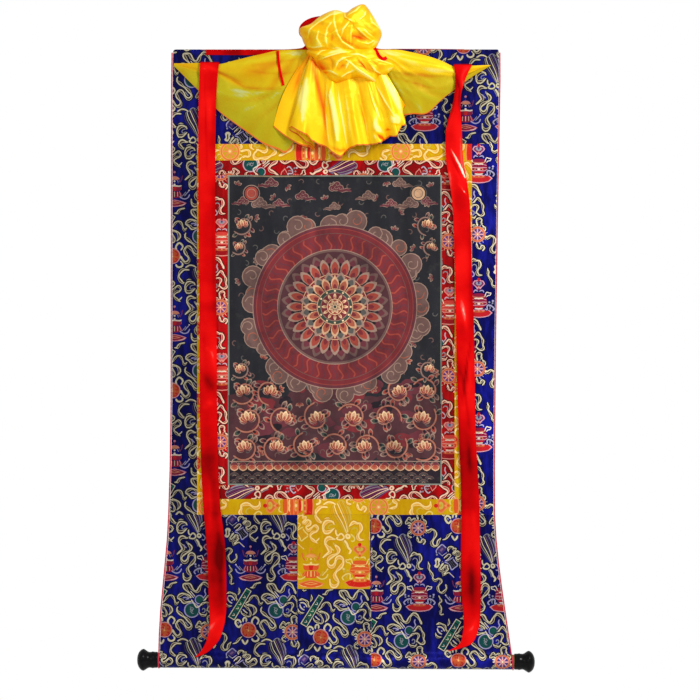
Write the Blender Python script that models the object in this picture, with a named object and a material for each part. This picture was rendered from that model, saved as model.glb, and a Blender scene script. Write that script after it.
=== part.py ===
"""Thangka scroll painting: a painted panel in brocade borders, hanging from its top edge over a roller.

The front faces -Y and +Z is up. The origin is the middle of the cloth's top edge. Tables are in
millimetres and MM turns them into metres. A depth is how far a piece stands in front of the cloth.
"""
import math
from collections import namedtuple

import bmesh
import bpy
from mathutils import Vector

MM = 0.001

# ---------------------------------------------------------------- cloth and seams
CLOTH = 1.2  # brocade and canvas, with the turned edges behind
SILK = 1.2
RIBBON = 1.0
GAP = 0.3  # between neighbouring pieces

# how the hanging cloth swells: rise, and over what length across or down it repeats
BROAD_RISE, BROAD_LENGTH, BROAD_START = 2.2, 330.0, 40.0
SLANT_RISE, SLANT_ACROSS, SLANT_DOWN = 1.1, 185.0, 820.0
# how far each side edge curls, and from where to where it does
RIGHT_CURL, RIGHT_CURL_FROM, RIGHT_CURL_OVER = 3.0, 235.0, 70.0
LEFT_CURL, LEFT_CURL_FROM, LEFT_CURL_OVER = -1.8, 245.0, 65.0
RIPPLE_END = 12.0  # the ripples die out this far above the roller's bend
SETTLE_END = 20.0  # the cloth has taken the roller's tilt this far above the bend

SEAM_TOP = 176.7  # lower edge of the top panel
SEAM_LOW = 870.1  # upper edge of the lower panels
# the two upright seams of the lower cloth
SEAM_NEAR_DOOR = -72.4
SEAM_UPRIGHT = 65.5

GOLD_LEFT, GOLD_RIGHT = -259.9, 254.3
RED_LEFT, RED_RIGHT = -228.1, 221.6
RED_TOP, RED_BOTTOM = 207.6, 840.6
PICTURE_LEFT, PICTURE_RIGHT = -202.0, 197.8
PICTURE_TOP, PICTURE_BOTTOM = 235.2, 814.4
INSERT_LEFT, INSERT_RIGHT = -37.4, 61.7
DOOR_LEFT, DOOR_RIGHT = -71.8, 63.6
DOOR_BOTTOM = 1008.6

# every panel between straight seams: its edges, how finely it is divided, and how far forward
# it lies
Cut = namedtuple("Cut", "name finish left right top bottom columns rows forward")
CUTS = (
    Cut("gold_top", "gold_brocade", GOLD_LEFT, GOLD_RIGHT, SEAM_TOP, RED_TOP, 16, 1, 0),
    Cut("gold_left", "gold_brocade", GOLD_LEFT, RED_LEFT, RED_TOP, RED_BOTTOM, 1, 18, 0),
    Cut("gold_right", "gold_brocade", RED_RIGHT, GOLD_RIGHT, RED_TOP, RED_BOTTOM, 1, 18, 0),
    Cut("gold_bottom_left", "gold_brocade", GOLD_LEFT, INSERT_LEFT, RED_BOTTOM, SEAM_LOW, 7, 1, 0),
    Cut("gold_insert", "gold_brocade", INSERT_LEFT, INSERT_RIGHT, RED_BOTTOM, SEAM_LOW, 3, 1, 0),
    Cut("gold_bottom_right", "gold_brocade", INSERT_RIGHT, GOLD_RIGHT, RED_BOTTOM, SEAM_LOW, 6, 1, 0),
    Cut("red_top", "red_brocade", RED_LEFT, RED_RIGHT, RED_TOP, PICTURE_TOP, 14, 1, 0),
    Cut("red_bottom", "red_brocade", RED_LEFT, RED_RIGHT, PICTURE_BOTTOM, RED_BOTTOM, 14, 1, 0),
    Cut("red_left", "red_brocade", RED_LEFT, PICTURE_LEFT, PICTURE_TOP, PICTURE_BOTTOM, 1, 16, 0),
    Cut("red_right", "red_brocade", PICTURE_RIGHT, RED_RIGHT, PICTURE_TOP, PICTURE_BOTTOM, 1, 16, 0),
    Cut("painting", "painting", PICTURE_LEFT, PICTURE_RIGHT, PICTURE_TOP, PICTURE_BOTTOM, 12, 14, 0),
    Cut("door_patch", "gold_brocade", DOOR_LEFT, DOOR_RIGHT, SEAM_LOW, DOOR_BOTTOM, 4, 5, CLOTH + GAP),
)
TOP_COLUMNS = 16
SIDE_COLUMNS = 2
LOWER_LEFT_COLUMNS, LOWER_MIDDLE_COLUMNS, LOWER_RIGHT_COLUMNS = 8, 5, 8
CORNER = 5.0  # the radius of the cloth's upper corners
CORNER_ROWS = (0.0, 1.5, CORNER)
FIRST_ROW = 30.0  # the first row of the edge table below the corners is used from here
RIGHT_EASE = 0.6  # the right corner is eased less than the left one

PIPING_RADIUS = 1.3
PIPING_SIDES = 6
PIPING_START = 6.0
PIPING_STEPS = 16  # the piping ends behind the rod, below the turned-up end
PIPING_GAP = 0.5  # a little wider than the other gaps, because the piping bends
PIPING_LIFT = 0.8  # how far the piping is raised around the rod, to clear it
EDGE_INSET = 2 * PIPING_RADIUS + PIPING_GAP  # from the piping's outer side to the panel's edge
ROW_MARGIN = 12.0  # no row of the edge table is used nearer than this to a panel's own ends

# outer side edges of the cloth, piping included, by distance down from the top edge
Edge = namedtuple("Edge", "down left right")
EDGES = (
    Edge(0, -307.6, 307.6),
    Edge(60, -308.6, 307.8),
    Edge(180, -308.8, 305.6),
    Edge(300, -309.0, 303.4),
    Edge(420, -309.2, 301.8),
    Edge(540, -309.4, 299.8),
    Edge(660, -309.6, 298.6),
    Edge(780, -311.2, 297.6),
    Edge(870, -314.0, 297.6),
    Edge(915, -316.4, 300.4),
    Edge(960, -320.4, 305.0),
    Edge(1005, -324.6, 310.8),
    Edge(1050, -328.8, 317.4),
    Edge(1095, -331.4, 324.0),
    Edge(1122, -332.2, 328.0),
    Edge(1150, -332.5, 331.4),
    Edge(1170, -332.6, 332.6),
)

# ---------------------------------------------------------------- roller
ROD_RADIUS = 13.0
SLEEVE_RADIUS = 14.1  # middle of the cloth that wraps the rod
ROLLER_DOWN = 1143.5  # the rod's axis below the top edge
ROLLER_BACK = 3.0  # the rod's axis behind the cloth
ROLLER_TILT = -0.0051  # the right end hangs a little lower
ROLLER_STEPS = 28
WRAP_STEPS = 22
FRONT_FILLET = 12.0
BACK_FILLET = 8.0
SLEEVE_TAIL = 7.0  # the turned-up end above the rod, behind the cloth
ROD_SHOULDER = 333.3
SPIGOT_RADIUS = 8.0
SPIGOT_LENGTH = 12.0
SOCKET_RADIUS = 8.3
SOCKET_DEPTH = 12.4
KNOB_FACE = 333.6

# a knob's turned outline, from the cloth outwards
Turn = namedtuple("Turn", "out radius")
KNOB_PROFILE = (
    Turn(0.0, 14.0),
    Turn(0.8, 14.8),
    Turn(6.0, 14.9),
    Turn(9.0, 15.5),
    Turn(12.0, 14.9),
    Turn(15.5, 14.6),
    Turn(19.0, 15.9),
    Turn(22.5, 18.3),
    Turn(25.4, 20.0),
    Turn(26.9, 20.3),
    Turn(28.4, 20.0),
    Turn(31.5, 18.2),
    Turn(34.4, 15.0),
    Turn(36.6, 10.8),
    Turn(37.9, 6.0),
    Turn(38.4, 0.0),
)

# ---------------------------------------------------------------- silk cover
# a wing's sections from its tip to the middle: top edge, fold line and hem below the cloth's top,
# and how far the band above the fold, the fold itself, the belly and the hem stand forward
Section = namedtuple("Section", "x top fold hem band_out fold_out belly_out hem_out")
Profile = namedtuple("Profile", "down out")
LEFT_WING = (
    Section(-303.0, 26.6, 28.6, 31.0, 3.2, 3.2, 3.2, 3.2),
    Section(-280.0, 26.4, 36.0, 54.0, 4.0, 3.2, 4.4, 3.3),
    Section(-254.0, 26.0, 44.0, 80.0, 4.8, 3.3, 5.6, 3.4),
    Section(-220.0, 28.3, 52.0, 115.0, 5.6, 3.4, 7.0, 3.6),
    Section(-190.0, 21.4, 66.0, 138.0, 8.0, 3.6, 9.0, 4.0),
    Section(-162.0, 14.3, 72.0, 158.0, 9.6, 3.8, 10.0, 4.4),
    Section(-136.0, 8.4, 74.0, 176.7, 9.6, 3.8, 9.0, 4.6),
    Section(-110.0, 2.4, 74.0, 187.0, 7.6, 3.6, 7.0, 4.0),
    Section(-91.0, 1.4, 70.0, 191.7, 6.0, 3.4, 4.6, 3.4),
    Section(-66.0, 1.2, 54.0, 150.0, 5.6, 3.3, 3.6, 3.3),
    Section(-40.0, 1.2, 40.0, 96.0, 5.6, 3.3, 3.6, 3.3),
)
RIGHT_WING = (
    Section(288.5, 29.6, 30.2, 31.0, 3.2, 3.2, 3.2, 3.2),
    Section(268.0, 30.4, 36.0, 43.0, 4.4, 3.3, 4.2, 3.3),
    Section(246.0, 31.2, 45.0, 57.0, 5.6, 3.4, 5.4, 3.4),
    Section(221.0, 32.6, 50.0, 76.0, 6.4, 3.5, 6.4, 3.5),
    Section(198.0, 22.3, 48.0, 94.0, 9.0, 3.8, 8.6, 3.8),
    Section(171.0, 13.0, 46.0, 119.6, 11.0, 4.0, 10.4, 4.4),
    Section(144.0, 6.5, 43.0, 121.4, 11.4, 4.2, 11.0, 4.8),
    Section(118.0, 1.6, 40.0, 122.5, 9.6, 4.0, 8.6, 4.2),
    Section(90.0, 1.2, 36.0, 106.0, 6.4, 3.6, 4.6, 3.4),
    Section(60.0, 1.2, 34.0, 90.0, 5.6, 3.3, 3.6, 3.3),
    Section(34.0, 1.2, 32.0, 76.0, 5.6, 3.3, 3.6, 3.3),
)

WING_TOP_OUT = 3.3
BAND_SHARE = 0.5  # where between the top edge and the fold the band stands out most
BELLY_SHARE = 0.45  # where between the fold and the hem the belly does
WING_STEPS = (16, 10)

# the skirt's fold lines from left to right, each from the gathered neck to the hem
Fold = namedtuple("Fold", "neck_x neck_down neck_out hem_x hem_down hem_out")
SKIRT_FOLDS = (
    Fold(-50.0, 6.0, 9.5, -117.0, 145.5, 11.0),
    Fold(-48.0, 12.0, 9.0, -82.0, 171.5, 9.5),
    Fold(-44.0, 18.0, 8.8, -38.0, 185.0, 9.5),
    Fold(-46.0, 16.0, 12.0, -61.0, 170.0, 14.0),
    Fold(-48.0, 12.0, 15.5, -85.0, 147.5, 19.0),
    Fold(-44.0, 18.0, 21.0, -59.0, 160.0, 31.0),
    Fold(-30.0, 30.0, 17.0, -21.0, 182.0, 17.0),
    Fold(-13.0, 41.0, 22.0, 6.0, 202.0, 28.0),
    Fold(0.0, 47.0, 19.0, 21.0, 190.0, 18.0),
    Fold(19.0, 48.0, 23.0, 39.0, 182.5, 31.0),
    Fold(37.0, 48.0, 19.0, 60.0, 180.5, 17.0),
    Fold(54.0, 46.0, 22.0, 79.0, 178.0, 28.0),
    Fold(69.0, 43.0, 18.0, 97.0, 165.5, 16.0),
    Fold(80.0, 40.0, 19.0, 117.0, 156.0, 26.0),
    Fold(86.0, 40.0, 15.0, 126.0, 136.0, 14.0),
    Fold(90.0, 40.0, 11.0, 129.0, 106.0, 9.5),
)
SKIRT_BELLY = 3.0  # how far the pleats bulge halfway down
SKIRT_FLARE = 0.9  # below 1, the pleats stand out from the neck at once
SKIRT_STEPS = (34, 8)

# the two bunches of the rosette: outline points around each, above (+) or below (-) the cloth's top
Outline = namedtuple("Outline", "x z")
CROWN_OUTLINE = (
    Outline(-68.3, 36.5),
    Outline(-48.0, 45.5),
    Outline(-28.0, 61.1),
    Outline(-2.4, 71.2),
    Outline(18.7, 66.6),
    Outline(33.1, 75.9),
    Outline(49.2, 82.4),
    Outline(58.0, 77.0),
    Outline(74.4, 51.2),
    Outline(84.6, 29.0),
    Outline(78.5, 10.3),
    Outline(67.3, -6.5),
    Outline(45.0, -13.5),
    Outline(17.0, -14.0),
    Outline(-14.0, -14.0),
    Outline(-41.0, -12.2),
    Outline(-57.0, 6.5),
    Outline(-63.6, 21.5),
)
PUFF_OUTLINE = (
    Outline(-52.4, -3.0),
    Outline(-43.0, -19.6),
    Outline(-26.2, -41.3),
    Outline(-14.2, -58.9),
    Outline(-0.4, -65.3),
    Outline(21.3, -62.6),
    Outline(33.7, -55.2),
    Outline(50.0, -57.0),
    Outline(72.4, -62.6),
    Outline(81.0, -52.0),
    Outline(94.1, -48.2),
    Outline(109.4, -33.8),
    Outline(99.0, -24.0),
    Outline(84.2, -15.9),
    Outline(70.0, 2.0),
    Outline(10.0, 10.0),
)
Bunch = namedtuple("Bunch", "outline x z out rim back rings steps")
CROWN = Bunch(CROWN_OUTLINE, 8.0, 30.0, 50.0, 9.0, 2.8, 8, 48)
PUFF = Bunch(PUFF_OUTLINE, 20.0, -27.0, 42.0, 12.0, 2.8, 7, 44)

DOME_CURVE = 2.4  # how full the bunches are towards their rims
CREASE_FADE = 6  # the folds fade out towards the rims
BACK_SHARE = 0.97  # how large a bunch's flat back is

# main folds raised on the two bunches: soft ridges (+) and troughs (-) along straight runs
Crease = namedtuple("Crease", "x0 z0 x1 z1 width rise")
CROWN_CREASES = (
    Crease(-20.0, 50.0, -19.0, 4.0, 8.0, 6.0),
    Crease(-10.0, 18.0, 34.0, -4.0, 7.0, -6.0),
    Crease(31.0, 41.0, 66.0, 14.0, 7.0, 8.0),
    Crease(29.0, 36.0, 29.0, 6.0, 6.0, 6.0),
    Crease(38.0, 18.0, 58.0, 10.0, 8.0, -7.0),
    Crease(18.7, 67.0, 28.0, 40.0, 8.0, -6.0),
    Crease(40.0, 74.0, 70.0, 42.0, 9.0, 5.0),
    Crease(-55.0, 34.0, -32.0, 8.0, 9.0, 5.0),
)
PUFF_CREASES = (
    Crease(-30.0, -16.0, 18.0, -6.0, 7.0, 6.0),
    Crease(0.0, -44.0, 32.0, -16.0, 6.0, 6.0),
    Crease(26.0, -28.0, 74.0, -60.0, 8.0, 7.0),
    Crease(6.0, -54.0, 44.0, -44.0, 8.0, -5.0),
    Crease(60.0, -32.0, 92.0, -46.0, 7.0, -4.0),
)

# ---------------------------------------------------------------- ribbons and tapes
# a ribbon's sections downwards: its two edges, how far it stands forward, and its cupping
Strip = namedtuple("Strip", "down left right out cup")
LEFT_RIBBON = (
    Strip(27.0, -253.5, -218.0, 9.2, 0.4),
    Strip(60.0, -255.0, -221.5, 9.6, 0.6),
    Strip(115.0, -256.5, -224.0, 8.2, 0.8),
    Strip(208.0, -257.0, -225.3, 5.2, 0.8),
    Strip(330.0, -256.6, -225.0, 4.4, 0.6),
    Strip(470.0, -255.3, -223.5, 4.6, 1.4),
    Strip(560.0, -254.6, -222.6, 5.4, 3.0),
    Strip(640.0, -254.4, -222.4, 6.0, 3.6),
    Strip(730.0, -253.4, -220.7, 4.8, 1.6),
    Strip(842.0, -248.7, -217.0, 4.6, 1.2),
    Strip(932.0, -241.2, -206.8, 5.0, 1.6),
    Strip(1029.0, -237.5, -204.6, 5.6, 2.0),
    Strip(1063.0, -235.6, -206.6, 6.8, 2.6),
    Strip(1084.0, -236.6, -211.3, 8.4, 3.0),
    Strip(1104.0, -241.2, -218.8, 10.4, 2.6),
    Strip(1124.0, -252.0, -238.0, 13.0, 1.4),
    Strip(1134.0, -263.0, -259.6, 13.8, 0.2),
)
RIGHT_RIBBON = (
    Strip(31.0, 219.7, 253.8, 9.6, 1.2),
    Strip(50.0, 222.5, 244.0, 10.4, 5.0),
    Strip(81.0, 221.6, 233.8, 11.0, 7.0),
    Strip(108.0, 216.9, 231.9, 9.8, 6.0),
    Strip(152.0, 205.7, 234.7, 7.4, 3.4),
    Strip(207.0, 205.7, 237.5, 6.6, 2.8),
    Strip(252.0, 212.8, 245.0, 8.0, 5.0),
    Strip(304.0, 218.2, 250.6, 6.4, 2.6),
    Strip(427.0, 222.5, 254.3, 4.8, 1.0),
    Strip(537.0, 224.4, 258.1, 4.6, 0.8),
    Strip(711.0, 229.0, 260.9, 5.6, 2.4),
    Strip(842.0, 233.8, 267.4, 4.8, 1.2),
    Strip(992.0, 233.2, 270.2, 5.2, 1.6),
    Strip(1059.0, 238.4, 269.3, 6.8, 2.4),
    Strip(1084.0, 237.5, 265.6, 8.8, 2.8),
    Strip(1108.0, 231.9, 254.3, 11.4, 2.4),
    Strip(1118.0, 219.0, 232.0, 13.0, 1.0),
    Strip(1123.0, 208.9, 211.5, 13.4, 0.2),
)
RIBBON_TUCK = 20.0  # the ribbon's end behind the silk
RIBBON_TUCK_OUT = 1.5
RIBBON_COLUMNS = 4
RIBBON_BEND_STEPS = 4
RIBBON_BEND_RISE = 2.6  # how far the ribbon's bend stands above the silk's top edge
LEFT_RIBBON_STEPS, RIGHT_RIBBON_STEPS = 34, 38

# the hanging tape's middle line: y is behind (+) or in front (-) of the cloth
Route = namedtuple("Route", "x y z")
TAPE_WIDTH = 10.0
TAPE_ROUTE = (
    Route(-243.0, -1.45, -5.4),
    Route(-180.0, -1.45, -5.6),
    Route(-120.0, -1.45, -5.6),
    Route(-82.0, -1.45, -4.4),
    Route(-60.0, -1.45, -1.0),
    Route(-52.0, -1.30, 10.0),
    Route(-57.0, -0.60, 21.0),
    Route(-64.5, 0.40, 32.0),
    Route(-61.5, 0.90, 44.0),
    Route(-48.0, 1.20, 53.4),
    Route(-27.0, 1.40, 57.8),
    Route(0.0, 1.45, 56.0),
    Route(28.0, 1.45, 44.0),
    Route(50.0, 1.45, 24.0),
    Route(62.0, 1.45, 6.0),
    Route(80.0, 1.45, -3.4),
    Route(120.0, 1.45, -3.6),
    Route(180.0, 1.45, -3.8),
    Route(240.0, 1.45, -4.4),
)
TAPE_STEPS = 36
TIE_STEPS = 12
TIE_WIDTH = 4.6
TIE_THICKNESS = 1.6
LEFT_TIE_ROUTE = (
    Route(-109.0, -5.4, -3.4),
    Route(-107.6, -8.2, -22.0),
    Route(-104.6, -9.0, -42.0),
    Route(-101.4, -7.5, -56.0),
    Route(-98.4, -6.7, -68.0),
)
RIGHT_TIE_WIDTH = 6.4
RIGHT_TIE_ROUTE = (
    Route(71.5, -27.4, -1.0),
    Route(75.0, -26.6, -7.0),
    Route(79.0, -27.8, -14.0),
    Route(83.0, -31.0, -19.5),
    Route(88.0, -31.0, -21.8),
    Route(94.5, -26.5, -18.8),
)

Finish = namedtuple("Finish", "colour roughness")
FINISHES = {
    "blue_brocade": Finish((26, 31, 140), 0.45),
    "gold_brocade": Finish((217, 180, 20), 0.45),
    "red_brocade": Finish((196, 13, 20), 0.45),
    "painting": Finish((80, 62, 60), 0.75),
    "piping": Finish((200, 44, 66), 0.6),
    "silk": Finish((250, 205, 10), 0.35),
    "ribbon": Finish((215, 10, 12), 0.4),
    "black_wood": Finish((12, 12, 15), 0.3),
    "rod_wood": Finish((120, 84, 52), 0.6),
}


def clear_scene():
    """Remove every object, so that the script can run twice."""
    for item in list(bpy.data.objects):
        bpy.data.objects.remove(item, do_unlink=True)


def linear(channel):
    """Turn one 0 to 255 colour channel into a linear value."""
    value = channel / 255
    return value / 12.92 if value <= 0.04045 else ((value + 0.055) / 1.055) ** 2.4


def give_material(item, finish_name):
    """Give an object a Principled material of its own."""
    finish = FINISHES[finish_name]
    material = bpy.data.materials.new(item.name)
    material.use_nodes = True
    shader = material.node_tree.nodes["Principled BSDF"]
    shader.inputs["Base Color"].default_value = (*(linear(c) for c in finish.colour), 1.0)
    shader.inputs["Roughness"].default_value = finish.roughness
    item.data.materials.append(material)


def new_object(name, points, faces):
    """Make a closed mesh from points in millimetres, with its faces turned outwards."""
    mesh = bpy.data.meshes.new(name)
    mesh.from_pydata([Vector(point) * MM for point in points], [], faces)
    work = bmesh.new()
    work.from_mesh(mesh)
    bmesh.ops.recalc_face_normals(work, faces=work.faces)
    work.to_mesh(mesh)
    work.free()
    mesh.shade_smooth()
    mesh.set_sharp_from_angle(angle=math.radians(40))
    item = bpy.data.objects.new(name, mesh)
    bpy.context.scene.collection.objects.link(item)
    return item


def smooth_rows(rows, where):
    """Read a table of named columns at a fraction of its length, on a smooth curve through the rows."""
    place = min(max(where, 0.0), 1.0) * (len(rows) - 1)
    index = min(int(place), len(rows) - 2)
    t = place - index
    before = rows[max(index - 1, 0)]
    start = rows[index]
    end = rows[index + 1]
    after = rows[min(index + 2, len(rows) - 1)]
    values = []
    for p0, p1, p2, p3 in zip(before, start, end, after):
        slope = 0.5 * (p2 - p0)
        next_slope = 0.5 * (p3 - p1)
        rise = p2 - p1
        curve = (slope + next_slope - 2 * rise) * t + (3 * rise - 2 * slope - next_slope)
        values.append(p1 + t * (slope + t * curve))
    return type(start)(*values)


def ease(value):
    """Go smoothly from 0 to 1."""
    value = min(max(value, 0.0), 1.0)
    return value * value * (3 - 2 * value)


# ---------------------------------------------------------------- how the cloth hangs
def edge_at(down):
    """The cloth's left and right outer edges at a distance down, on straight runs between rows."""
    down = min(max(down, EDGES[0].down), EDGES[-1].down)
    for upper, lower in zip(EDGES, EDGES[1:]):
        if down <= lower.down:
            t = (down - upper.down) / (lower.down - upper.down)
            break
    left = upper.left + t * (lower.left - upper.left)
    right = upper.right + t * (lower.right - upper.right)
    return left, right


FRONT_RISE = math.sqrt((FRONT_FILLET + SLEEVE_RADIUS) ** 2 - (FRONT_FILLET + ROLLER_BACK) ** 2)
TAIL_BACK = CLOTH + GAP
BACK_RISE = math.sqrt(
    (BACK_FILLET + SLEEVE_RADIUS) ** 2 - (TAIL_BACK + BACK_FILLET - ROLLER_BACK) ** 2
)
FRONT_TURN = math.atan2(FRONT_RISE, FRONT_FILLET + ROLLER_BACK)
WRAP_START = math.pi - FRONT_TURN
BACK_TURN = math.atan2(BACK_RISE, TAIL_BACK + BACK_FILLET - ROLLER_BACK)
WRAP_END = 2 * math.pi + BACK_TURN
FLAT_END = ROLLER_DOWN - FRONT_RISE  # where the cloth leaves its plane for the rod
WRAP_LENGTHS = (
    FRONT_FILLET * FRONT_TURN,
    SLEEVE_RADIUS * (WRAP_END - WRAP_START),
    BACK_FILLET * BACK_TURN,
    SLEEVE_TAIL,
)
WRAP_LENGTH = sum(WRAP_LENGTHS)


def ripple(x, down):
    """How far the hanging cloth swells behind (+) or in front (-) of its plane."""
    fall = min(down / (FLAT_END - RIPPLE_END), 1.0)
    broad = BROAD_RISE * math.cos(2 * math.pi * (x - BROAD_START) / BROAD_LENGTH)
    slanting = SLANT_RISE * math.sin(2 * math.pi * (x / SLANT_ACROSS + down / SLANT_DOWN))
    curl = RIGHT_CURL * ease((x - RIGHT_CURL_FROM) / RIGHT_CURL_OVER)
    curl += LEFT_CURL * ease((-x - LEFT_CURL_FROM) / LEFT_CURL_OVER)
    return math.sin(math.pi * fall) * (broad + slanting + curl)


def flat_point(x, down):
    """The middle of the cloth above the rod."""
    settle = ease((down - SEAM_LOW) / (FLAT_END - SETTLE_END - SEAM_LOW))
    return Vector((x, ripple(x, down), -down + settle * ROLLER_TILT * x))


def wrap_path(x, fraction):
    """The middle of the cloth around the rod, from where it leaves its plane to its turned-up end."""
    along = fraction * WRAP_LENGTH
    axis_z = -ROLLER_DOWN + ROLLER_TILT * x
    if along <= WRAP_LENGTHS[0]:
        angle = -along / FRONT_FILLET
        y = -FRONT_FILLET + FRONT_FILLET * math.cos(angle)
        z = FRONT_RISE + FRONT_FILLET * math.sin(angle)
        return Vector((x, y, axis_z + z))
    along -= WRAP_LENGTHS[0]
    if along <= WRAP_LENGTHS[1]:
        angle = WRAP_START + along / SLEEVE_RADIUS
        y = ROLLER_BACK + SLEEVE_RADIUS * math.cos(angle)
        z = SLEEVE_RADIUS * math.sin(angle)
        return Vector((x, y, axis_z + z))
    along -= WRAP_LENGTHS[1]
    if along <= WRAP_LENGTHS[2]:
        angle = math.pi + BACK_TURN - along / BACK_FILLET
        y = TAIL_BACK + BACK_FILLET + BACK_FILLET * math.cos(angle)
        z = BACK_RISE + BACK_FILLET * math.sin(angle)
        return Vector((x, y, axis_z + z))
    along -= WRAP_LENGTHS[2]
    return Vector((x, TAIL_BACK, axis_z + BACK_RISE + along))


# ---------------------------------------------------------------- solids from surfaces
def grid_normals(grid):
    """One unit normal for each point of a grid, from its neighbours."""
    rows = len(grid)
    columns = len(grid[0])
    normals = []
    for i in range(rows):
        line = []
        for j in range(columns):
            down = grid[min(i + 1, rows - 1)][j] - grid[max(i - 1, 0)][j]
            across = grid[i][min(j + 1, columns - 1)] - grid[i][max(j - 1, 0)]
            line.append(across.cross(down).normalized())
        normals.append(line)
    return normals


def sheet_solid(name, grid, thickness):
    """A closed sheet of even thickness on both sides of a grid of points."""
    rows = len(grid)
    columns = len(grid[0])
    normals = grid_normals(grid)
    points = []
    for side in (-0.5, 0.5):
        for i in range(rows):
            for j in range(columns):
                points.append(grid[i][j] + normals[i][j] * thickness * side)
    back = rows * columns
    faces = []
    for i in range(rows - 1):
        for j in range(columns - 1):
            a = i * columns + j
            quad = (a, a + 1, a + columns + 1, a + columns)
            faces.append(quad)
            faces.append(tuple(back + k for k in reversed(quad)))
    top = list(range(columns))
    right = [i * columns + columns - 1 for i in range(1, rows)]
    bottom = [(rows - 1) * columns + j for j in range(columns - 2, -1, -1)]
    left = [i * columns for i in range(rows - 2, 0, -1)]
    rim = top + right + bottom + left
    for a, b in zip(rim, rim[1:] + rim[:1]):
        faces.append((b, a, back + a, back + b))
    return new_object(name, points, faces)


def tube_solid(name, path, radius, sides):
    """A closed round cord along a path that keeps to a plane of constant x or nearly so."""
    points = []
    for index, centre in enumerate(path):
        ahead = path[min(index + 1, len(path) - 1)] - path[max(index - 1, 0)]
        outward = Vector((1, 0, 0)).cross(ahead).normalized()
        sideways = ahead.cross(outward).normalized()
        for k in range(sides):
            angle = 2 * math.pi * (k + 0.5) / sides
            points.append(centre + radius * (math.cos(angle) * sideways + math.sin(angle) * outward))
    faces = [tuple(range(sides)), tuple(range(len(points) - sides, len(points)))]
    for ring in range(len(path) - 1):
        for k in range(sides):
            a = ring * sides + k
            b = ring * sides + (k + 1) % sides
            faces.append((a, b, b + sides, a + sides))
    return new_object(name, points, faces)


def turned_solid(name, profile, direction):
    """A solid turned on the rod's axis, from a profile whose two ends lie on that axis."""
    points = []
    rings = []
    for out, radius in profile:
        x = out * direction
        centre = Vector((x, ROLLER_BACK, -ROLLER_DOWN + ROLLER_TILT * x))
        if radius == 0:
            rings.append([len(points)])
            points.append(centre)
            continue
        rings.append(list(range(len(points), len(points) + ROLLER_STEPS)))
        for k in range(ROLLER_STEPS):
            angle = 2 * math.pi * k / ROLLER_STEPS
            points.append(centre + radius * Vector((0, math.cos(angle), math.sin(angle))))
    faces = []
    for ring, following in zip(rings, rings[1:]):
        for k in range(ROLLER_STEPS):
            m = (k + 1) % ROLLER_STEPS
            if len(ring) == 1:
                faces.append((ring[0], following[k], following[m]))
            elif len(following) == 1:
                faces.append((ring[k], following[0], ring[m]))
            else:
                faces.append((ring[k], following[k], following[m], ring[m]))
    return new_object(name, points, faces)


# ---------------------------------------------------------------- brocade and painting
def build_cut(cut):
    """A flat-cut panel that hangs in the cloth's ripples, half a gap inside its seams."""
    grid = []
    for i in range(cut.rows + 1):
        down = cut.top + GAP / 2 + (cut.bottom - cut.top - GAP) * i / cut.rows
        line = []
        for j in range(cut.columns + 1):
            x = cut.left + GAP / 2 + (cut.right - cut.left - GAP) * j / cut.columns
            line.append(flat_point(x, down) + Vector((0, -cut.forward, 0)))
        grid.append(line)
    item = sheet_solid(cut.name, grid, CLOTH)
    give_material(item, cut.finish)


def flat_row(start, end, down, columns):
    """One row of points across the cloth above the rod."""
    return [flat_point(start + (end - start) * j / columns, down) for j in range(columns + 1)]


def wrap_edge_at(fraction):
    """The cloth's two outer edges around the rod: as wide behind it as in front."""
    return edge_at(FLAT_END + min(fraction, 1 - fraction) * WRAP_LENGTH)


def side_stations(top, bottom):
    """The distances down at which an edge panel has its rows: its two ends and the table's rows."""
    inner = [row.down for row in EDGES if top + ROW_MARGIN < row.down < bottom - ROW_MARGIN]
    return [top] + inner + [bottom]


def side_panel(name, side, inner):
    """A side panel between the cloth's outer edge and a straight inner seam."""
    grid = []
    for down in side_stations(SEAM_TOP + GAP / 2, SEAM_LOW - GAP / 2):
        left, right = edge_at(down)
        if side < 0:
            grid.append(flat_row(left + EDGE_INSET, inner - GAP / 2, down, SIDE_COLUMNS))
        else:
            grid.append(flat_row(inner + GAP / 2, right - EDGE_INSET, down, SIDE_COLUMNS))
    item = sheet_solid(name, grid, CLOTH)
    give_material(item, "blue_brocade")


def top_panel():
    """The full-width panel along the top, its two upper corners eased round."""
    grid = []
    for down in [*CORNER_ROWS, *side_stations(FIRST_ROW, SEAM_TOP - GAP / 2)]:
        left, right = edge_at(down)
        short = CORNER - min(down, CORNER)
        eased = CORNER - math.sqrt(CORNER**2 - short**2)
        start = left + EDGE_INSET + eased
        end = right - EDGE_INSET - eased * RIGHT_EASE
        grid.append(flat_row(start, end, down, TOP_COLUMNS))
    item = sheet_solid("blue_top", grid, CLOTH)
    give_material(item, "blue_brocade")


def lower_span(seams, left, right):
    """Where a row of a lower panel starts and ends across, between seams or the cloth's edges."""
    start = left + EDGE_INSET if seams[0] is None else seams[0] + GAP / 2
    end = right - EDGE_INSET if seams[1] is None else seams[1] - GAP / 2
    return start, end


def lower_panel(name, seams, columns):
    """A lower panel, from its seam down, around the rod and up behind."""
    grid = []
    for down in side_stations(SEAM_LOW + GAP / 2, FLAT_END)[:-1]:
        start, end = lower_span(seams, *edge_at(down))
        grid.append(flat_row(start, end, down, columns))
    for step in range(WRAP_STEPS + 1):
        share = step / WRAP_STEPS
        start, end = lower_span(seams, *wrap_edge_at(share))
        grid.append(
            [wrap_path(start + (end - start) * j / columns, share) for j in range(columns + 1)]
        )
    item = sheet_solid(name, grid, CLOTH)
    give_material(item, "blue_brocade")


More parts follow.
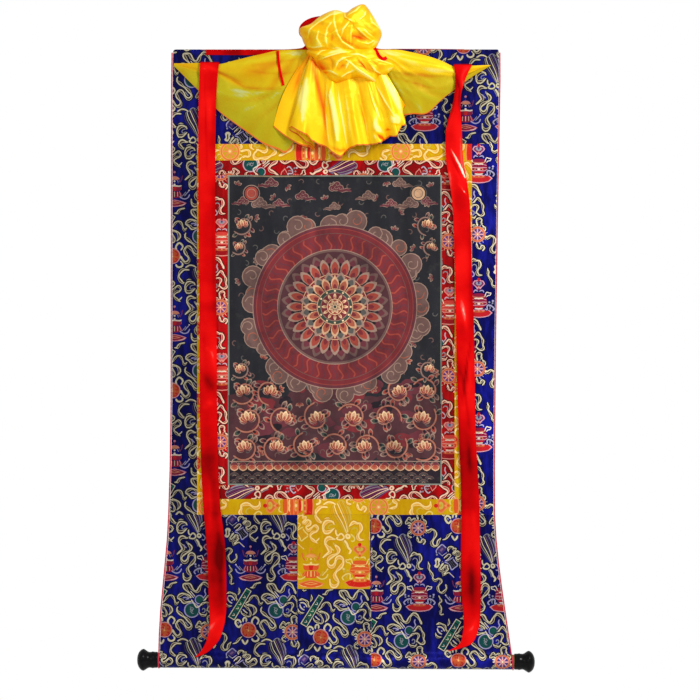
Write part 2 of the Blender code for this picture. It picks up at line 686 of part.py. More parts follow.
def piping(name, side):
    """The cord sewn along a side edge, down the cloth and around the rod."""
    path = []
    for down in [PIPING_START, *side_stations(FIRST_ROW, FLAT_END)[:-1]]:
        left, right = edge_at(down)
        edge = left + PIPING_RADIUS if side < 0 else right - PIPING_RADIUS
        path.append(flat_point(edge, down))
    for step in range(PIPING_STEPS + 1):
        left, right = wrap_edge_at(step / WRAP_STEPS)
        edge = left + PIPING_RADIUS if side < 0 else right - PIPING_RADIUS
        axis = Vector((edge, ROLLER_BACK, -ROLLER_DOWN + ROLLER_TILT * edge))
        spot = wrap_path(edge, step / WRAP_STEPS)
        path.append(spot + (spot - axis).normalized() * PIPING_LIFT)
    item = tube_solid(name, path, PIPING_RADIUS, PIPING_SIDES)
    give_material(item, "piping")


def build_panels():
    """All the brocade, the painting, the door patch and the piping."""
    top_panel()
    side_panel("blue_left", -1, GOLD_LEFT)
    side_panel("blue_right", 1, GOLD_RIGHT)
    lower_panel("blue_lower_left", (None, SEAM_NEAR_DOOR), LOWER_LEFT_COLUMNS)
    lower_panel("blue_lower_middle", (SEAM_NEAR_DOOR, SEAM_UPRIGHT), LOWER_MIDDLE_COLUMNS)
    lower_panel("blue_lower_right", (SEAM_UPRIGHT, None), LOWER_RIGHT_COLUMNS)
    for cut in CUTS:
        build_cut(cut)
    piping("piping_left", -1)
    piping("piping_right", 1)


# ---------------------------------------------------------------- roller
def build_roller():
    """The rod in the cloth's sleeve, with a knob on each of its turned-down ends."""
    shoulder_end = ROD_SHOULDER + SPIGOT_LENGTH
    rod = turned_solid(
        "roller_rod",
        (
            (-shoulder_end, 0),
            (-shoulder_end, SPIGOT_RADIUS),
            (-ROD_SHOULDER, SPIGOT_RADIUS),
            (-ROD_SHOULDER, ROD_RADIUS),
            (ROD_SHOULDER, ROD_RADIUS),
            (ROD_SHOULDER, SPIGOT_RADIUS),
            (shoulder_end, SPIGOT_RADIUS),
            (shoulder_end, 0),
        ),
        1,
    )
    give_material(rod, "rod_wood")
    socket = ((KNOB_FACE + SOCKET_DEPTH, 0), (KNOB_FACE + SOCKET_DEPTH, SOCKET_RADIUS))
    mouth = ((KNOB_FACE, SOCKET_RADIUS),)
    outside = tuple((KNOB_FACE + turn.out, turn.radius) for turn in KNOB_PROFILE)
    for name, direction in (("knob_left", -1), ("knob_right", 1)):
        knob = turned_solid(name, socket + mouth + outside, direction)
        give_material(knob, "black_wood")


# ---------------------------------------------------------------- silk cover
def cloth_front(x, z):
    """The y of the hanging cloth's middle behind a piece that lies in front of it."""
    return ripple(x, -z) if z < 0 else 0.0


def wing_point(rows, along, across):
    """A point of a wing: along from its tip to the middle, across from its top edge to its hem."""
    row = smooth_rows(rows, along)
    profile = (
        Profile(row.top, WING_TOP_OUT),
        Profile(row.top + BAND_SHARE * (row.fold - row.top), row.band_out),
        Profile(row.fold, row.fold_out),
        Profile(row.fold + BELLY_SHARE * (row.hem - row.fold), row.belly_out),
        Profile(row.hem, row.hem_out),
    )
    spot = smooth_rows(profile, across)
    z = -spot.down
    return Vector((row.x, cloth_front(row.x, z) - spot.out, z))


def wing_solid(name, rows):
    """One wing of the silk as a sheet."""
    along_steps, across_steps = WING_STEPS
    grid = []
    for i in range(along_steps + 1):
        grid.append(
            [wing_point(rows, i / along_steps, j / across_steps) for j in range(across_steps + 1)]
        )
    return sheet_solid(name, grid, SILK)


def skirt_point(across, fall):
    """A point of the pleated skirt: across from left to right, fall from the neck to the hem."""
    row = smooth_rows(SKIRT_FOLDS, across)
    x = row.neck_x + (row.hem_x - row.neck_x) * fall
    z = -(row.neck_down + (row.hem_down - row.neck_down) * fall)
    belly = SKIRT_BELLY * math.sin(math.pi * fall)
    out = row.neck_out + (row.hem_out - row.neck_out) * fall**SKIRT_FLARE + belly
    return Vector((x, cloth_front(x, z) - out, z))


def skirt_solid():
    """The skirt as a sheet."""
    across_steps, fall_steps = SKIRT_STEPS
    grid = []
    for i in range(fall_steps + 1):
        grid.append(
            [skirt_point(j / across_steps, i / fall_steps) for j in range(across_steps + 1)]
        )
    return sheet_solid("silk_skirt_part", grid, SILK)


def crease_rise(creases, x, z):
    """What the raised folds add to a bunch at one place."""
    total = 0.0
    for crease in creases:
        run = Vector((crease.x1 - crease.x0, crease.z1 - crease.z0))
        offset = Vector((x - crease.x0, z - crease.z0))
        t = min(max(offset.dot(run) / run.length_squared, 0.0), 1.0)
        distance = (offset - run * t).length
        total += crease.rise * math.exp(-((distance / crease.width) ** 2))
    return total


def bunch_solid(name, bunch, creases):
    """A bunch of gathered silk: a domed front on its outline, and a flat back."""
    centre = Vector((bunch.x, bunch.z))
    points = [Vector((bunch.x, -bunch.out - crease_rise(creases, bunch.x, bunch.z), bunch.z))]
    closed = bunch.outline + bunch.outline[:3]
    loop = []
    for k in range(bunch.steps):
        place = (k / bunch.steps * len(bunch.outline) + 1) / (len(closed) - 1)
        spot = smooth_rows(closed, place)
        loop.append(Vector((spot.x, spot.z)))
    for ring in range(1, bunch.rings + 1):
        reach = ring / bunch.rings
        for corner in loop:
            flat = centre + (corner - centre) * reach
            dome = bunch.rim + (bunch.out - bunch.rim) * math.sqrt(1 - reach**DOME_CURVE)
            rise = crease_rise(creases, flat.x, flat.y) * (1 - reach**CREASE_FADE)
            points.append(Vector((flat.x, -dome - rise, flat.y)))
    front_rim = len(points) - bunch.steps
    back_rim = len(points)
    for corner in loop:
        flat = centre + (corner - centre) * BACK_SHARE
        points.append(Vector((flat.x, -bunch.back, flat.y)))
    back_centre = len(points)
    points.append(Vector((bunch.x, -bunch.back, bunch.z)))
    faces = []
    for k in range(bunch.steps):
        m = (k + 1) % bunch.steps
        faces.append((0, 1 + k, 1 + m))
        for ring in range(bunch.rings - 1):
            a = 1 + ring * bunch.steps
            b = a + bunch.steps
            faces.append((a + k, b + k, b + m, a + m))
        faces.append((front_rim + k, back_rim + k, back_rim + m, front_rim + m))
        faces.append((back_rim + k, back_centre, back_rim + m))
    return new_object(name, points, faces)


def build_silk():
    """The silk cover as one solid: two wings, the skirt and the rosette's two bunches."""
    silk = wing_solid("silk_cover", LEFT_WING)
    parts = (
        wing_solid("silk_right_part", RIGHT_WING),
        skirt_solid(),
        bunch_solid("silk_puff_part", PUFF, PUFF_CREASES),
        bunch_solid("silk_crown_part", CROWN, CROWN_CREASES),
    )
    for part in parts:
        part.hide_render = True
        part.display_type = "WIRE"
        join = silk.modifiers.new(part.name, "BOOLEAN")
        join.operation = "UNION"
        join.solver = "EXACT"
        join.object = part
    give_material(silk, "silk")


# ---------------------------------------------------------------- ribbons, tape and ties
def ribbon_row(x_from, x_to, y, z, cup):
    """One row across a ribbon, cupped forward in the middle."""
    line = []
    for j in range(RIBBON_COLUMNS + 1):
        u = j / RIBBON_COLUMNS
        bulge = cup * (1 - (2 * u - 1) ** 2)
        line.append(Vector((x_from + (x_to - x_from) * u, y - bulge, z)))
    return line


def build_ribbon(name, rows, steps):
    """A ribbon folded over the silk's top edge, its short end behind and its long end in front."""
    first = rows[0]
    middle = 0.5 * (first.left + first.right)
    z_top = -first.down
    behind = cloth_front(middle, z_top) - RIBBON_TUCK_OUT
    front = cloth_front(middle, z_top) - first.out
    grid = [
        ribbon_row(first.left, first.right, behind, z_top - RIBBON_TUCK, 0.0),
        ribbon_row(first.left, first.right, behind, z_top - 1.0, 0.0),
    ]
    radius = 0.5 * (behind - front)
    for step in range(1, RIBBON_BEND_STEPS):
        angle = math.pi * step / RIBBON_BEND_STEPS
        y = behind - radius + radius * math.cos(angle)
        z = z_top + RIBBON_BEND_RISE * math.sin(angle)
        grid.append(ribbon_row(first.left, first.right, y, z, 0.0))
    for step in range(steps + 1):
        row = smooth_rows(rows, step / steps)
        z = -row.down
        y = cloth_front(0.5 * (row.left + row.right), z) - row.out
        grid.append(ribbon_row(row.left, row.right, y, z, row.cup))
    item = sheet_solid(name, grid, RIBBON)
    give_material(item, "ribbon")


def build_strip(name, route, width, thickness, steps):
    """A narrow flat strip whose face looks forward, along a route."""
    path = [Vector(smooth_rows(route, step / steps)) for step in range(steps + 1)]
    grid = []
    for index, centre in enumerate(path):
        ahead = path[min(index + 1, steps)] - path[max(index - 1, 0)]
        across = Vector((0, 1, 0)).cross(ahead).normalized() * width / 2
        grid.append([centre - across, centre + across])
    item = sheet_solid(name, grid, thickness)
    give_material(item, "ribbon")


def build_ribbons():
    """The two long ribbons, the hanging tape and the two ties."""
    build_ribbon("ribbon_left", LEFT_RIBBON, LEFT_RIBBON_STEPS)
    build_ribbon("ribbon_right", RIGHT_RIBBON, RIGHT_RIBBON_STEPS)
    build_strip("hanging_tape", TAPE_ROUTE, TAPE_WIDTH, RIBBON, TAPE_STEPS)
    build_strip("tie_left", LEFT_TIE_ROUTE, TIE_WIDTH, TIE_THICKNESS, TIE_STEPS)
    build_strip("tie_right", RIGHT_TIE_ROUTE, RIGHT_TIE_WIDTH, TIE_THICKNESS, TIE_STEPS)


def main():
    """Build the whole hanging."""
    clear_scene()
    build_panels()
    build_roller()
    build_silk()
    build_ribbons()


main()
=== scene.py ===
"""Thangka scroll painting, dressed: brocade panels with inlaid figures, painted canvas, silk cover,
ribbons, piping and roller, hung on the frame's own shapes."""
import logging
import math
import random
from collections.abc import Sequence
from dataclasses import dataclass, field
from enum import Enum
from functools import cache

import bpy
import bmesh
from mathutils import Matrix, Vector, noise
from mathutils.geometry import delaunay_2d_cdt


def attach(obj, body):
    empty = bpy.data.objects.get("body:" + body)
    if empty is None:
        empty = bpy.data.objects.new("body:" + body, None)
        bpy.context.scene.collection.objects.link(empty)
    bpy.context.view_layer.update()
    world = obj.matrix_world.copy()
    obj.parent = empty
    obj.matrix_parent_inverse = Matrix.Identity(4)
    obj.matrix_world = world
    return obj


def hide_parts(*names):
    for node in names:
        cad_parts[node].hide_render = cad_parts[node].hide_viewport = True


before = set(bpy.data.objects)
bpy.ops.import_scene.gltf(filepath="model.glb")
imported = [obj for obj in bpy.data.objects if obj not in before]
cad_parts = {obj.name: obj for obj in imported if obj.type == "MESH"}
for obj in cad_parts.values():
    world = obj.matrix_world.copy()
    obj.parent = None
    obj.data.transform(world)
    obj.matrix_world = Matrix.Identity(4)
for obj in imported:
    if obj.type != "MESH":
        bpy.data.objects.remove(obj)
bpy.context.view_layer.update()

log = logging.getLogger("thangka")

MM = 0.001
BAKE_UV = "OFBake"  # the flat layout that the colours are laid out on

Point2 = tuple[float, float]
Colour = tuple[float, float, float, float]
WHITE: Colour = (1.0, 1.0, 1.0, 1.0)


# ---------------------------------------------------------------- small helpers
def tint(red: float, green: float, blue: float) -> Colour:
    """Turn an sRGB colour of 0 to 255 channels into a linear one.

    Args:
        red: the red channel.
        green: the green channel.
        blue: the blue channel.

    Returns:
        The linear colour with an alpha of 1.
    """
    values = []
    for channel in (red, green, blue):
        value = channel / 255
        values.append(value / 12.92 if value <= 0.04045 else ((value + 0.055) / 1.055) ** 2.4)
    return (values[0], values[1], values[2], 1.0)


def ease(value: float) -> float:
    """Go smoothly from 0 to 1 as the value does."""
    value = min(max(value, 0.0), 1.0)
    return value * value * (3 - 2 * value)


def smooth_rows(rows: Sequence[tuple], where: float) -> tuple:
    """Read a table of columns at a fraction of its length, on a smooth curve through its rows.

    Args:
        rows: the table, with equal columns in each row.
        where: the fraction, from 0 at the first row to 1 at the last.

    Returns:
        One row, with a value for each column.
    """
    place = min(max(where, 0.0), 1.0) * (len(rows) - 1)
    index = min(int(place), len(rows) - 2)
    t = place - index
    before = rows[max(index - 1, 0)]
    start = rows[index]
    end = rows[index + 1]
    after = rows[min(index + 2, len(rows) - 1)]
    values = []
    for p0, p1, p2, p3 in zip(before, start, end, after):
        slope = 0.5 * (p2 - p0)
        next_slope = 0.5 * (p3 - p1)
        rise = p2 - p1
        curve = (slope + next_slope - 2 * rise) * t + (3 * rise - 2 * slope - next_slope)
        values.append(p1 + t * (slope + t * curve))
    return tuple(values)


def smooth_path(points: Sequence[Point2], step: float) -> list[Point2]:
    """Sample a smooth curve through a few points.

    Args:
        points: the points that the curve goes through.
        step: about how far apart the samples lie.

    Returns:
        The samples, first and last point included.
    """
    if len(points) == 2:
        return list(points)
    samples = []
    last = len(points) - 1
    for index in range(last):
        run = math.dist(points[index], points[index + 1])
        count = max(1, round(run / step))
        for k in range(count):
            samples.append(smooth_rows(points, (index + k / count) / last))
    samples.append(tuple(points[-1]))
    return samples


def noise_at(x: float, y: float, seed: float) -> float:
    """A soft random value from -1 to 1 at a place on a plane."""
    return noise.noise(Vector((x, y, seed)))


def polar(x: float, y: float, reach: float, turn: float) -> Point2:
    """The place at a distance and an angle from a middle."""
    return x + reach * math.cos(turn), y + reach * math.sin(turn)


def ring_of(x: float, y: float, radius: float, sides: int) -> list[Point2]:
    """A round outline."""
    return [polar(x, y, radius, 2 * math.pi * k / sides) for k in range(sides)]


# ---------------------------------------------------------------- how the cloth hangs (mm)
@dataclass(frozen=True)
class Hang:
    """The plane, ripples, side edges and roller that every panel follows."""

    top_seam: float = 176.7
    low_seam: float = 870.1
    upright_seam: float = 65.5
    door_seam: float = -72.4
    gold_sides: Point2 = (-259.9, 254.3)
    red_sides: Point2 = (-228.1, 221.6)
    red_ends: Point2 = (207.6, 840.6)
    picture_sides: Point2 = (-202.0, 197.8)
    picture_ends: Point2 = (235.2, 814.4)
    sleeve_radius: float = 14.1
    roller_down: float = 1143.5
    roller_back: float = 3.0
    roller_tilt: float = -0.0051
    front_fillet: float = 12.0
    back_fillet: float = 8.0
    tail: float = 7.0
    tail_back: float = 1.5
    piping_radius: float = 1.3
    piping_lift: float = 0.8
    edge_inset: float = 3.1
    # the cloth's outer side edges: distance down, left, right
    edges: tuple[tuple[float, float, float], ...] = (
        (0, -307.6, 307.6), (60, -308.6, 307.8), (180, -308.8, 305.6), (300, -309.0, 303.4),
        (420, -309.2, 301.8), (540, -309.4, 299.8), (660, -309.6, 298.6), (780, -311.2, 297.6),
        (870, -314.0, 297.6), (915, -316.4, 300.4), (960, -320.4, 305.0), (1005, -324.6, 310.8),
        (1050, -328.8, 317.4), (1095, -331.4, 324.0), (1122, -332.2, 328.0),
        (1150, -332.5, 331.4), (1170, -332.6, 332.6),
    )

    @property
    def front_rise(self) -> float:
        """How far above the rod's axis the cloth leaves its plane."""
        side = self.front_fillet + self.roller_back
        return math.sqrt((self.front_fillet + self.sleeve_radius) ** 2 - side**2)

    @property
    def back_rise(self) -> float:
        """How far above the rod's axis the turned-up end begins."""
        side = self.tail_back + self.back_fillet - self.roller_back
        return math.sqrt((self.back_fillet + self.sleeve_radius) ** 2 - side**2)

    @property
    def flat_end(self) -> float:
        """How far down the cloth leaves its plane for the rod."""
        return self.roller_down - self.front_rise

    @property
    def wrap_angles(self) -> tuple[float, float, float]:
        """The turn of the front fillet, and where the wrap starts and turns back."""
        front = math.atan2(self.front_rise, self.front_fillet + self.roller_back)
        back = math.atan2(self.back_rise, self.tail_back + self.back_fillet - self.roller_back)
        return front, math.pi - front, back

    @property
    def wrap_lengths(self) -> tuple[float, float, float, float]:
        """The cloth's length along the front fillet, the rod, the back fillet and the tail."""
        front, start, back = self.wrap_angles
        end = 2 * math.pi + back
        return (
            self.front_fillet * front,
            self.sleeve_radius * (end - start),
            self.back_fillet * back,
            self.tail,
        )

    def edge_at(self, down: float) -> Point2:
        """The cloth's outer edges.

        Args:
            down: the distance down from the top edge.

        Returns:
            The left and the right edge.
        """
        rows = self.edges
        down = min(max(down, rows[0][0]), rows[-1][0])
        for upper, lower in zip(rows, rows[1:]):
            if down <= lower[0]:
                break
        t = (down - upper[0]) / (lower[0] - upper[0])
        return upper[1] + t * (lower[1] - upper[1]), upper[2] + t * (lower[2] - upper[2])

    def edge_along(self, along: float) -> Point2:
        """The outer edges on the way around the rod too, as wide behind as in front.

        Args:
            along: the length along the cloth from the top edge.

        Returns:
            The left and the right edge.
        """
        if along <= self.flat_end:
            return self.edge_at(along)
        whole = sum(self.wrap_lengths)
        share = (along - self.flat_end) / whole
        return self.edge_at(self.flat_end + min(share, 1 - share) * whole)

    def ripple(self, x: float, down: float) -> float:
        """How far the hanging cloth swells out of its plane.

        Args:
            x: the place across.
            down: the distance down from the top edge.

        Returns:
            The distance, behind (+) or in front (-).
        """
        fall = min(max(down, 0.0) / (self.flat_end - 12.0), 1.0)
        envelope = math.sin(math.pi * fall)
        broad = 2.2 * math.cos(2 * math.pi * (x - 40) / 330)
        slanting = 1.1 * math.sin(2 * math.pi * (x / 185 + down / 820))
        curl = 3.0 * ease((x - 235) / 70) - 1.8 * ease((-x - 245) / 65)
        return envelope * (broad + slanting + curl)

    def pucker(self, x: float, down: float) -> float:
        """The small soft unevenness of sewn cloth, strongest beside the seams.

        Args:
            x: the place across.
            down: the distance down from the top edge.

        Returns:
            The distance, behind (+) or in front (-).
        """
        fine = noise_at(x / 17, down / 34, 3.1) + 0.6 * noise_at(x / 40, down / 23, 8.4)
        near = 0.0
        for seam in (self.top_seam, self.low_seam, *self.red_ends):
            near = max(near, math.exp(-(((down - seam) / 16) ** 2)))
        for seam in (*self.gold_sides, *self.red_sides):
            if self.top_seam < down < self.low_seam:
                near = max(near, math.exp(-(((x - seam) / 14) ** 2)))
        if down > self.low_seam:
            for seam in (self.upright_seam, self.door_seam):
                near = max(near, math.exp(-(((x - seam) / 14) ** 2)))
        return fine * (0.16 + 0.30 * near)

    def point(self, x: float, along: float, forward: float = 0.0) -> Vector:
        """A point of the cloth's middle, in millimetres.

        Args:
            x: the place across.
            along: the length along the cloth from the top edge, around the rod below.
            forward: how far in front of the cloth the point stands.

        Returns:
            The point, with +Z up and the front facing -Y.
        """
        flat_end = self.flat_end
        if along <= flat_end:
            settle = ease((along - self.low_seam) / (flat_end - 20 - self.low_seam))
            fade = 1 - ease((along - flat_end + 30) / 30)
            y = self.ripple(x, along) + self.pucker(x, along) * fade
            return Vector((x, y - forward, -along + settle * self.roller_tilt * x))
        lengths = self.wrap_lengths
        front, start, back = self.wrap_angles
        axis_z = -self.roller_down + self.roller_tilt * x
        rest = along - flat_end
        if rest <= lengths[0]:
            angle = -rest / self.front_fillet
            y = -self.front_fillet + self.front_fillet * math.cos(angle)
            z = self.front_rise + self.front_fillet * math.sin(angle)
            return Vector((x, y - forward, axis_z + z))
        rest -= lengths[0]
        if rest <= lengths[1]:
            angle = start + rest / self.sleeve_radius
            radius = self.sleeve_radius + forward
            return Vector(
                (x, self.roller_back + radius * math.cos(angle), axis_z + radius * math.sin(angle))
            )
        rest -= lengths[1]
        if rest <= lengths[2]:
            angle = math.pi + back - rest / self.back_fillet
            y = self.tail_back + self.back_fillet + self.back_fillet * math.cos(angle)
            z = self.back_rise + self.back_fillet * math.sin(angle)
            return Vector((x, y, axis_z + z))
        rest -= lengths[2]
        return Vector((x, self.tail_back, axis_z + self.back_rise + rest))


HANG = Hang()


# ---------------------------------------------------------------- threads and figures
class Thread(Enum):
    """The threads that a brocade's figures are woven in."""

    GROUND = "ground"
    CREAM = "cream"
    CORE = "core"
    PALE = "pale"
    GREY = "grey"
    LILAC = "lilac"
    MAUVE = "mauve"
    PURPLE = "purple"
    PLUM = "plum"
    DARK = "dark"
    PINK = "pink"
    ROSE = "rose"
    CRIMSON = "crimson"
    RED = "red"
    SALMON = "salmon"
    ORANGE = "orange"
    GOLD = "gold"
    TEAL = "teal"
    GREEN = "green"


(
    GROUND, CREAM, CORE, PALE, GREY, LILAC, MAUVE, PURPLE, PLUM, DARK, PINK, ROSE, CRIMSON, RED,
    SALMON, ORANGE, GOLD, TEAL, GREEN,
) = Thread


Piece2 = tuple[Thread, list[Point2]]


def ribbon_quads(
    points: Sequence[Point2],
    width: float,
    step: float,
    point_ends: float = 0.6,
    rim: float = 0.0,
    swell: float = 0.0,
    aside: float = 0.0,
) -> list[list[Point2]]:
    """Turn a smooth line into a row of quads, narrowing at its two ends.

    Args:
        points: the points that the line goes through.
        width: its full width.
        step: about how long a quad is.
        point_ends: over how many widths it narrows at each end.
        rim: how much wider it is than that all along.
        swell: how much it swells and narrows on its way, as a share of its width.
        aside: how far to one side it lies, as a share of its width.

    Returns:
        The quads, each as four points.
    """
    path = smooth_path(points, step)
    curl = max(width, 1.0) * 4.4
    length = sum(math.dist(a, b) for a, b in zip(path, path[1:]))
    taper = min(width * point_ends, length * 0.35)
    sides = []
    run = 0.0
    for index, spot in enumerate(path):
        if index:
            run += math.dist(path[index - 1], spot)
        ahead = path[min(index + 1, len(path) - 1)]
        behind = path[max(index - 1, 0)]
        dx, dy = ahead[0] - behind[0], ahead[1] - behind[1]
        size = math.hypot(dx, dy) or 1.0
        end = min(run, length - run) / taper if taper else 1.0
        full = width * (0.3 + 0.7 * math.sqrt(min(max(end, 0.0), 1.0)))
        full *= 1 + swell * math.sin(run / curl * 2 * math.pi + len(points))
        near, far = 0.5 * (full + rim) + aside * full, 0.5 * (full + rim) - aside * full
        nx, ny = -dy / size, dx / size
        left = (spot[0] + nx * near, spot[1] + ny * near)
        sides.append((left, (spot[0] - nx * far, spot[1] - ny * far)))
    return [[a[0], b[0], b[1], a[1]] for a, b in zip(sides, sides[1:])]


EDGING = 22.0  # how far the dark edging shows beside a light thread
SWELL = 0.34  # how much a curling ribbon swells and narrows


@dataclass(frozen=True)
class Line:
    """A line of one thread; the light threads are edged in dark."""

    thread: Thread
    width: float
    points: tuple[Point2, ...]

    def pieces(self) -> list[Piece2]:
        """The line as quads.

        Returns:
            The quads, on a dark edging where the thread is light.
        """
        light = self.thread in (CREAM, LILAC)
        width = self.width * (1.3 if light else 1.1)
        step = max(width * 0.8, 18.0)
        line = [(self.thread, quad) for quad in ribbon_quads(self.points, width, step)]
        if not light or self.width < 18:
            return line
        edging = ribbon_quads(self.points, width + EDGING * 1.4, step * 1.5)
        return [(DARK, quad) for quad in edging] + line


@dataclass(frozen=True)
class Scroll:
    """A curling ribbon: a cream band edged in dark, with a shaded thread along its middle."""

    width: float
    points: tuple[Point2, ...]

    def pieces(self) -> list[Piece2]:
        """The ribbon as quads.

        Returns:
            The dark edging, the band, and the thread that lies in it.
        """
        step = max(self.width * 0.9, 20.0)
        wide = self.width * 1.3
        edging = ribbon_quads(self.points, wide, step, 2.2, EDGING * 2, SWELL)
        band = ribbon_quads(self.points, wide, step, 2.2, 0.0, SWELL)
        core = ribbon_quads(self.points, wide, step, 2.2, -wide * 0.62, SWELL, 0.13)
        return (
            [(DARK, quad) for quad in edging]
            + [(CREAM, quad) for quad in band]
            + [(CORE, quad) for quad in core[2:-1]]
        )


@dataclass(frozen=True)
class Patch:
    """A straight-sided area of one thread."""

    thread: Thread
    points: tuple[Point2, ...]

    def pieces(self) -> list[Piece2]:
        """The area as it is."""
        return [(self.thread, list(self.points))]


@dataclass(frozen=True)
class Round:
    """A soft-sided area of one thread."""

    thread: Thread
    points: tuple[Point2, ...]

    def pieces(self) -> list[Piece2]:
        """The area, with its outline smoothed.

        Returns:
            The one area.
        """
        count = len(self.points)
        closed = self.points + self.points[:3]
        outline = []
        for k in range(count * 2):
            outline.append(smooth_rows(closed, (k / 2 + 1) / (len(closed) - 1)))
        return [(self.thread, outline)]


@dataclass(frozen=True)
class Spot:
    """A round spot of one thread."""

    thread: Thread
    x: float
    y: float
    radius: float

    def pieces(self) -> list[Piece2]:
        """The spot as a polygon, of more sides where it is large."""
        return [(self.thread, ring_of(self.x, self.y, self.radius, 8 if self.radius < 40 else 20))]


@dataclass(frozen=True)
class Motif:
    """One woven figure, charted around its middle in tenths of a millimetre."""

    name: str
    shapes: tuple
    halves: tuple = ()

    def pieces(self) -> list[Piece2]:
        """Every area of the figure.

        Returns:
            The areas, in the order in which they cover each other.
        """
        found = []
        for shape in self.shapes:
            found += shape.pieces()
        for shape in self.halves:
            for thread, outline in shape.pieces():
                found.append((thread, outline))
                found.append((thread, [(-x, y) for x, y in outline]))
        return found


SCROLL = Motif(
    "scroll",
    (
        Scroll(40, ((-177, -75), (-110, -135), (-57, -172), (-85, -235), (-135, -300), (-120, -370),
            (-65, -400), (5, -378), (50, -382))),
        Line(CREAM, 20, ((37, -535), (40, -470), (73, -435), (113, -468), (145, -455), (173, -410),
            (145, -372), (90, -368), (50, -390), (80, -420))),
        Line(CREAM, 26, ((175, -360), (217, -305), (240, -240), (283, -190), (250, -135))),
        Line(GREY, 12, ((145, -355), (195, -270), (207, -220))),
        Line(LILAC, 16, ((-57, -260), (-30, -220), (5, -192))),
        Scroll(37, ((-5, -315), (45, -260), (87, -200), (60, -140), (-10, -108), (-75, -60),
            (-95, 10), (-60, 65), (-10, 65), (25, 10), (45, -60), (100, -88), (157, -45), (150, 30),
            (100, 95), (45, 150), (17, 210), (45, 270), (82, 320), (55, 375), (0, 398), (-50, 355),
            (-60, 270))),
        Spot(GREY, 10, -295, 20),
    ),
)
VASE = Motif(
    "vase",
    (
        Spot(ROSE, 0, -320, 22),
        Line(CRIMSON, 20, ((0, -305), (0, -245))),
        Round(SALMON, ((-92, -185), (-72, -222), (-37, -238), (0, -245), (38, -238), (73, -222),
            (93, -185), (58, -188), (31, -170), (0, -184), (-31, -170), (-57, -188))),
        Line(ROSE, 10, ((-82, -198), (-47, -230), (0, -238), (48, -230), (81, -198))),
        Spot(PALE, 0, -152, 18),
        Patch(CRIMSON, ((-127, -52), (128, -52), (123, 0), (98, 28), (-97, 28), (-122, 0))),
        Patch(RED, ((-37, -52), (38, -52), (25, 28), (-25, 28))),
        Line(PALE, 22, ((-132, -75), (-87, -60), (0, -68), (88, -60), (131, -75))),
        Spot(PALE, 0, -90, 20),
        Round(CRIMSON, ((-107, 50), (0, 40), (108, 50), (143, 130), (0, 160), (-142, 130))),
        Line(CREAM, 30, ((0, 40), (0, 135))),
        Patch(ROSE, ((-217, 250), (-157, 223), (-87, 205), (0, 186), (88, 205), (153, 223),
            (221, 250), (183, 287), (133, 307), (0, 320), (-137, 307), (-187, 287))),
        Patch(CRIMSON, ((-182, 254), (-87, 220), (0, 202), (88, 220), (183, 254), (123, 290),
            (0, 304), (-122, 290))),
        Patch(SALMON, ((-117, 250), (0, 218), (118, 250), (0, 272))),
        Patch(CRIMSON, ((-72, 248), (0, 232), (73, 248), (0, 260))),
    ),
    (
        Line(PLUM, 18, ((-152, -260), (-139, -225), (-129, -180), (-97, -132))),
        Line(PLUM, 10, ((-117, -200), (-115, -240))),
        Line(ROSE, 12, ((-87, -170), (-99, -130))),
        Line(PALE, 16, ((-55, -175), (-69, -122))),
        Line(ROSE, 10, ((-127, -75), (-124, 0))),
        Line(PALE, 24, ((-55, 45), (-59, 130))),
        Line(ROSE, 12, ((-87, 30), (-107, 80), (-127, 135))),
        Line(LILAC, 12, ((-267, 25), (-217, 80), (-182, 120))),
        Line(GREY, 12, ((-212, 40), (-172, 90), (-137, 130))),
        Line(LILAC, 16, ((-279, 90), (-247, 150), (-182, 175), (-122, 152), (-92, 125))),
        Line(DARK, 14, ((-247, 70), (-207, 115), (-167, 145))),
        Spot(PALE, -269, 15, 14),
        Line(PALE, 8, ((-192, 262), (-147, 284), (-72, 302))),
    ),
)
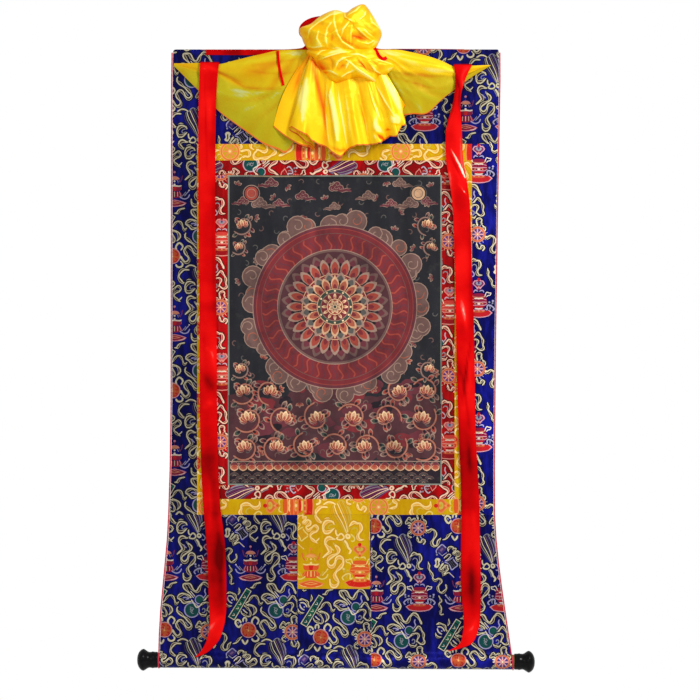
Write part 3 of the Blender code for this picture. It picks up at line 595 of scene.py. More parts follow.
PARASOL = Motif(
    "parasol",
    (
        Round(DARK, ((-162, 2301), (-120, 2236), (-60, 2221), (-20, 2184), (30, 2171), (90, 2216),
            (148, 2296), (185, 2396), (195, 2506), (178, 2646), (140, 2771), (95, 2731), (20, 2616),
            (-70, 2506), (-145, 2406))),
        Line(PURPLE, 11, ((-148, 2301), (-120, 2416), (-20, 2556), (90, 2716))),
        Line(GREY, 11, ((-120, 2256), (-88, 2396), (5, 2546), (102, 2711))),
        Line(CREAM, 11, ((-98, 2241), (-55, 2376), (35, 2536), (112, 2706))),
        Line(PURPLE, 11, ((-68, 2231), (-22, 2356), (62, 2526), (120, 2701))),
        Line(CREAM, 11, ((-44, 2216), (8, 2336), (86, 2516), (128, 2696))),
        Line(MAUVE, 11, ((-20, 2196), (40, 2326), (108, 2506), (136, 2686))),
        Line(PURPLE, 11, ((8, 2184), (70, 2316), (130, 2496), (144, 2676))),
        Line(GREY, 11, ((35, 2184), (98, 2316), (146, 2486), (150, 2666))),
        Line(PURPLE, 11, ((68, 2206), (124, 2326), (162, 2486), (156, 2656))),
        Line(MAUVE, 11, ((98, 2236), (148, 2346), (176, 2486), (162, 2646))),
        Line(GREY, 11, ((125, 2271), (166, 2376), (184, 2496), (166, 2626))),
        Line(GREY, 11, ((-60, 2241), (-20, 2188), (30, 2174), (90, 2218), (148, 2298),
            (185, 2401))),
        Line(CREAM, 18, ((-280, 2246), (-200, 2198), (-130, 2204), (-70, 2241))),
        Line(CORE, 12, ((-240, 2241), (-180, 2221), (-120, 2228))),
        Round(CREAM, ((85, 2736), (120, 2711), (165, 2736), (170, 2781), (130, 2806), (95, 2786))),
        Spot(CORE, 128, 2756, 18),
        Scroll(34, ((-200, -198), (-320, -200), (-382, -130), (-398, -60), (-360, 5), (-305, 48),
            (-255, 25), (-212, -10), (-160, -10))),
        Scroll(38, ((-92, 140), (-140, 185), (-200, 212), (-245, 212), (-276, 150), (-270, 102),
            (-232, 45), (-175, 26), (-115, 42), (-92, 85))),
        Line(GREY, 14, ((-115, 80), (-170, 95), (-190, 135), (-160, 158), (-120, 130))),
        Scroll(33, ((145, 120), (182, 80), (225, 46), (280, 66), (325, 66), (348, 130), (340, 185),
            (302, 240), (290, 292), (325, 332), (390, 330))),
        Line(GREY, 15, ((195, 170), (225, 137), (265, 142), (288, 185), (270, 232))),
        Line(LILAC, 15, ((175, 240), (225, 285), (240, 322), (212, 360), (180, 345))),
    ),
)
BANNER = Motif(
    "banner",
    (
        Patch(PURPLE, ((-209, -161), (-109, -264), (-21, -197), (-112, -91))),
        Line(LILAC, 15, ((-209, -102), (-215, -161), (-165, -220), (-109, -264), (-65, -232),
            (-21, -194))),
        Line(GREY, 13, ((-177, -120), (-124, -73), (-100, -61))),
        Patch(MAUVE, ((-153, -161), (-106, -208), (-82, -185), (-124, -132))),
        Spot(PALE, -182, -235, 27),
        Spot(GREY, -205, -79, 18),
        Line(PALE, 20, ((-112, -55), (-21, -120))),
        Patch(DARK, ((-100, -35), (-6, -108), (53, -61), (-41, 33))),
        Line(PALE, 12, ((-77, -8), (-29, -61), (18, -91), (53, -67), (6, -2), (-53, 39))),
        Line(CREAM, 13, ((-38, -29), (3, -61))),
        Line(LILAC, 13, ((-29, 45), (41, 3), (100, -32))),
        Patch(DARK, ((-29, 50), (100, -8), (179, 106), (79, 198))),
        Line(LILAC, 15, ((-65, 56), (-6, 80), (35, 127), (68, 198), (112, 168), (179, 109),
            (129, 50), (94, -2))),
        Line(GREY, 9, ((18, 45), (106, 156))),
        Line(GREY, 9, ((47, 27), (135, 139))),
        Line(MAUVE, 9, ((73, 12), (159, 115))),
        Round(CREAM, ((-244, 21), (-209, -15), (-162, -11), (-137, 27), (-162, 65), (-150, 98),
            (-182, 156), (-227, 159), (-256, 124), (-227, 83))),
        Line(CORE, 24, ((-191, 21), (-197, 62), (-194, 98), (-212, 127))),
        Line(PALE, 15, ((-153, 115), (-100, 45))),
        Scroll(31, ((-82, 74), (-124, 127), (-156, 186), (-124, 215), (-91, 174), (-53, 121),
            (-18, 127), (-24, 174), (6, 186), (-38, 227), (-88, 262), (-82, 295), (-29, 262),
            (18, 248))),
        Line(PALE, 44, ((18, 248), (112, 336))),
        Line(SALMON, 11, ((41, 268), (94, 318))),
        Scroll(28, ((9, -132), (3, -185), (50, -223), (94, -214), (97, -179), (138, -185),
            (121, -141), (91, -108), (129, -88), (173, -144), (218, -114), (200, -67), (144, -29),
            (185, 30), (221, 3), (262, -38), (303, -50), (341, 0), (315, 48), (265, 56), (221, 95),
            (221, 142), (265, 189), (335, 239))),
        Line(CREAM, 15, ((303, 209), (341, 180), (365, 148))),
        Scroll(27, ((-365, 50), (-350, 121), (-356, 168), (-324, 233), (-282, 303), (-282, 356),
            (-232, 396), (-182, 359), (-138, 374), (-124, 412), (-156, 462), (-188, 515),
            (-177, 574), (-124, 621), (-65, 592), (-27, 533), (-44, 465))),
    ),
)
PAGODA = Motif(
    "pagoda",
    (
        Round(PINK, ((1, -350), (43, -309), (78, -309), (116, -247), (61, -191), (31, -150),
            (1, -138), (-31, -150), (-60, -191), (-116, -247), (-78, -309), (-42, -309))),
        Round(PLUM, ((1, -314), (37, -291), (66, -291), (93, -247), (43, -197), (1, -179),
            (-42, -197), (-92, -247), (-66, -291), (-36, -291))),
        Round(GREY, ((-57, -267), (-28, -285), (1, -267), (28, -285), (58, -267), (43, -232),
            (1, -217), (-42, -232))),
        Spot(PURPLE, 1, -259, 20),
        Spot(SALMON, 1, -191, 16),
        Spot(RED, -1, -329, 31),
        Spot(CRIMSON, 1, -149, 20),
        Line(PINK, 15, ((-75, -138), (-39, -144))),
        Round(CRIMSON, ((-110, -56), (1, -73), (111, -56), (143, 27), (161, 115), (114, 162),
            (84, 209), (1, 221), (-84, 209), (-112, 162), (-159, 115), (-142, 27))),
        Line(SALMON, 14, ((-110, -8), (-51, 0), (1, 3), (52, 0), (111, -8))),
        Line(PALE, 20, ((-86, 27), (-39, 21), (1, 27), (41, 21), (88, 27))),
        Line(PINK, 12, ((-145, 50), (-110, 39), (-86, 36))),
        Line(PINK, 12, ((146, 50), (111, 39), (88, 36))),
        Line(PINK, 13, ((-151, 92), (-86, 89), (1, 93), (88, 89), (152, 92))),
        Line(SALMON, 24, ((-86, 121), (-39, 115), (41, 115), (88, 121))),
        Spot(PALE, 2, 124, 22),
        Spot(DARK, -45, 121, 13),
        Spot(DARK, 46, 121, 13),
        Line(PINK, 12, ((-157, 115), (-110, 147), (1, 144), (111, 147), (158, 115))),
        Line(RED, 24, ((-81, 171), (1, 180), (82, 171))),
        Line(PALE, 18, ((-75, 206), (1, 212), (76, 206))),
        Patch(PINK, ((-257, 286), (-186, 250), (-110, 230), (1, 224), (111, 230), (190, 233),
            (258, 286), (190, 347), (102, 371), (1, 380), (-110, 371), (-186, 353))),
        Patch(RED, ((-231, 286), (-181, 262), (-110, 244), (1, 239), (111, 244), (181, 247),
            (231, 286), (181, 336), (102, 355), (1, 363), (-110, 355), (-181, 340))),
        Line(ORANGE, 27, ((-116, 259), (1, 268), (117, 259))),
        Spot(SALMON, 1, 250, 16),
    ),
    (
        Line(LILAC, 15, ((-95, -85), (-81, -120), (-51, -126), (-10, -108))),
        Spot(DARK, -34, -97, 15),
        Spot(SALMON, -81, 253, 14),
        Line(CRIMSON, 15, ((-181, 309), (-145, 280))),
        Line(CRIMSON, 15, ((-110, 339), (-81, 309))),
        Line(PALE, 15, ((-110, -8), (-145, -91), (-192, -79), (-228, -79), (-210, -38), (-169, -32),
            (-142, 0))),
        Line(LILAC, 18, ((-116, 209), (-157, 233), (-157, 156), (-192, 144), (-239, 162),
            (-287, 209), (-257, 253))),
        Line(GREY, 13, ((-204, 227), (-216, 180), (-186, 168))),
        Spot(LILAC, -263, 68, 20),
        Spot(GREY, -258, 109, 16),
        Spot(GREY, -198, 92, 18),
        Line(GREY, 11, ((-251, 121), (-222, 147))),
    ),
)
GOURD = Motif(
    "gourd",
    (
        Scroll(37, ((-50, -200), (-110, -265), (-168, -340), (-184, -395), (-135, -410),
            (-78, -395), (-45, -335), (5, -280), (45, -258), (90, -295), (118, -365), (180, -425),
            (248, -390), (305, -300), (335, -230))),
        Scroll(34, ((-45, -79), (-110, -69), (-180, -59), (-222, -104), (-290, -139), (-270, -184),
            (-190, -222), (-118, -198), (-45, -146))),
        Line(LILAC, 16, ((-200, -144), (-150, -154), (-90, -134), (-150, -119))),
        Line(PALE, 14, ((-100, -264), (-50, -204), (0, -144))),
        Line(PALE, 14, ((-60, -274), (-15, -219), (25, -169))),
        Spot(LILAC, 105, -114, 86),
        Spot(TEAL, 105, -114, 70),
        Spot(LILAC, -35, 81, 145),
        Spot(TEAL, -35, 81, 124),
        Line(PALE, 20, ((-45, -114), (0, -44), (50, 28), (110, 6), (145, -24))),
        Line(GREY, 13, ((-75, 21), (-45, 36), (-65, 71), (-20, 86), (-45, 131), (0, 146))),
        Line(GREY, 12, ((-30, 26), (-5, 66), (-45, 86), (-70, 121))),
        Line(GREEN, 12, ((70, -134), (110, -144), (140, -104))),
        Line(LILAC, 17, ((175, -144), (222, -202), (202, -269), (215, -324))),
        Scroll(26, ((115, -2), (172, -46), (240, -62), (280, -19), (255, 51), (240, 101))),
        Line(GREY, 16, ((155, 81), (175, 46), (210, 71), (195, 121), (150, 126))),
        Scroll(26, ((100, 121), (135, 168), (210, 178), (245, 131))),
        Scroll(27, ((195, -99), (272, -186), (325, -129), (368, -49), (370, 36), (382, 106),
            (320, 136), (255, 86))),
    ),
)
FLUTE = Motif(
    "flute",
    (
        Scroll(24, ((-237, -114), (-190, -138), (-131, -126), (-75, -85), (-54, -14), (10, 62))),
        Line(CREAM, 16, ((-219, -70), (-160, -76), (-113, -44), (-84, 9))),
        Line(CREAM, 16, ((-219, -50), (-207, 3), (-172, 41), (-131, 62))),
        Spot(LILAC, -137, 3, 16),
        Scroll(25, ((-254, 33), (-237, 86), (-207, 115), (-137, 112))),
        Scroll(24, ((51, 91), (104, 115), (157, 156), (200, 215), (199, 280), (169, 309),
            (104, 280), (43, 247), (28, 200))),
        Line(CREAM, 16, ((63, 171), (107, 215), (151, 247))),
        Scroll(36, ((110, 62), (169, 91), (234, 103), (281, 144), (296, 203), (272, 256),
            (243, 283))),
        Scroll(25, ((116, 59), (169, 21), (210, -38), (257, -82), (310, -70), (349, -9), (381, 80),
            (434, 33))),
        Scroll(22, ((-10, -226), (0, -173), (-10, -129), (-28, -91))),
        Patch(DARK, ((-87, 404), (245, -175), (125, -248), (-231, 317))),
        Patch(PALE, ((-92, 380), (224, -167), (128, -225), (-208, 310))),
        Patch(TEAL, ((-97, 361), (-21, 231), (-110, 178), (-189, 305))),
        Patch(DARK, ((-19, 232), (-11, 219), (-103, 163), (-111, 176))),
        Patch(GREEN, ((-12, 218), (88, 46), (4, -5), (-102, 163))),
        Patch(DARK, ((88, 46), (97, 33), (11, -19), (3, -5))),
        Patch(TEAL, ((95, 32), (173, -102), (94, -149), (13, -18))),
        Patch(DARK, ((173, -102), (181, -115), (102, -163), (94, -149))),
        Patch(GREEN, ((180, -116), (207, -163), (132, -208), (103, -162))),
        Line(PALE, 11, ((-139, 284), (-90, 285), (-106, 245))),
        Line(PALE, 11, ((-64, 159), (-16, 161), (-31, 121))),
        Line(PALE, 11, ((-18, 84), (30, 85), (14, 45))),
        Line(PALE, 11, ((60, -46), (108, -45), (93, -85))),
    ),
)
DISC = Motif(
    "disc",
    (
        Line(CREAM, 25, ((80, -105), (60, -160), (90, -218), (128, -240), (180, -200), (186, -150),
            (150, -105))),
        Line(CREAM, 23, ((-98, -145), (-100, -198), (-65, -234), (-38, -198), (-45, -150))),
        Line(CREAM, 26, ((-125, -110), (-178, -52), (-228, -98), (-242, -152), (-208, -190),
            (-158, -170), (-140, -125))),
        Line(LILAC, 13, ((-180, -110), (-202, -135), (-180, -150))),
        Line(CREAM, 25, ((62, 150), (80, 192), (130, 208), (180, 182), (182, 120), (142, 98))),
        Line(CREAM, 25, ((-122, 170), (-100, 215), (-65, 258), (-28, 220), (-12, 175))),
        Line(CORE, 13, ((-90, 190), (-65, 220), (-45, 190))),
        Scroll(27, ((-120, 120), (-188, 180), (-232, 238), (-290, 252))),
        Scroll(34, ((-622, 55), (-555, 102), (-500, 62), (-440, 82), (-418, 160), (-455, 240),
            (-490, 315), (-450, 370), (-390, 352), (-368, 280), (-320, 220))),
        Scroll(34, ((142, -5), (190, 75), (242, 122), (298, 90), (295, 28), (250, -35), (220, -105),
            (252, -164), (306, -170), (362, -105), (405, -38), (452, -18), (496, -60), (485, -112),
            (430, -185), (358, -242), (286, -302), (232, -348), (228, -390), (247, -428))),
        Line(GREY, 15, ((378, -150), (410, -110), (440, -70))),
        Spot(PINK, 0, 0, 146),
        Spot(ORANGE, 0, 0, 130),
        Line(RED, 20, ((-80, -70), (-40, -100), (0, -70), (-25, -30), (-75, -40))),
        Line(RED, 20, ((40, -90), (90, -60), (95, -10), (50, -20))),
        Line(RED, 20, ((40, 50), (85, 60), (60, 110), (25, 90))),
        Line(RED, 20, ((-90, 20), (-100, 70), (-55, 110), (-25, 70))),
        Line(SALMON, 11, ((0, -70), (0, -10), (-50, -20))),
        Line(SALMON, 11, ((0, 0), (60, 20))),
        Line(SALMON, 11, ((-15, 20), (-10, 110))),
        Spot(GOLD, -2, 12, 17),
    ),
)
WHEEL = Motif(
    "wheel",
    (
        Scroll(24, ((-97, -50), (-163, -95), (-217, -78), (-209, -130), (-160, -180), (-125, -138),
            (-70, -165), (-10, -140))),
        Scroll(25, ((7, -150), (-15, -235), (-3, -272), (53, -285), (85, -258), (73, -218),
            (95, -170))),
        Scroll(25, ((85, -170), (135, -118), (137, -60), (95, -40))),
        Line(PALE, 20, ((-185, -45), (-115, -18), (-175, 12))),
        Scroll(25, ((-87, 50), (-150, 85), (-187, 122), (-163, 172), (-110, 175))),
        Scroll(26, ((-15, 165), (7, 252), (57, 268), (95, 220), (137, 250), (97, 310))),
        Line(GREY, 14, ((35, 165), (75, 195), (55, 230))),
        *(
            Line(CREAM, 15, ((5 + 142 * c, 5 + 142 * s), (5 + 186 * c, 5 + 186 * s)))
            for c, s in ((math.cos(0.37 * k + 0.2), math.sin(0.37 * k + 0.2)) for k in range(17))
        ),
        Spot(SALMON, 5, 5, 148),
        Spot(ORANGE, 5, 5, 134),
        Spot(SALMON, 5, 5, 116),
        Spot(PURPLE, 5, 5, 104),
        *(
            Line(PINK, 22, ((5 - 112 * c, 5 - 112 * s), (5, 5), (5 + 112 * c, 5 + 112 * s)))
            for c, s in ((math.cos(k * math.pi / 4), math.sin(k * math.pi / 4)) for k in range(4))
        ),
        Spot(SALMON, 5, 5, 34),
        Spot(CREAM, 5, 5, 16),
    ),
)
WISPS = Motif(
    "wisps",
    (
        Scroll(30, ((-100, 48), (-42, 45), (-15, 0), (20, -28), (98, -45))),
        Scroll(22, ((-492, -370), (-463, -311), (-445, -267), (-487, -217), (-463, -170),
            (-439, -123), (-463, -53), (-445, -14), (-398, -32))),
    ),
)


class Turn(Enum):
    """Which way up a cloth was cut."""

    UPRIGHT = "upright"
    CLOCKWISE = "clockwise"
    COUNTER = "counter"


CHART_MM = 0.10136  # one chart unit
CELL_WIDE = 1550.0
CELL_TALL = 2481.0


@dataclass(frozen=True)
class Repeat:
    """The figures of one woven repeat, each with the place of its middle in the cell."""

    figures: tuple[tuple[Motif, float, float], ...]

    def pieces_over(self, reach: tuple[float, float, float, float], lay: "Lay") -> list[Piece2]:
        """Every area of the figures that touches a rectangle of cloth.

        Args:
            reach: the rectangle's left, right, top and bottom, in millimetres.
            lay: how the repeat is laid on the cloth.

        Returns:
            The areas in millimetres across and along the cloth.
        """
        corners = [lay.to_chart(x, y) for x in reach[:2] for y in reach[2:]]
        low_i = math.floor(min(c[0] for c in corners) / CELL_WIDE) - 1
        high_i = math.ceil(max(c[0] for c in corners) / CELL_WIDE) + 1
        low_j = math.floor(min(c[1] for c in corners) / CELL_TALL) - 1
        high_j = math.ceil(max(c[1] for c in corners) / CELL_TALL) + 1
        found = []
        for motif, cx, cy in self.figures:
            shapes = motif.pieces()
            for i in range(low_i, high_i + 1):
                for j in range(low_j, high_j + 1):
                    dx, dy = cx + i * CELL_WIDE, cy + j * CELL_TALL
                    for thread, outline in shapes:
                        placed = [lay.to_cloth(x + dx, y + dy) for x, y in outline]
                        xs = [p[0] for p in placed]
                        ys = [p[1] for p in placed]
                        if max(xs) < reach[0] or min(xs) > reach[1]:
                            continue
                        if max(ys) < reach[2] or min(ys) > reach[3]:
                            continue
                        found.append((thread, placed))
        return found


@dataclass(frozen=True)
class Lay:
    """Where a repeat's own corner lies on the cloth, its turn and its scale."""

    x: float
    down: float
    turn: Turn = Turn.UPRIGHT
    scale: float = 1.0

    def to_cloth(self, cx: float, cy: float) -> Point2:
        """Take a place on the chart to the cloth.

        Args:
            cx: the place across the chart.
            cy: the place down the chart.

        Returns:
            The millimetres across and along the cloth.
        """
        size = CHART_MM * self.scale
        if self.turn is Turn.CLOCKWISE:
            cx, cy = -cy, cx
        elif self.turn is Turn.COUNTER:
            cx, cy = cy, -cx
        return self.x + cx * size, self.down + cy * size

    def to_chart(self, x: float, down: float) -> Point2:
        """Take a place on the cloth to the chart.

        Args:
            x: the millimetres across.
            down: the millimetres along the cloth.

        Returns:
            The place across and down the chart.
        """
        size = CHART_MM * self.scale
        cx, cy = (x - self.x) / size, (down - self.down) / size
        if self.turn is Turn.CLOCKWISE:
            return cy, -cx
        if self.turn is Turn.COUNTER:
            return -cy, cx
        return cx, cy


AUSPICIOUS = Repeat(
    (
        (WISPS, 380, 1350),
        (SCROLL, 655, 860),
        (PARASOL, 760, 160),
        (BANNER, 60, 310),
        (GOURD, 790, 1740),
        (FLUTE, 82, 1630),
        (DISC, 250, 2186),
        (WHEEL, 1055, 2216),
        (PAGODA, 1083, 900),
        (VASE, 287, 960),
    )
)


# ---------------------------------------------------------------- inlaid sheets
def inside(spot: Point2, outline: Sequence[Point2]) -> bool:
    """Tell whether a point lies inside a polygon.

    Args:
        spot: the point.
        outline: the polygon's corners.

    Returns:
        Whether it does.
    """
    x, y = spot
    found = False
    ax, ay = outline[-1]
    for bx, by in outline:
        if (ay > y) != (by > y) and x < (bx - ax) * (y - ay) / (by - ay) + ax:
            found = not found
        ax, ay = bx, by
    return found


class Cover:
    """Finds which of many polygons lies on top at a place, with the polygons sorted into bins."""

    BIN = 6.0  # mm

    def __init__(self, pieces: list[tuple[Enum, list[Point2]]], ground: Enum) -> None:
        """Sort the polygons into bins.

        Args:
            pieces: the colours and polygons, each above those before it.
            ground: the colour where there is none.
        """
        self.pieces = pieces
        self.ground = ground
        self.bins: dict[tuple[int, int], list[int]] = {}
        for index, (_, shape) in enumerate(pieces):
            xs = [p[0] for p in shape]
            ys = [p[1] for p in shape]
            for i in range(int(min(xs) // self.BIN), int(max(xs) // self.BIN) + 1):
                for j in range(int(min(ys) // self.BIN), int(max(ys) // self.BIN) + 1):
                    self.bins.setdefault((i, j), []).append(index)

    def top(self, spot: Point2) -> Enum:
        """Find the colour that shows at a place.

        Args:
            spot: the place.

        Returns:
            The colour of the polygon on top, or the ground's.
        """
        key = (int(spot[0] // self.BIN), int(spot[1] // self.BIN))
        for index in reversed(self.bins.get(key, ())):
            colour, shape = self.pieces[index]
            if inside(spot, shape):
                return colour
        return self.ground


@dataclass
class Inlay:
    """A flat-cut piece of cloth with areas let into it, as triangles on a plane."""

    outline: list[Point2]
    pieces: list[tuple[Enum, list[Point2]]]
    spots: list[Point2]  # more points, so that the sheet can bend
    ground: Enum = GROUND

    def triangles(self) -> tuple[list[Point2], list[tuple[int, int, int]], list[Enum]]:
        """Cut the sheet along every outline.

        Returns:
            The points, the triangles inside the sheet, and the colour that shows on each.
        """
        coords: list[Point2] = []
        edges: list[tuple[int, int]] = []
        for shape in [self.outline] + [shape for _, shape in self.pieces]:
            first = len(coords)
            coords += shape
            count = len(shape)
            edges += [(first + k, first + (k + 1) % count) for k in range(count)]
        coords += self.spots
        points, _, cut, _, _, _ = delaunay_2d_cdt(
            [Vector(p) for p in coords], edges, [], 0, 1e-3, False
        )
        cover = Cover(self.pieces, self.ground)
        kept = []
        shown = []
        for a, b, c in cut:
            spot = (points[a] + points[b] + points[c]) / 3
            if inside(spot, self.outline):
                kept.append((a, b, c))
                shown.append(cover.top(spot))
        return [tuple(p) for p in points], kept, shown


# ---------------------------------------------------------------- shader helpers
class Wiring:
    """Places nodes in one tree and joins them."""

    def __init__(self, tree: bpy.types.NodeTree) -> None:
        """Start on a tree.

        Args:
            tree: the node tree to fill.
        """
        self.tree = tree

    def add(self, kind: str, settings: dict | None = None, **inputs: object) -> bpy.types.Node:
        """Add a node.

        Args:
            kind: the node's type, without the leading ShaderNode.
            settings: properties of the node itself.
            inputs: sockets by name, underscores for spaces, as a value or a socket to join.

        Returns:
            The node.
        """
        known = kind if kind.startswith("NodeGroup") else "ShaderNode" + kind
        node = self.tree.nodes.new(known)
        for key, value in (settings or {}).items():
            setattr(node, key, value)
        self.feed_all(node, inputs)
        return node

    def feed(self, socket: bpy.types.NodeSocket, value: object) -> None:
        """Set a socket to a value, or join another socket to it.

        Args:
            socket: the input socket.
            value: the value, or the output socket to join.
        """
        if isinstance(value, bpy.types.NodeSocket):
            self.tree.links.new(value, socket)
        else:
            socket.default_value = value

    def feed_all(self, node: bpy.types.Node, inputs: dict[str, object]) -> None:
        """Feed a node's sockets, given by name with underscores for spaces."""
        for key, value in inputs.items():
            self.feed(node.inputs[key.replace("_", " ")], value)

    def math(
        self, kind: str, first: object, second: object = 0.0, third: object = 0.0
    ) -> bpy.types.NodeSocket:
        """Work something out of up to three numbers.

        Args:
            kind: the Math node's operation.
            first: a value or a socket.
            second: a value or a socket.
            third: a value or a socket.

        Returns:
            The result's socket.
        """
        node = self.add("Math", {"operation": kind})
        for socket, value in zip(node.inputs, (first, second, third)):
            self.feed(socket, value)
        return node.outputs[0]

    def mix(
        self, share: object, first: object, second: object, how: str = "MIX"
    ) -> bpy.types.NodeSocket:
        """Mix two colours.

        Args:
            share: how much of the second one there is.
            first: the lower colour.
            second: the upper colour.
            how: the blend type.

        Returns:
            The mixed colour's socket.
        """
        node = self.add("Mix", {"data_type": "RGBA", "blend_type": how})
        for index, value in ((0, share), (6, first), (7, second)):
            self.feed(node.inputs[index], value)
        return node.outputs[2]

    def group(self, tree: bpy.types.NodeTree, **inputs: object) -> bpy.types.Node:
        """Place a node group, and feed its sockets as add does."""
        return self.add("Group", {"node_tree": tree}, **inputs)

    def place(self) -> bpy.types.NodeSocket:
        """The place on the object itself, in metres."""
        return self.add("TexCoord").outputs["Object"]

    def noise(self, **inputs: object) -> bpy.types.NodeSocket:
        """The value of a noise texture, its sockets fed as add does."""
        return self.add("TexNoise", **inputs).outputs[0]

    def clamp(self, value: object) -> bpy.types.NodeSocket:
        """A number kept from 0 to 1."""
        return self.add("Clamp", Value=value).outputs[0]

    def toned(self, colour: object, shade: object) -> bpy.types.NodeSocket:
        """A colour made lighter or darker by one number."""
        grey = self.add("CombineColor", Red=shade, Green=shade, Blue=shade).outputs[0]
        return self.mix(1.0, colour, grey, "MULTIPLY")


class Surface(Wiring):
    """The wiring of a new material around its one shader."""

    def __init__(self, name: str) -> None:
        """Start a material.

        Args:
            name: the material's name.
        """
        self.material = bpy.data.materials.new(name)
        self.material.use_nodes = True
        super().__init__(self.material.node_tree)
        self.shader = self.tree.nodes["Principled BSDF"]

    def dress(self, **inputs: object) -> None:
        """Set or join the shader's sockets, underscores for spaces."""
        self.feed_all(self.shader, inputs)

    def carried(self, name: str, output: str) -> bpy.types.NodeSocket:
        """A value or colour that the mesh itself carries."""
        return self.add("Attribute", {"attribute_name": name}).outputs[output]

    def raise_by(self, strength: float, distance: float, height: bpy.types.NodeSocket) -> None:
        """Raise and lower the surface.

        Args:
            strength: how strongly.
            distance: how far a height of 1 is, in metres.
            height: the height.
        """
        bump = self.add("Bump", Strength=strength, Distance=distance, Height=height)
        self.dress(Normal=bump.outputs[0])


def new_group(name: str, inputs: dict[str, float], outputs: Sequence[str]) -> tuple:
    """Start a shader node group.

    Args:
        name: the group's name.
        inputs: its number inputs, with what they start at.
        outputs: its number outputs.

    Returns:
        The tree, its wiring, its input sockets and its output sockets.
    """
    tree = bpy.data.node_groups.new(name, "ShaderNodeTree")
    for key, value in inputs.items():
        socket = tree.interface.new_socket(key, in_out="INPUT", socket_type="NodeSocketFloat")
        socket.default_value = value
    for key in outputs:
        tree.interface.new_socket(key, in_out="OUTPUT", socket_type="NodeSocketFloat")
    wiring = Wiring(tree)
    start = wiring.add("NodeGroupInput").outputs
    end = wiring.add("NodeGroupOutput").inputs
    return tree, wiring, start, end


@cache
def weave_group() -> bpy.types.NodeTree:
    """Crossing threads, with a few thicker ones.

    Returns:
        The group: threads per metre in, thread height and thread shade out.
    """
    tree, w, start, end = new_group(
        "crossing_threads", {"Threads": 1200.0, "Float": 0.5}, ("Height", "Shade")
    )
    place = w.place()
    split = w.add("SeparateXYZ", Vector=place)
    turn = w.math("MULTIPLY", start["Threads"], 2 * math.pi)
    weft = w.math("SINE", w.math("MULTIPLY", split.outputs["Z"], turn))
    warp = w.math("SINE", w.math("MULTIPLY", split.outputs["X"], turn))
    both = w.math("MAXIMUM", warp, w.math("MULTIPLY", weft, start["Float"]))
    slub = w.noise(Vector=place, Scale=260.0, Detail=2.0)
    height = w.math("MULTIPLY_ADD", both, 0.35, w.math("MULTIPLY", slub, 0.5))
    w.feed(end["Height"], height)
    w.feed(end["Shade"], w.math("MULTIPLY_ADD", height, 0.16, 0.90))
    return tree


@cache
def streak_group() -> bpy.types.NodeTree:
    """Long soft streaks of lighter and darker colour: painted sheen and shade on the satin, stains
    on the canvas.

    Returns:
        The group: streak size and strength in, a shade around 1 out.
    """
    tree, w, start, end = new_group(
        "hanging_streaks", {"Size": 9.0, "Strength": 0.2}, ("Shade",)
    )
    long = w.add("Mapping", Vector=w.place(), Scale=(1.0, 1.0, 0.28)).outputs[0]
    broad = w.noise(Vector=long, Scale=start["Size"], Detail=3.0)
    centred = w.math("SUBTRACT", broad, 0.5)
    w.feed(end["Shade"], w.math("MULTIPLY_ADD", centred, start["Strength"], 1.0))
    return tree


@cache
def wear_group() -> bpy.types.NodeTree:
    """Rubbed and soiled patches.

    Returns:
        The group: patch size and amount in, a mask from 0 to 1 out.
    """
    tree, w, start, end = new_group("rubbed_patches", {"Size": 30.0, "Amount": 0.5}, ("Mask",))
    broad = w.noise(Vector=w.place(), Scale=start["Size"], Detail=6.0, Roughness=0.7)
    high = w.math("SUBTRACT", broad, w.math("SUBTRACT", 1.0, start["Amount"]))
    w.feed(end["Mask"], w.clamp(w.math("MULTIPLY", high, 6.0)))
    return tree


@dataclass(frozen=True)
class Woven:
    """A woven finish with inlaid colours, whose ground has painted sheen and painted shade in soft
    patches.
    """

    name: str
    deep: Colour  # what the ground is shaded with where it turns from the light
    patches: float = 1.0  # how strongly the ground is shaded
    gloom: float = 1.2  # how much of the ground is shaded
    threads: float = 1250.0
    rough: Point2 = (0.36, 0.5)  # of the ground and of the figures
    shine: Point2 = (0.45, 0.12)  # of the ground and of the figures
    bump: float = 0.4

    def make(self) -> bpy.types.Material:
        """Build the material.

        Returns:
            The material.
        """
        s = Surface(self.name)
        thread = s.carried("thread", "Color")
        figure = s.carried("figure", "Fac")
        weave = s.group(weave_group(), Threads=self.threads, Float=0.7)
        # painted shade: the ground's colour is darkened towards deep in soft streaky patches,
        # leaving lighter painted sheen between, less on the figures
        patch = s.group(streak_group(), Size=18.0, Strength=3.6).outputs["Shade"]
        small = s.group(streak_group(), Size=130.0, Strength=5.0).outputs["Shade"]
        lit = s.math("MULTIPLY_ADD", small, 0.5, s.math("SUBTRACT", patch, self.gloom))
        dark = s.math("MULTIPLY", s.math("SUBTRACT", 1.0, s.clamp(lit)), self.patches)
        quiet = s.math("MULTIPLY", dark, s.math("MULTIPLY_ADD", figure, -0.68, 1.0))
        shaded = s.mix(quiet, thread, self.deep, "MULTIPLY")
        s.dress(Base_Color=s.toned(shaded, weave.outputs["Shade"]))
        for socket, (ground, over) in (("Roughness", self.rough), ("Metallic", self.shine)):
            s.dress(**{socket: s.math("MULTIPLY_ADD", figure, over - ground, ground)})
        raised = s.math("MULTIPLY_ADD", figure, 0.6, weave.outputs["Height"])
        s.raise_by(self.bump, 0.0003, raised)
        s.dress(Specular_IOR_Level=0.12)
        return s.material


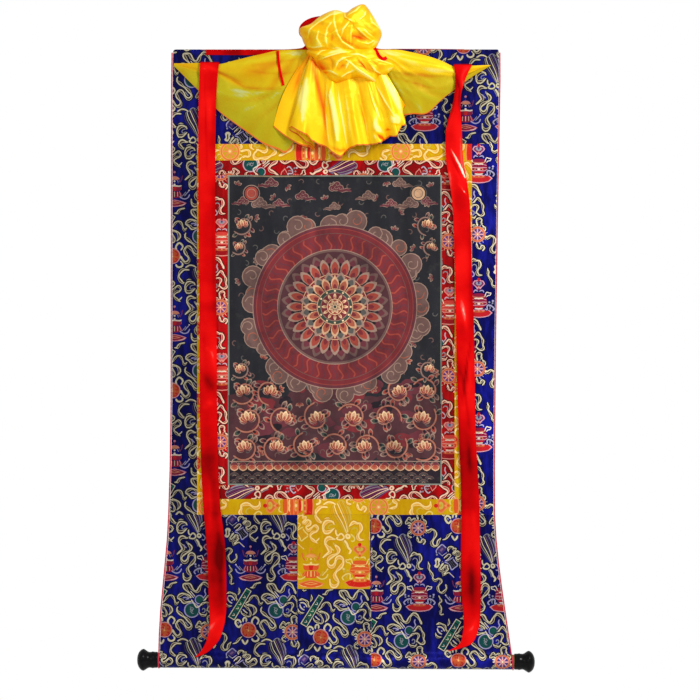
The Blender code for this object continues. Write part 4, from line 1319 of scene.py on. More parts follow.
@dataclass(frozen=True)
class Painted:
    """Mineral colours on fine canvas, dulled by age and finely cracked."""

    name: str

    def make(self) -> bpy.types.Material:
        """Build the material.

        Returns:
            The material.
        """
        s = Surface(self.name)
        weave = s.group(weave_group(), Threads=900.0, Float=1.0)
        worn = s.group(wear_group(), Size=55.0, Amount=0.46).outputs[0]
        grimy = s.group(wear_group(), Size=12.0, Amount=0.5).outputs[0]
        stained = s.group(streak_group(), Size=34.0, Strength=1.1).outputs["Shade"]
        base = s.toned(s.carried("thread", "Color"), weave.outputs["Shade"])
        rubbed = s.mix(s.math("MULTIPLY", worn, 0.32), base, tint(70, 68, 66))
        dark = s.mix(s.math("MULTIPLY", grimy, 0.42), rubbed, tint(28, 30, 34))
        s.dress(
            Base_Color=s.toned(dark, stained),
            Roughness=s.math("MULTIPLY_ADD", worn, 0.15, 0.7),
            Specular_IOR_Level=0.1,
        )
        cracks = s.add(
            "TexVoronoi", {"feature": "DISTANCE_TO_EDGE"}, Vector=s.place(), Scale=150.0
        ).outputs[0]
        split = s.clamp(s.math("MULTIPLY", cracks, 14.0))
        s.raise_by(0.3, 0.0003, s.math("MULTIPLY_ADD", split, 0.25, weave.outputs["Height"]))
        return s.material


@dataclass(frozen=True)
class Silk:
    """Thin smooth satin, with a painted highlight on its creases and painted shade in its folds."""

    name: str
    stops: tuple[tuple[float, Colour], ...]  # from the painted highlight of the palest crease, at 0, to the painted shade of the deepest fold
    rough: float = 0.42
    shine: float = 0.16
    crumples: float = 0.3
    drift: float = 0.45
    gloss: float = 0.12

    def make(self) -> bpy.types.Material:
        """Build the material.

        Returns:
            The material.
        """
        s = Surface(self.name)
        place = s.place()
        cloudy = s.noise(Vector=place, Scale=26.0, Detail=4.0)
        centred = s.math("SUBTRACT", cloudy, 0.5)
        # the mesh's fold value picks the painted highlight and painted shade from the ramp
        moved = s.math("MULTIPLY_ADD", centred, self.drift, s.carried("fold", "Fac"))
        ramp = s.add("ValToRGB", Fac=s.math("MULTIPLY_ADD", moved, 0.72, 0.26))
        points = ramp.color_ramp.elements
        points[0].position, points[0].color = self.stops[0]
        points[1].position, points[1].color = self.stops[-1]
        for position, colour in self.stops[1:-1]:
            points.new(position).color = colour
        weave = s.group(weave_group(), Threads=1900.0, Float=0.4)
        toned = s.toned(ramp.outputs["Color"], weave.outputs["Shade"])
        s.dress(
            Base_Color=s.mix(1.0, toned, s.carried("thread", "Color"), "MULTIPLY"),
            Roughness=s.math("MULTIPLY_ADD", cloudy, 0.14, self.rough - 0.07),
            Metallic=self.shine,
            Specular_IOR_Level=self.gloss,
        )
        crumpled = s.noise(Vector=place, Scale=60.0, Detail=4.0)
        height = s.math("MULTIPLY_ADD", weave.outputs["Height"], 0.05, crumpled)
        s.raise_by(self.crumples, 0.002, height)
        return s.material


@dataclass(frozen=True)
class Lacquer:
    """Turned wood under lacquer, with rubbed rings."""

    name: str
    colour: Colour
    rubbed: Colour
    rough: float = 0.28

    def make(self) -> bpy.types.Material:
        """Build the material.

        Returns:
            The material.
        """
        s = Surface(self.name)
        worn = s.group(wear_group(), Size=90.0, Amount=0.4).outputs[0]
        grain = s.add("Mapping", Vector=s.place(), Scale=(0.25, 1.0, 1.0)).outputs[0]
        fibre = s.noise(Vector=grain, Scale=420.0, Detail=4.0)
        share = s.math("MULTIPLY", worn, s.math("MULTIPLY", fibre, 0.7))
        s.dress(
            Base_Color=s.mix(share, self.colour, self.rubbed),
            Roughness=s.math("MULTIPLY_ADD", worn, 0.18, self.rough),
            Specular_IOR_Level=0.08,
            Coat_Weight=0.05,
            Coat_Roughness=0.15,
        )
        s.raise_by(0.15, 0.0004, fibre)
        return s.material


# ---------------------------------------------------------------- meshes
def link_object(name: str, mesh: bpy.types.Mesh) -> bpy.types.Object:
    """Put a mesh into the scene as an object."""
    item = bpy.data.objects.new(name, mesh)
    bpy.context.scene.collection.objects.link(item)
    return item


def used_by(faces: Sequence[Sequence[int]]) -> list[int]:
    """The points that faces or edges use, in order."""
    return sorted({index for face in faces for index in face})


def outward_normals(points: Sequence[Vector], faces: Sequence[Sequence[int]]) -> list[Vector]:
    """One unit normal for each point, from the faces around it.

    Args:
        points: the points.
        faces: the faces, each of three or four points.

    Returns:
        The normals, in the order of the points.
    """
    sums = [Vector((0.0, 0.0, 0.0)) for _ in points]
    for face in faces:
        a, b, c = points[face[0]], points[face[1]], points[face[2]]
        across = (b - a).cross(c - a)
        if len(face) == 4:
            across += (c - a).cross(points[face[3]] - a)
        for index in face:
            sums[index] += across
    return [total.normalized() for total in sums]


def round_mesh(
    name: str, rings: Sequence[Sequence[Vector]], ends: bool, weld: float, sharp: float
) -> bpy.types.Mesh:
    """Make a smooth mesh through rings of points.

    Args:
        name: its name.
        rings: rings of as many points each, in millimetres.
        ends: whether the first and the last ring are closed by a face.
        weld: how close two points are that become one, in metres, or 0.
        sharp: the angle in degrees above which an edge is sharp.

    Returns:
        The mesh.
    """
    around = len(rings[0])
    faces = []
    for index in range(len(rings) - 1):
        for k in range(around):
            a, b = index * around + k, index * around + (k + 1) % around
            faces.append((a, b, b + around, a + around))
    if ends:
        last = (len(rings) - 1) * around
        faces += [tuple(reversed(range(around))), tuple(range(last, last + around))]
    mesh = bpy.data.meshes.new(name)
    mesh.from_pydata([point * MM for ring in rings for point in ring], [], faces)
    work = bmesh.new()
    work.from_mesh(mesh)
    if weld:
        bmesh.ops.remove_doubles(work, verts=work.verts, dist=weld)
    bmesh.ops.recalc_face_normals(work, faces=work.faces)
    work.to_mesh(mesh)
    work.free()
    mesh.shade_smooth()
    mesh.set_sharp_from_angle(angle=math.radians(sharp))
    return mesh


@dataclass
class Skin:
    """A surface of faces, with colours for each, that becomes a closed thin sheet."""

    points: list[Vector]  # millimetres
    faces: list[tuple[int, ...]]
    flat: list[Point2]  # where each point lies on the cut cloth
    colours: list[Colour]  # front colour of each face
    backs: list[Colour]  # back colour of each face
    marks: list[float] = field(default_factory=list)  # one for each face
    # the fold values are painted shade in folds and painted highlight on creases
    folds: list[float] = field(default_factory=list)  # one for each point
    back_faces: list[tuple[int, ...]] = field(default_factory=list)  # its own back, when it has one

    def edges(self) -> list[tuple[int, int]]:
        """The edges around its outline, in the faces' own direction."""
        sides = {pair for face in self.faces for pair in zip(face, face[1:] + face[:1])}
        return [(a, b) for a, b in sides if (b, a) not in sides]

    def plain_back(self, gap: float) -> None:
        """Give it a back of one colour, on a few of its own points and all of its outline.

        Args:
            gap: how far apart the points inside the outline are, on the cut cloth.
        """
        rim = sorted(self.edges())
        kept = set(used_by(rim))
        squares = [(round(x / gap), round(y / gap)) for x, y in self.flat]
        taken = {squares[index] for index in kept}
        for index in used_by(self.faces):
            if squares[index] not in taken:
                taken.add(squares[index])
                kept.add(index)
        order = sorted(kept)
        place = {index: number for number, index in enumerate(order)}
        coords = [Vector(self.flat[index]) for index in order]
        lines = [(place[a], place[b]) for a, b in rim]
        spots, _, faces, *_ = delaunay_2d_cdt(coords, lines, [], 0, 1e-4, False)
        back = {(round(v[0], 3), round(v[1], 3)): index for v, index in zip(coords, order)}
        names = [back[(round(v[0], 3), round(v[1], 3))] for v in spots]
        self.back_faces = [tuple(names[index] for index in reversed(face)) for face in faces]
        self.backs = [self.backs[0]] * len(self.back_faces)

    def close(self, name: str, thick: float, finish: bpy.types.Material) -> bpy.types.Object:
        """Give the surface a thickness, a rim, colours and a flat layout.

        Args:
            name: the object's name.
            thick: the thickness in millimetres.
            finish: the material.

        Returns:
            The object.
        """
        used = used_by(self.faces)
        renumber = {old: new for new, old in enumerate(used)}
        points = [self.points[index] for index in used]
        faces = [tuple(renumber[index] for index in face) for face in self.faces]
        normals = outward_normals(points, faces)
        half = thick / 2
        backs = [tuple(renumber[index] for index in face) for face in self.back_faces]
        backs = backs or [tuple(reversed(face)) for face in faces]
        behind = used_by(backs)
        after = {index: len(points) + number for number, index in enumerate(behind)}
        verts = [(p + n * half) * MM for p, n in zip(points, normals)]
        verts += [(points[index] - normals[index] * half) * MM for index in behind]
        rim = [(renumber[a], renumber[b]) for a, b in self.edges()]
        all_faces = list(faces)
        all_faces += [tuple(after[index] for index in face) for face in backs]
        all_faces += [(b, a, after[a], after[b]) for a, b in rim]
        mesh = bpy.data.meshes.new(name)
        mesh.from_pydata(verts, [], all_faces)
        mesh.validate()
        source = used + [used[index] for index in behind]
        self.colour_in(mesh, all_faces, source, (len(faces), len(backs), len(rim)))
        mesh.shade_smooth()
        mesh.set_sharp_from_angle(angle=math.radians(50))
        mesh.materials.append(finish)
        return link_object(name, mesh)

    def colour_in(
        self,
        mesh: bpy.types.Mesh,
        faces: Sequence[tuple[int, ...]],
        source: Sequence[int],
        counts: tuple[int, int, int],
    ) -> None:
        """Give the closed mesh its colours, marks, fold depths (painted shade and highlight) and
        flat layout.

        Args:
            mesh: the mesh.
            faces: all its faces: the front, the back and the rim.
            source: the skin's own point that each of its points comes from.
            counts: how many faces the front, the back and the rim have.
        """
        front, back, rim = counts
        flat = [self.flat[index] for index in source]
        low_x, low_y = min(p[0] for p in flat), min(p[1] for p in flat)
        wide = max(max(p[0] for p in flat) - low_x, 1e-6)
        tall = max(max(p[1] for p in flat) - low_y, 1e-6)
        marks = self.marks or [0.0] * front
        back_marks = [0.0] * back if self.back_faces else [mark * 0.5 for mark in marks]
        ground = self.colours[marks.index(min(marks))]
        face_colours = self.colours + self.backs + [ground] * rim
        face_marks = marks + back_marks + [0.0] * rim
        folds = [self.folds[index] if self.folds else 0.0 for index in source]
        tones: list[float] = []
        figures: list[float] = []
        places: list[float] = []
        for number, face in enumerate(faces):
            shift = 0.5 if front <= number < front + back else 0.0
            for index in face:
                tones += face_colours[number]
                figures.append(face_marks[number])
                places.append(0.005 + shift + 0.485 * (flat[index][0] - low_x) / wide)
                places.append(0.01 + 0.98 * (flat[index][1] - low_y) / tall)
        mesh.color_attributes.new("thread", "FLOAT_COLOR", "CORNER")
        mesh.attributes.new("figure", "FLOAT", "CORNER")
        mesh.attributes.new("fold", "FLOAT", "POINT")
        mesh.uv_layers.new(name=BAKE_UV)
        mesh.color_attributes["thread"].data.foreach_set("color", tones)
        mesh.attributes["figure"].data.foreach_set("value", figures)
        mesh.attributes["fold"].data.foreach_set("value", folds)
        mesh.uv_layers[BAKE_UV].data.foreach_set("uv", places)


def grid_skin(
    rows: Sequence[Sequence[Vector]], folds: Sequence[Sequence[float]], size: Point2
) -> Skin:
    """A surface through a grid of points.

    Args:
        rows: the points in millimetres, row by row.
        folds: how deep in a fold each point lies, row by row, painted as shade in folds and as
            highlight on creases.
        size: the cut cloth's width and length, for the flat layout.

    Returns:
        The surface, white on both sides.
    """
    tall, wide = len(rows), len(rows[0])
    flat = [
        (size[0] * j / (wide - 1), size[1] * i / (tall - 1))
        for i in range(tall)
        for j in range(wide)
    ]
    faces = []
    for i in range(tall - 1):
        for j in range(wide - 1):
            a = i * wide + j
            faces.append((a, a + wide, a + wide + 1, a + 1))
    points = [point for row in rows for point in row]
    depths = [depth for row in folds for depth in row]
    return Skin(points, faces, flat, [WHITE] * len(faces), [WHITE] * len(faces), [], depths)


# ---------------------------------------------------------------- brocade panels
@dataclass(frozen=True)
class Dye:
    """The colours of one brocade's threads, and of its wrong side."""

    name: str
    threads: dict[Thread, Colour]
    wrong_side: Colour
    show_through: float = 0.35

    def front(self, thread: Thread, painted_light: float) -> Colour:
        """The colour on the right side, made lighter or darker by the painted light and shade."""
        red, green, blue, solid = self.threads[thread]
        return (red * painted_light, green * painted_light, blue * painted_light, solid)

    def back(self, thread: Thread) -> Colour:
        """The muted colour on the wrong side.

        Args:
            thread: the thread that shows on the right side.

        Returns:
            The colour.
        """
        share = 0.0 if thread is GROUND else self.show_through
        face = self.threads[thread]
        mixed = [w + (f - w) * share for w, f in zip(self.wrong_side[:3], face[:3])]
        return (mixed[0], mixed[1], mixed[2], 1.0)


def threads(**channels: tuple[int, int, int]) -> dict[Thread, Colour]:
    """Dye threads.

    Args:
        channels: the sRGB channels of each thread, by its name.

    Returns:
        The linear colour of each thread.
    """
    return {Thread[name]: tint(*rgb) for name, rgb in channels.items()}


BLUE_DYE = Dye(
    "blue",
    threads(
        GROUND=(18, 22, 134), CREAM=(218, 208, 170), CORE=(84, 64, 58), PALE=(228, 214, 186),
        GREY=(146, 146, 150), LILAC=(166, 160, 192), MAUVE=(122, 92, 128), PURPLE=(62, 44, 104),
        PLUM=(110, 40, 84), DARK=(12, 8, 34), PINK=(206, 150, 156), ROSE=(204, 128, 138),
        CRIMSON=(136, 16, 52), RED=(186, 22, 28), SALMON=(206, 130, 96), ORANGE=(190, 82, 40),
        GOLD=(222, 160, 84), TEAL=(10, 72, 70), GREEN=(12, 92, 66),
    ),
    tint(36, 34, 96),
)
RED_DYE = Dye(
    "red",
    BLUE_DYE.threads
    | threads(
        GROUND=(190, 8, 14), CREAM=(246, 206, 172), CORE=(170, 84, 74), PURPLE=(96, 52, 112),
        DARK=(92, 4, 14), PLUM=(196, 86, 96), PINK=(222, 142, 126), ROSE=(222, 130, 118),
        CRIMSON=(206, 62, 52), RED=(146, 6, 16), LILAC=(196, 170, 180),
    ),
    tint(120, 24, 30),
)
GOLD_DYE = Dye(
    "gold",
    threads(
        GROUND=(222, 176, 4), CREAM=(248, 218, 142), CORE=(234, 176, 74), PALE=(242, 210, 122),
        GREY=(206, 176, 70), LILAC=(232, 206, 110), MAUVE=(216, 178, 60), PURPLE=(200, 160, 24),
        PLUM=(222, 104, 50), DARK=(206, 148, 0), PINK=(232, 136, 72), ROSE=(230, 128, 62),
        CRIMSON=(222, 88, 34), RED=(208, 30, 18), SALMON=(234, 160, 84), ORANGE=(224, 116, 44),
        GOLD=(244, 206, 90), TEAL=(206, 166, 10), GREEN=(212, 176, 30),
    ),
    tint(176, 140, 40),
    0.4,
)

CLOTH = 1.2  # how thick the brocade and the canvas are
GAP = 0.06  # between neighbouring pieces
ROLL_AT, ROLL_WIDE, ROLL_SHEEN = 1143.0, 7.0, 0.6  # a painted sheen on the colour over the roller: where it lies, how wide, how strong
BEND_STEP = 2.4  # how closely the cloth's rows lie around the rod
GRID = 11.0  # how closely its points lie elsewhere
ROD_NEAR = 4.0  # how far above the rod the rows begin to lie closer


@dataclass
class Panel:
    """A brocade panel with its inlaid figures, hung on the cloth's own shape."""

    node: str
    dye: Dye
    left: float
    right: float
    top: float
    bottom: float
    lays: tuple[tuple[Lay, float, float], ...]  # each with the strip it covers, from x to x
    repeat: Repeat
    forward: float = 0.0
    side_left: bool = False
    side_right: bool = False
    corner: float = 0.0
    painted_light: float = 1.0  # painted light and shade: how much lighter or darker the whole panel is painted

    def sides(self, along: float) -> Point2:
        """The panel's own edges.

        Args:
            along: the length along the cloth.

        Returns:
            The left and the right edge.
        """
        left, right = HANG.edge_along(along)
        eased = 0.0
        if self.corner and along < self.corner:
            eased = self.corner - math.sqrt(self.corner**2 - (self.corner - along) ** 2)
        start = left + HANG.edge_inset + eased if self.side_left else self.left + GAP / 2
        end = right - HANG.edge_inset - eased * 0.6 if self.side_right else self.right - GAP / 2
        return start, end

    def rows(self) -> list[float]:
        """Where the panel has a row of points.

        Returns:
            The lengths along the cloth.
        """
        top = self.top + (GAP / 2 if self.top > 0 else 0.0)
        bottom = self.bottom - (GAP / 2 if self.bottom < HANG.flat_end else 0.0)
        found = [top]
        if self.corner:
            found += [self.corner * k / 6 for k in (0.5, 1, 2, 3, 4.5)]
        while found[-1] < bottom - 1e-6:
            near_rod = found[-1] > HANG.flat_end - ROD_NEAR
            step = BEND_STEP if near_rod else GRID
            limit = bottom if near_rod else min(bottom, max(HANG.flat_end, top + 1))
            following = found[-1] + step
            if following > limit - step * 0.4:
                following = limit if limit > found[-1] + 1e-6 else found[-1] + step
            found.append(min(following, bottom))
        return found

    def cut(self) -> Inlay:
        """Cut the flat panel with its figures.

        Returns:
            The panel.
        """
        rows = self.rows()
        edges = [self.sides(row) for row in rows]
        between = list(zip(edges[1:-1], rows[1:-1]))
        outline = self.spread(edges[0], rows[0])
        outline += [(edge[1], row) for edge, row in between]
        outline += reversed(self.spread(edges[-1], rows[-1]))
        outline += [(edge[0], row) for edge, row in reversed(between)]
        spots = []
        for number, (edge, row) in enumerate(between):
            inner = self.spread(edge, row)[1:-1]
            shift = GRID * 0.5 * (number % 2) * (0.5 if row > HANG.flat_end else 1.0)
            spots += [(x + shift, y) for x, y in inner if x + shift < edge[1] - 2]
        pieces: list[Piece2] = []
        low = min(edge[0] for edge in edges)
        high = max(edge[1] for edge in edges)
        for lay, start, end in self.lays:
            reach = (max(low, start), min(high, end), rows[0], rows[-1])
            if reach[1] <= reach[0]:
                continue
            found = self.repeat.pieces_over(reach, lay)
            if start > low or end < high:
                found = [
                    (thread, [(min(max(x, start), end), y) for x, y in shape])
                    for thread, shape in found
                ]
            pieces += found
        return Inlay(outline, pieces, spots)

    def spread(self, edge: Point2, row: float) -> list[Point2]:
        """Points along one row, from side to side.

        Args:
            edge: the row's left and right end.
            row: the length along the cloth.

        Returns:
            The points.
        """
        count = max(1, round((edge[1] - edge[0]) / GRID))
        return [(edge[0] + (edge[1] - edge[0]) * k / count, row) for k in range(count + 1)]

    def painted_light_at(self, along: float) -> float:
        """The painted light and shade at a length along the cloth, with a painted sheen over the
        roller.
        """
        return self.painted_light * (1 + ROLL_SHEEN * math.exp(-(((along - ROLL_AT) / ROLL_WIDE) ** 2)))

    def build(self, finish: bpy.types.Material) -> bpy.types.Object:
        """Make the panel.

        Args:
            finish: the brocade's material.

        Returns:
            The panel's object.
        """
        flat, triangles, threads = self.cut().triangles()
        points = [HANG.point(x, along, self.forward) for x, along in flat]
        # painted light and shade for each triangle, with the painted sheen over the roller
        painted_lights = [self.painted_light_at(sum(flat[k][1] for k in corners) / 3) for corners in triangles]
        faces = [(a, c, b) for a, b, c in triangles]
        skin = Skin(
            points,
            faces,
            flat,
            [self.dye.front(thread, painted_light) for thread, painted_light in zip(threads, painted_lights)],
            [self.dye.back(thread) for thread in threads],
            [0.0 if thread is GROUND else 1.0 for thread in threads],
        )
        return skin.close(self.node + "_cloth", CLOTH, finish)


# ---------------------------------------------------------------- the painted panel
class Pigment(Enum):
    """The mineral colours of the painted panel."""

    NIGHT = tint(38, 38, 42)
    DUSK = tint(78, 46, 50)
    DEEP = tint(38, 30, 36)
    SLATE = tint(88, 84, 80)
    PLUM = tint(102, 48, 56)
    WINE = tint(118, 44, 48)
    RUST = tint(156, 66, 54)
    BRICK = tint(166, 88, 66)
    UMBER = tint(108, 80, 74)
    TAN = tint(156, 126, 110)
    FLESH = tint(208, 162, 124)
    BONE = tint(236, 200, 154)
    MOSS = tint(60, 72, 62)
    EDGE = tint(128, 134, 120)


def box_of(left: float, top: float, right: float, bottom: float) -> list[Point2]:
    """A rectangle's outline."""
    return [(left, top), (right, top), (right, bottom), (left, bottom)]


def within(value: float, low: float, high: float) -> float:
    """A number kept between two others."""
    return min(max(value, low), high)


@dataclass
class Picture:
    """A painted lotus wheel on a great disc, among lotus scrolls and clouds."""

    left: float = HANG.picture_sides[0]
    right: float = HANG.picture_sides[1]
    top: float = HANG.picture_ends[0]
    bottom: float = HANG.picture_ends[1]
    middle: Point2 = (-2.0, HANG.picture_ends[0] + 246)  # of the great disc
    lobes: int = 34  # around the great disc
    steps: tuple[int, int] = (30, 44)  # the points across and down on which the sheet bends
    canvas: Colour = tint(150, 132, 104)
    areas: list[tuple[Pigment, list[Point2]]] = field(default_factory=list)

    def lay(self, pigment: Pigment, outline: list[Point2]) -> None:
        """Add an area on top of the ones before."""
        self.areas.append((pigment, outline))

    def rings(self, sides: int, *bands: tuple[float, Pigment], at: Point2 | None = None) -> None:
        """Add rounds of one middle, each on top of the one before.

        Args:
            sides: how many sides each has.
            bands: the radius and the colour of each.
            at: their middle, where it isn't the great disc's.
        """
        x, y = at or self.middle
        for radius, tone in bands:
            self.lay(tone, ring_of(x, y, radius, sides))

    def stroke(self, pigment: Pigment, width: float, points: Sequence[Point2]) -> None:
        """Add a brushed line.

        Args:
            pigment: its colour.
            width: its width.
            points: the points that it goes through.
        """
        for quad in ribbon_quads(points, width, max(2.4, width)):
            self.lay(pigment, quad)

    def petal(
        self, x: float, y: float, turn: float, start: float, length: float, half: float,
        body: Pigment, rim: Pigment, tip: Pigment,
    ) -> None:
        """Add a lotus petal that points away from a middle.

        Args:
            x: the middle, across.
            y: the middle, down.
            turn: the way the petal points, in radians.
            start: how far from the middle it begins.
            length: its length.
            half: half its width.
            body: its colour.
            rim: the colour of its edge.
            tip: the colour of its inner half.
        """
        shape = ((0.0, 0.35), (0.2, 0.8), (0.48, 1.0), (0.74, 0.8), (0.92, 0.36), (1.0, 0.0))
        cos, sin = math.cos(turn), math.sin(turn)
        for pigment, size in ((rim, 1.0), (body, 0.8), (tip, 0.46)):
            side = [(start + length * (0.04 + 0.96 * f * size), half * w * size) for f, w in shape]
            outline = side + [(f, -w) for f, w in reversed(side[:-1])]
            self.lay(pigment, [(x + f * cos - w * sin, y + f * sin + w * cos) for f, w in outline])

    def cloud(
        self, x: float, y: float, size: float, way: float, tone: Pigment, line: Pigment
    ) -> None:
        """Add a curling cloud with a tail.

        Args:
            x: its middle, across.
            y: its middle, down.
            size: its size.
            way: 1 or -1, the side of its tail.
            tone: its colour.
            line: the colour of its edge and its curls.
        """
        lobes = ((0.0, 0.0, 0.52), (0.62, 0.14, 0.40), (-0.58, 0.18, 0.38), (0.16, -0.36, 0.38))
        tail = ((0.2, 0.42), (0.9, 0.56), (1.5, 0.38), (2.2, 0.62))
        for pigment, grow in ((line, 0.09), (tone, 0.0)):
            run = [(x + way * size * a, y + size * b) for a, b in tail]
            self.stroke(pigment, size * (0.34 + grow * 2), run)
            for a, b, r in lobes:
                self.lay(pigment, ring_of(x + way * size * a, y + size * b, size * (r + grow), 14))
        for a, b, r in lobes:
            curl = []
            for k in range(6):
                reach = size * r * (0.72 - 0.1 * k)
                across = way * size * a + way * reach * math.cos(0.9 * k)
                curl.append((x + across, y + size * b + reach * math.sin(0.9 * k)))
            self.stroke(line, size * 0.07, curl)

    def drift(self, tone: Pigment, x: float, y: float, size: float, squeeze: float) -> None:
        """Paint one soft-sided drift of colour.

        Args:
            tone: its colour.
            x: its middle, across.
            y: its middle, down.
            size: its size.
            squeeze: how tall it is.
        """
        outline = []
        for k in range(18):
            turn = 2 * math.pi * k / 18
            reach = size * (1 + 0.45 * noise_at(math.cos(turn) * 1.4, math.sin(turn) * 1.4, x))
            outline.append((x + reach * 1.3 * math.cos(turn), y + reach * squeeze * math.sin(turn)))
        self.lay(tone, outline)

    def flower(self, x: float, y: float, turn: float, size: float) -> None:
        """Add a half-open lotus seen from the side.

        Args:
            x: its foot, across.
            y: its foot, down.
            turn: the way it points, in radians.
            size: its size.
        """
        for spread, long, body, rim, tip in (
            (1.35, 0.8, Pigment.WINE, Pigment.TAN, Pigment.PLUM),
            (0.95, 0.95, Pigment.RUST, Pigment.FLESH, Pigment.WINE),
            (0.5, 1.0, Pigment.BRICK, Pigment.FLESH, Pigment.RUST),
            (0.0, 1.04, Pigment.FLESH, Pigment.BONE, Pigment.BRICK),
        ):
            for way in (-1.0, 1.0) if spread else (1.0,):
                angle = turn + way * spread
                self.petal(x, y, angle, size * 0.08, size * long, size * 0.27, body, rim, tip)

    def vine(self, x: float, y: float, size: float, way: float, start: float, bloom: float) -> None:
        """Add one turn of a lotus scroll.

        Args:
            x: the middle of the turn, across.
            y: the middle of the turn, down.
            size: its radius.
            way: 1 or -1, the way it winds.
            start: the angle at which it begins.
            bloom: the size of the flower in it.
        """
        path = [polar(x, y, size * (1.05 - 0.055 * k), start + way * 0.42 * k) for k in range(15)]
        self.stroke(Pigment.DEEP, 5.0, path)
        self.stroke(Pigment.BRICK if size > 22 else Pigment.UMBER, 3.6, path)
        self.stroke(Pigment.TAN, 1.0, path)
        leaves = (Pigment.MOSS, Pigment.RUST, Pigment.PLUM, Pigment.UMBER)
        for k in range(1, 14, 2):
            leaf_x, leaf_y = path[k]
            lean = 0.5 * (1 if k % 4 == 1 else -1.4)
            out = math.atan2(leaf_y - y, leaf_x - x) - way * lean
            long, half = size * 0.56, size * 0.18
            tone = leaves[k // 2 % 4]
            self.petal(leaf_x, leaf_y, out, 0.5, long, half, tone, Pigment.TAN, Pigment.DEEP)
        self.flower(x, y + bloom * 0.35, -math.pi / 2 + 0.25 * way, bloom)

    def sky(self) -> None:
        """Paint the fine edge line and the dark ground inside it."""
        for tone, inset in ((Pigment.EDGE, 1.2), (Pigment.NIGHT, 2.6)):
            low, high = self.top + inset, self.bottom - inset
            self.lay(tone, box_of(self.left + inset, low, self.right - inset, high))

    def haze(self) -> None:
        """Paint soft darker and redder drifts over the ground, reddest low down."""
        chance = random.Random(11)
        for number in range(7):
            x = self.left + 30 + number * (self.right - self.left - 60) / 6
            self.drift(Pigment.DUSK, x, self.bottom - 108 + 9 * math.sin(number * 2.1), 44, 1.5)
        for _ in range(46):
            x = chance.uniform(self.left + 40, self.right - 40)
            y = chance.uniform(self.bottom - 190, self.bottom - 60)
            tone = chance.choice((Pigment.WINE, Pigment.PLUM, Pigment.DEEP))
            self.drift(tone, x, y, chance.uniform(6, 18), 0.8)

    def sprigs(self) -> None:
        """Strew small leaves, buds and curls over the ground between the larger things."""
        chance = random.Random(5)
        rim, tip = Pigment.TAN, Pigment.WINE
        for row in range(19):
            for column in range(13):
                x = self.left + 16 + 30.6 * column + 15 * (row % 2) + chance.uniform(-6, 6)
                y = self.top + 16 + 29.6 * row + chance.uniform(-6, 6)
                if not self.left + 12 < x < self.right - 12:
                    continue
                turn = chance.uniform(0, 2 * math.pi)
                kind = (row + column) % 3
                if kind == 0:
                    tone = Pigment.BRICK if y > self.top + 330 else Pigment.UMBER
                    for spread in (-0.9, 0.0, 0.9):
                        self.petal(x, y, turn + spread, 1.0, 8.6, 2.6, tone, rim, tip)
                    continue
                curl = [polar(x, y, 6.5 - 0.9 * k, turn + 0.8 * k) for k in range(6)]
                self.stroke(Pigment.UMBER if kind == 1 else Pigment.SLATE, 1.7, curl)

    def meadow(self) -> None:
        """Paint the dense lotus scrolls below and beside the great disc, and the clouds above."""
        for down, places, size in (
            (454.0, (-164.0, -98.0, -34.0, 30.0, 94.0, 160.0), 28.0),
            (404.0, (-172.0, -124.0, 120.0, 168.0), 25.0),
            (508.0, (-170.0, -112.0, -56.0, 0.0, 54.0, 108.0, 166.0), 26.0),
            (92.0, (-174.0, 170.0), 20.0),
            (134.0, (-181.0, 177.0), 15.0),
            (362.0, (-178.0, 174.0), 18.0),
        ):
            for number, x in enumerate(places):
                way = 1.0 if number % 2 else -1.0
                start = math.pi * (0.2 if way > 0 else 0.8) + number
                self.vine(x, self.top + down, size, way, start, size * 0.66)
        for x, y, size, way in (
            (-120.0, 14.0, 12.0, -1.0), (-64.0, 38.0, 12.0, 1.0), (0.0, 22.0, 13.0, 1.0),
            (62.0, 38.0, 12.0, -1.0), (118.0, 14.0, 12.0, 1.0), (-108.0, 52.0, 10.0, 1.0),
            (104.0, 52.0, 10.0, -1.0), (-2.0, 58.0, 10.0, -1.0),
        ):
            tone = Pigment.PLUM if int(abs(x)) % 4 < 2 else Pigment.UMBER
            self.cloud(x, self.top + y, size, way, tone, Pigment.TAN)

    def lights(self) -> None:
        """Paint the sun and the moon in the upper corners, each on small clouds."""
        y = self.top + 34
        for x, disc, rim in (
            (-158.0, Pigment.RUST, Pigment.TAN), (154.0, Pigment.FLESH, Pigment.SLATE)
        ):
            bands = ((16.0, rim), (14.6, Pigment.DEEP), (12.6, disc), (8.6, rim), (7.6, disc))
            self.rings(24, *bands, at=(x, y))
            way = 1.0 if x < 0 else -1.0
            self.cloud(x + 14 * way, y + 18, 14, way, Pigment.UMBER, Pigment.TAN)
            self.cloud(x - 15 * way, y + 14, 10, -way, Pigment.PLUM, Pigment.TAN)

    def lobe(self, k: int, reach: float) -> tuple[float, Point2]:
        """One lobe of the great disc's rim.

        Args:
            k: which one.
            reach: how far from the disc's middle it lies.

        Returns:
            The angle at which it lies, and its middle.
        """
        turn = 2 * math.pi * (k + 0.3 * math.sin(k * 2.3)) / self.lobes
        return turn, polar(*self.middle, reach + 7 * math.sin(k * 1.7), turn)

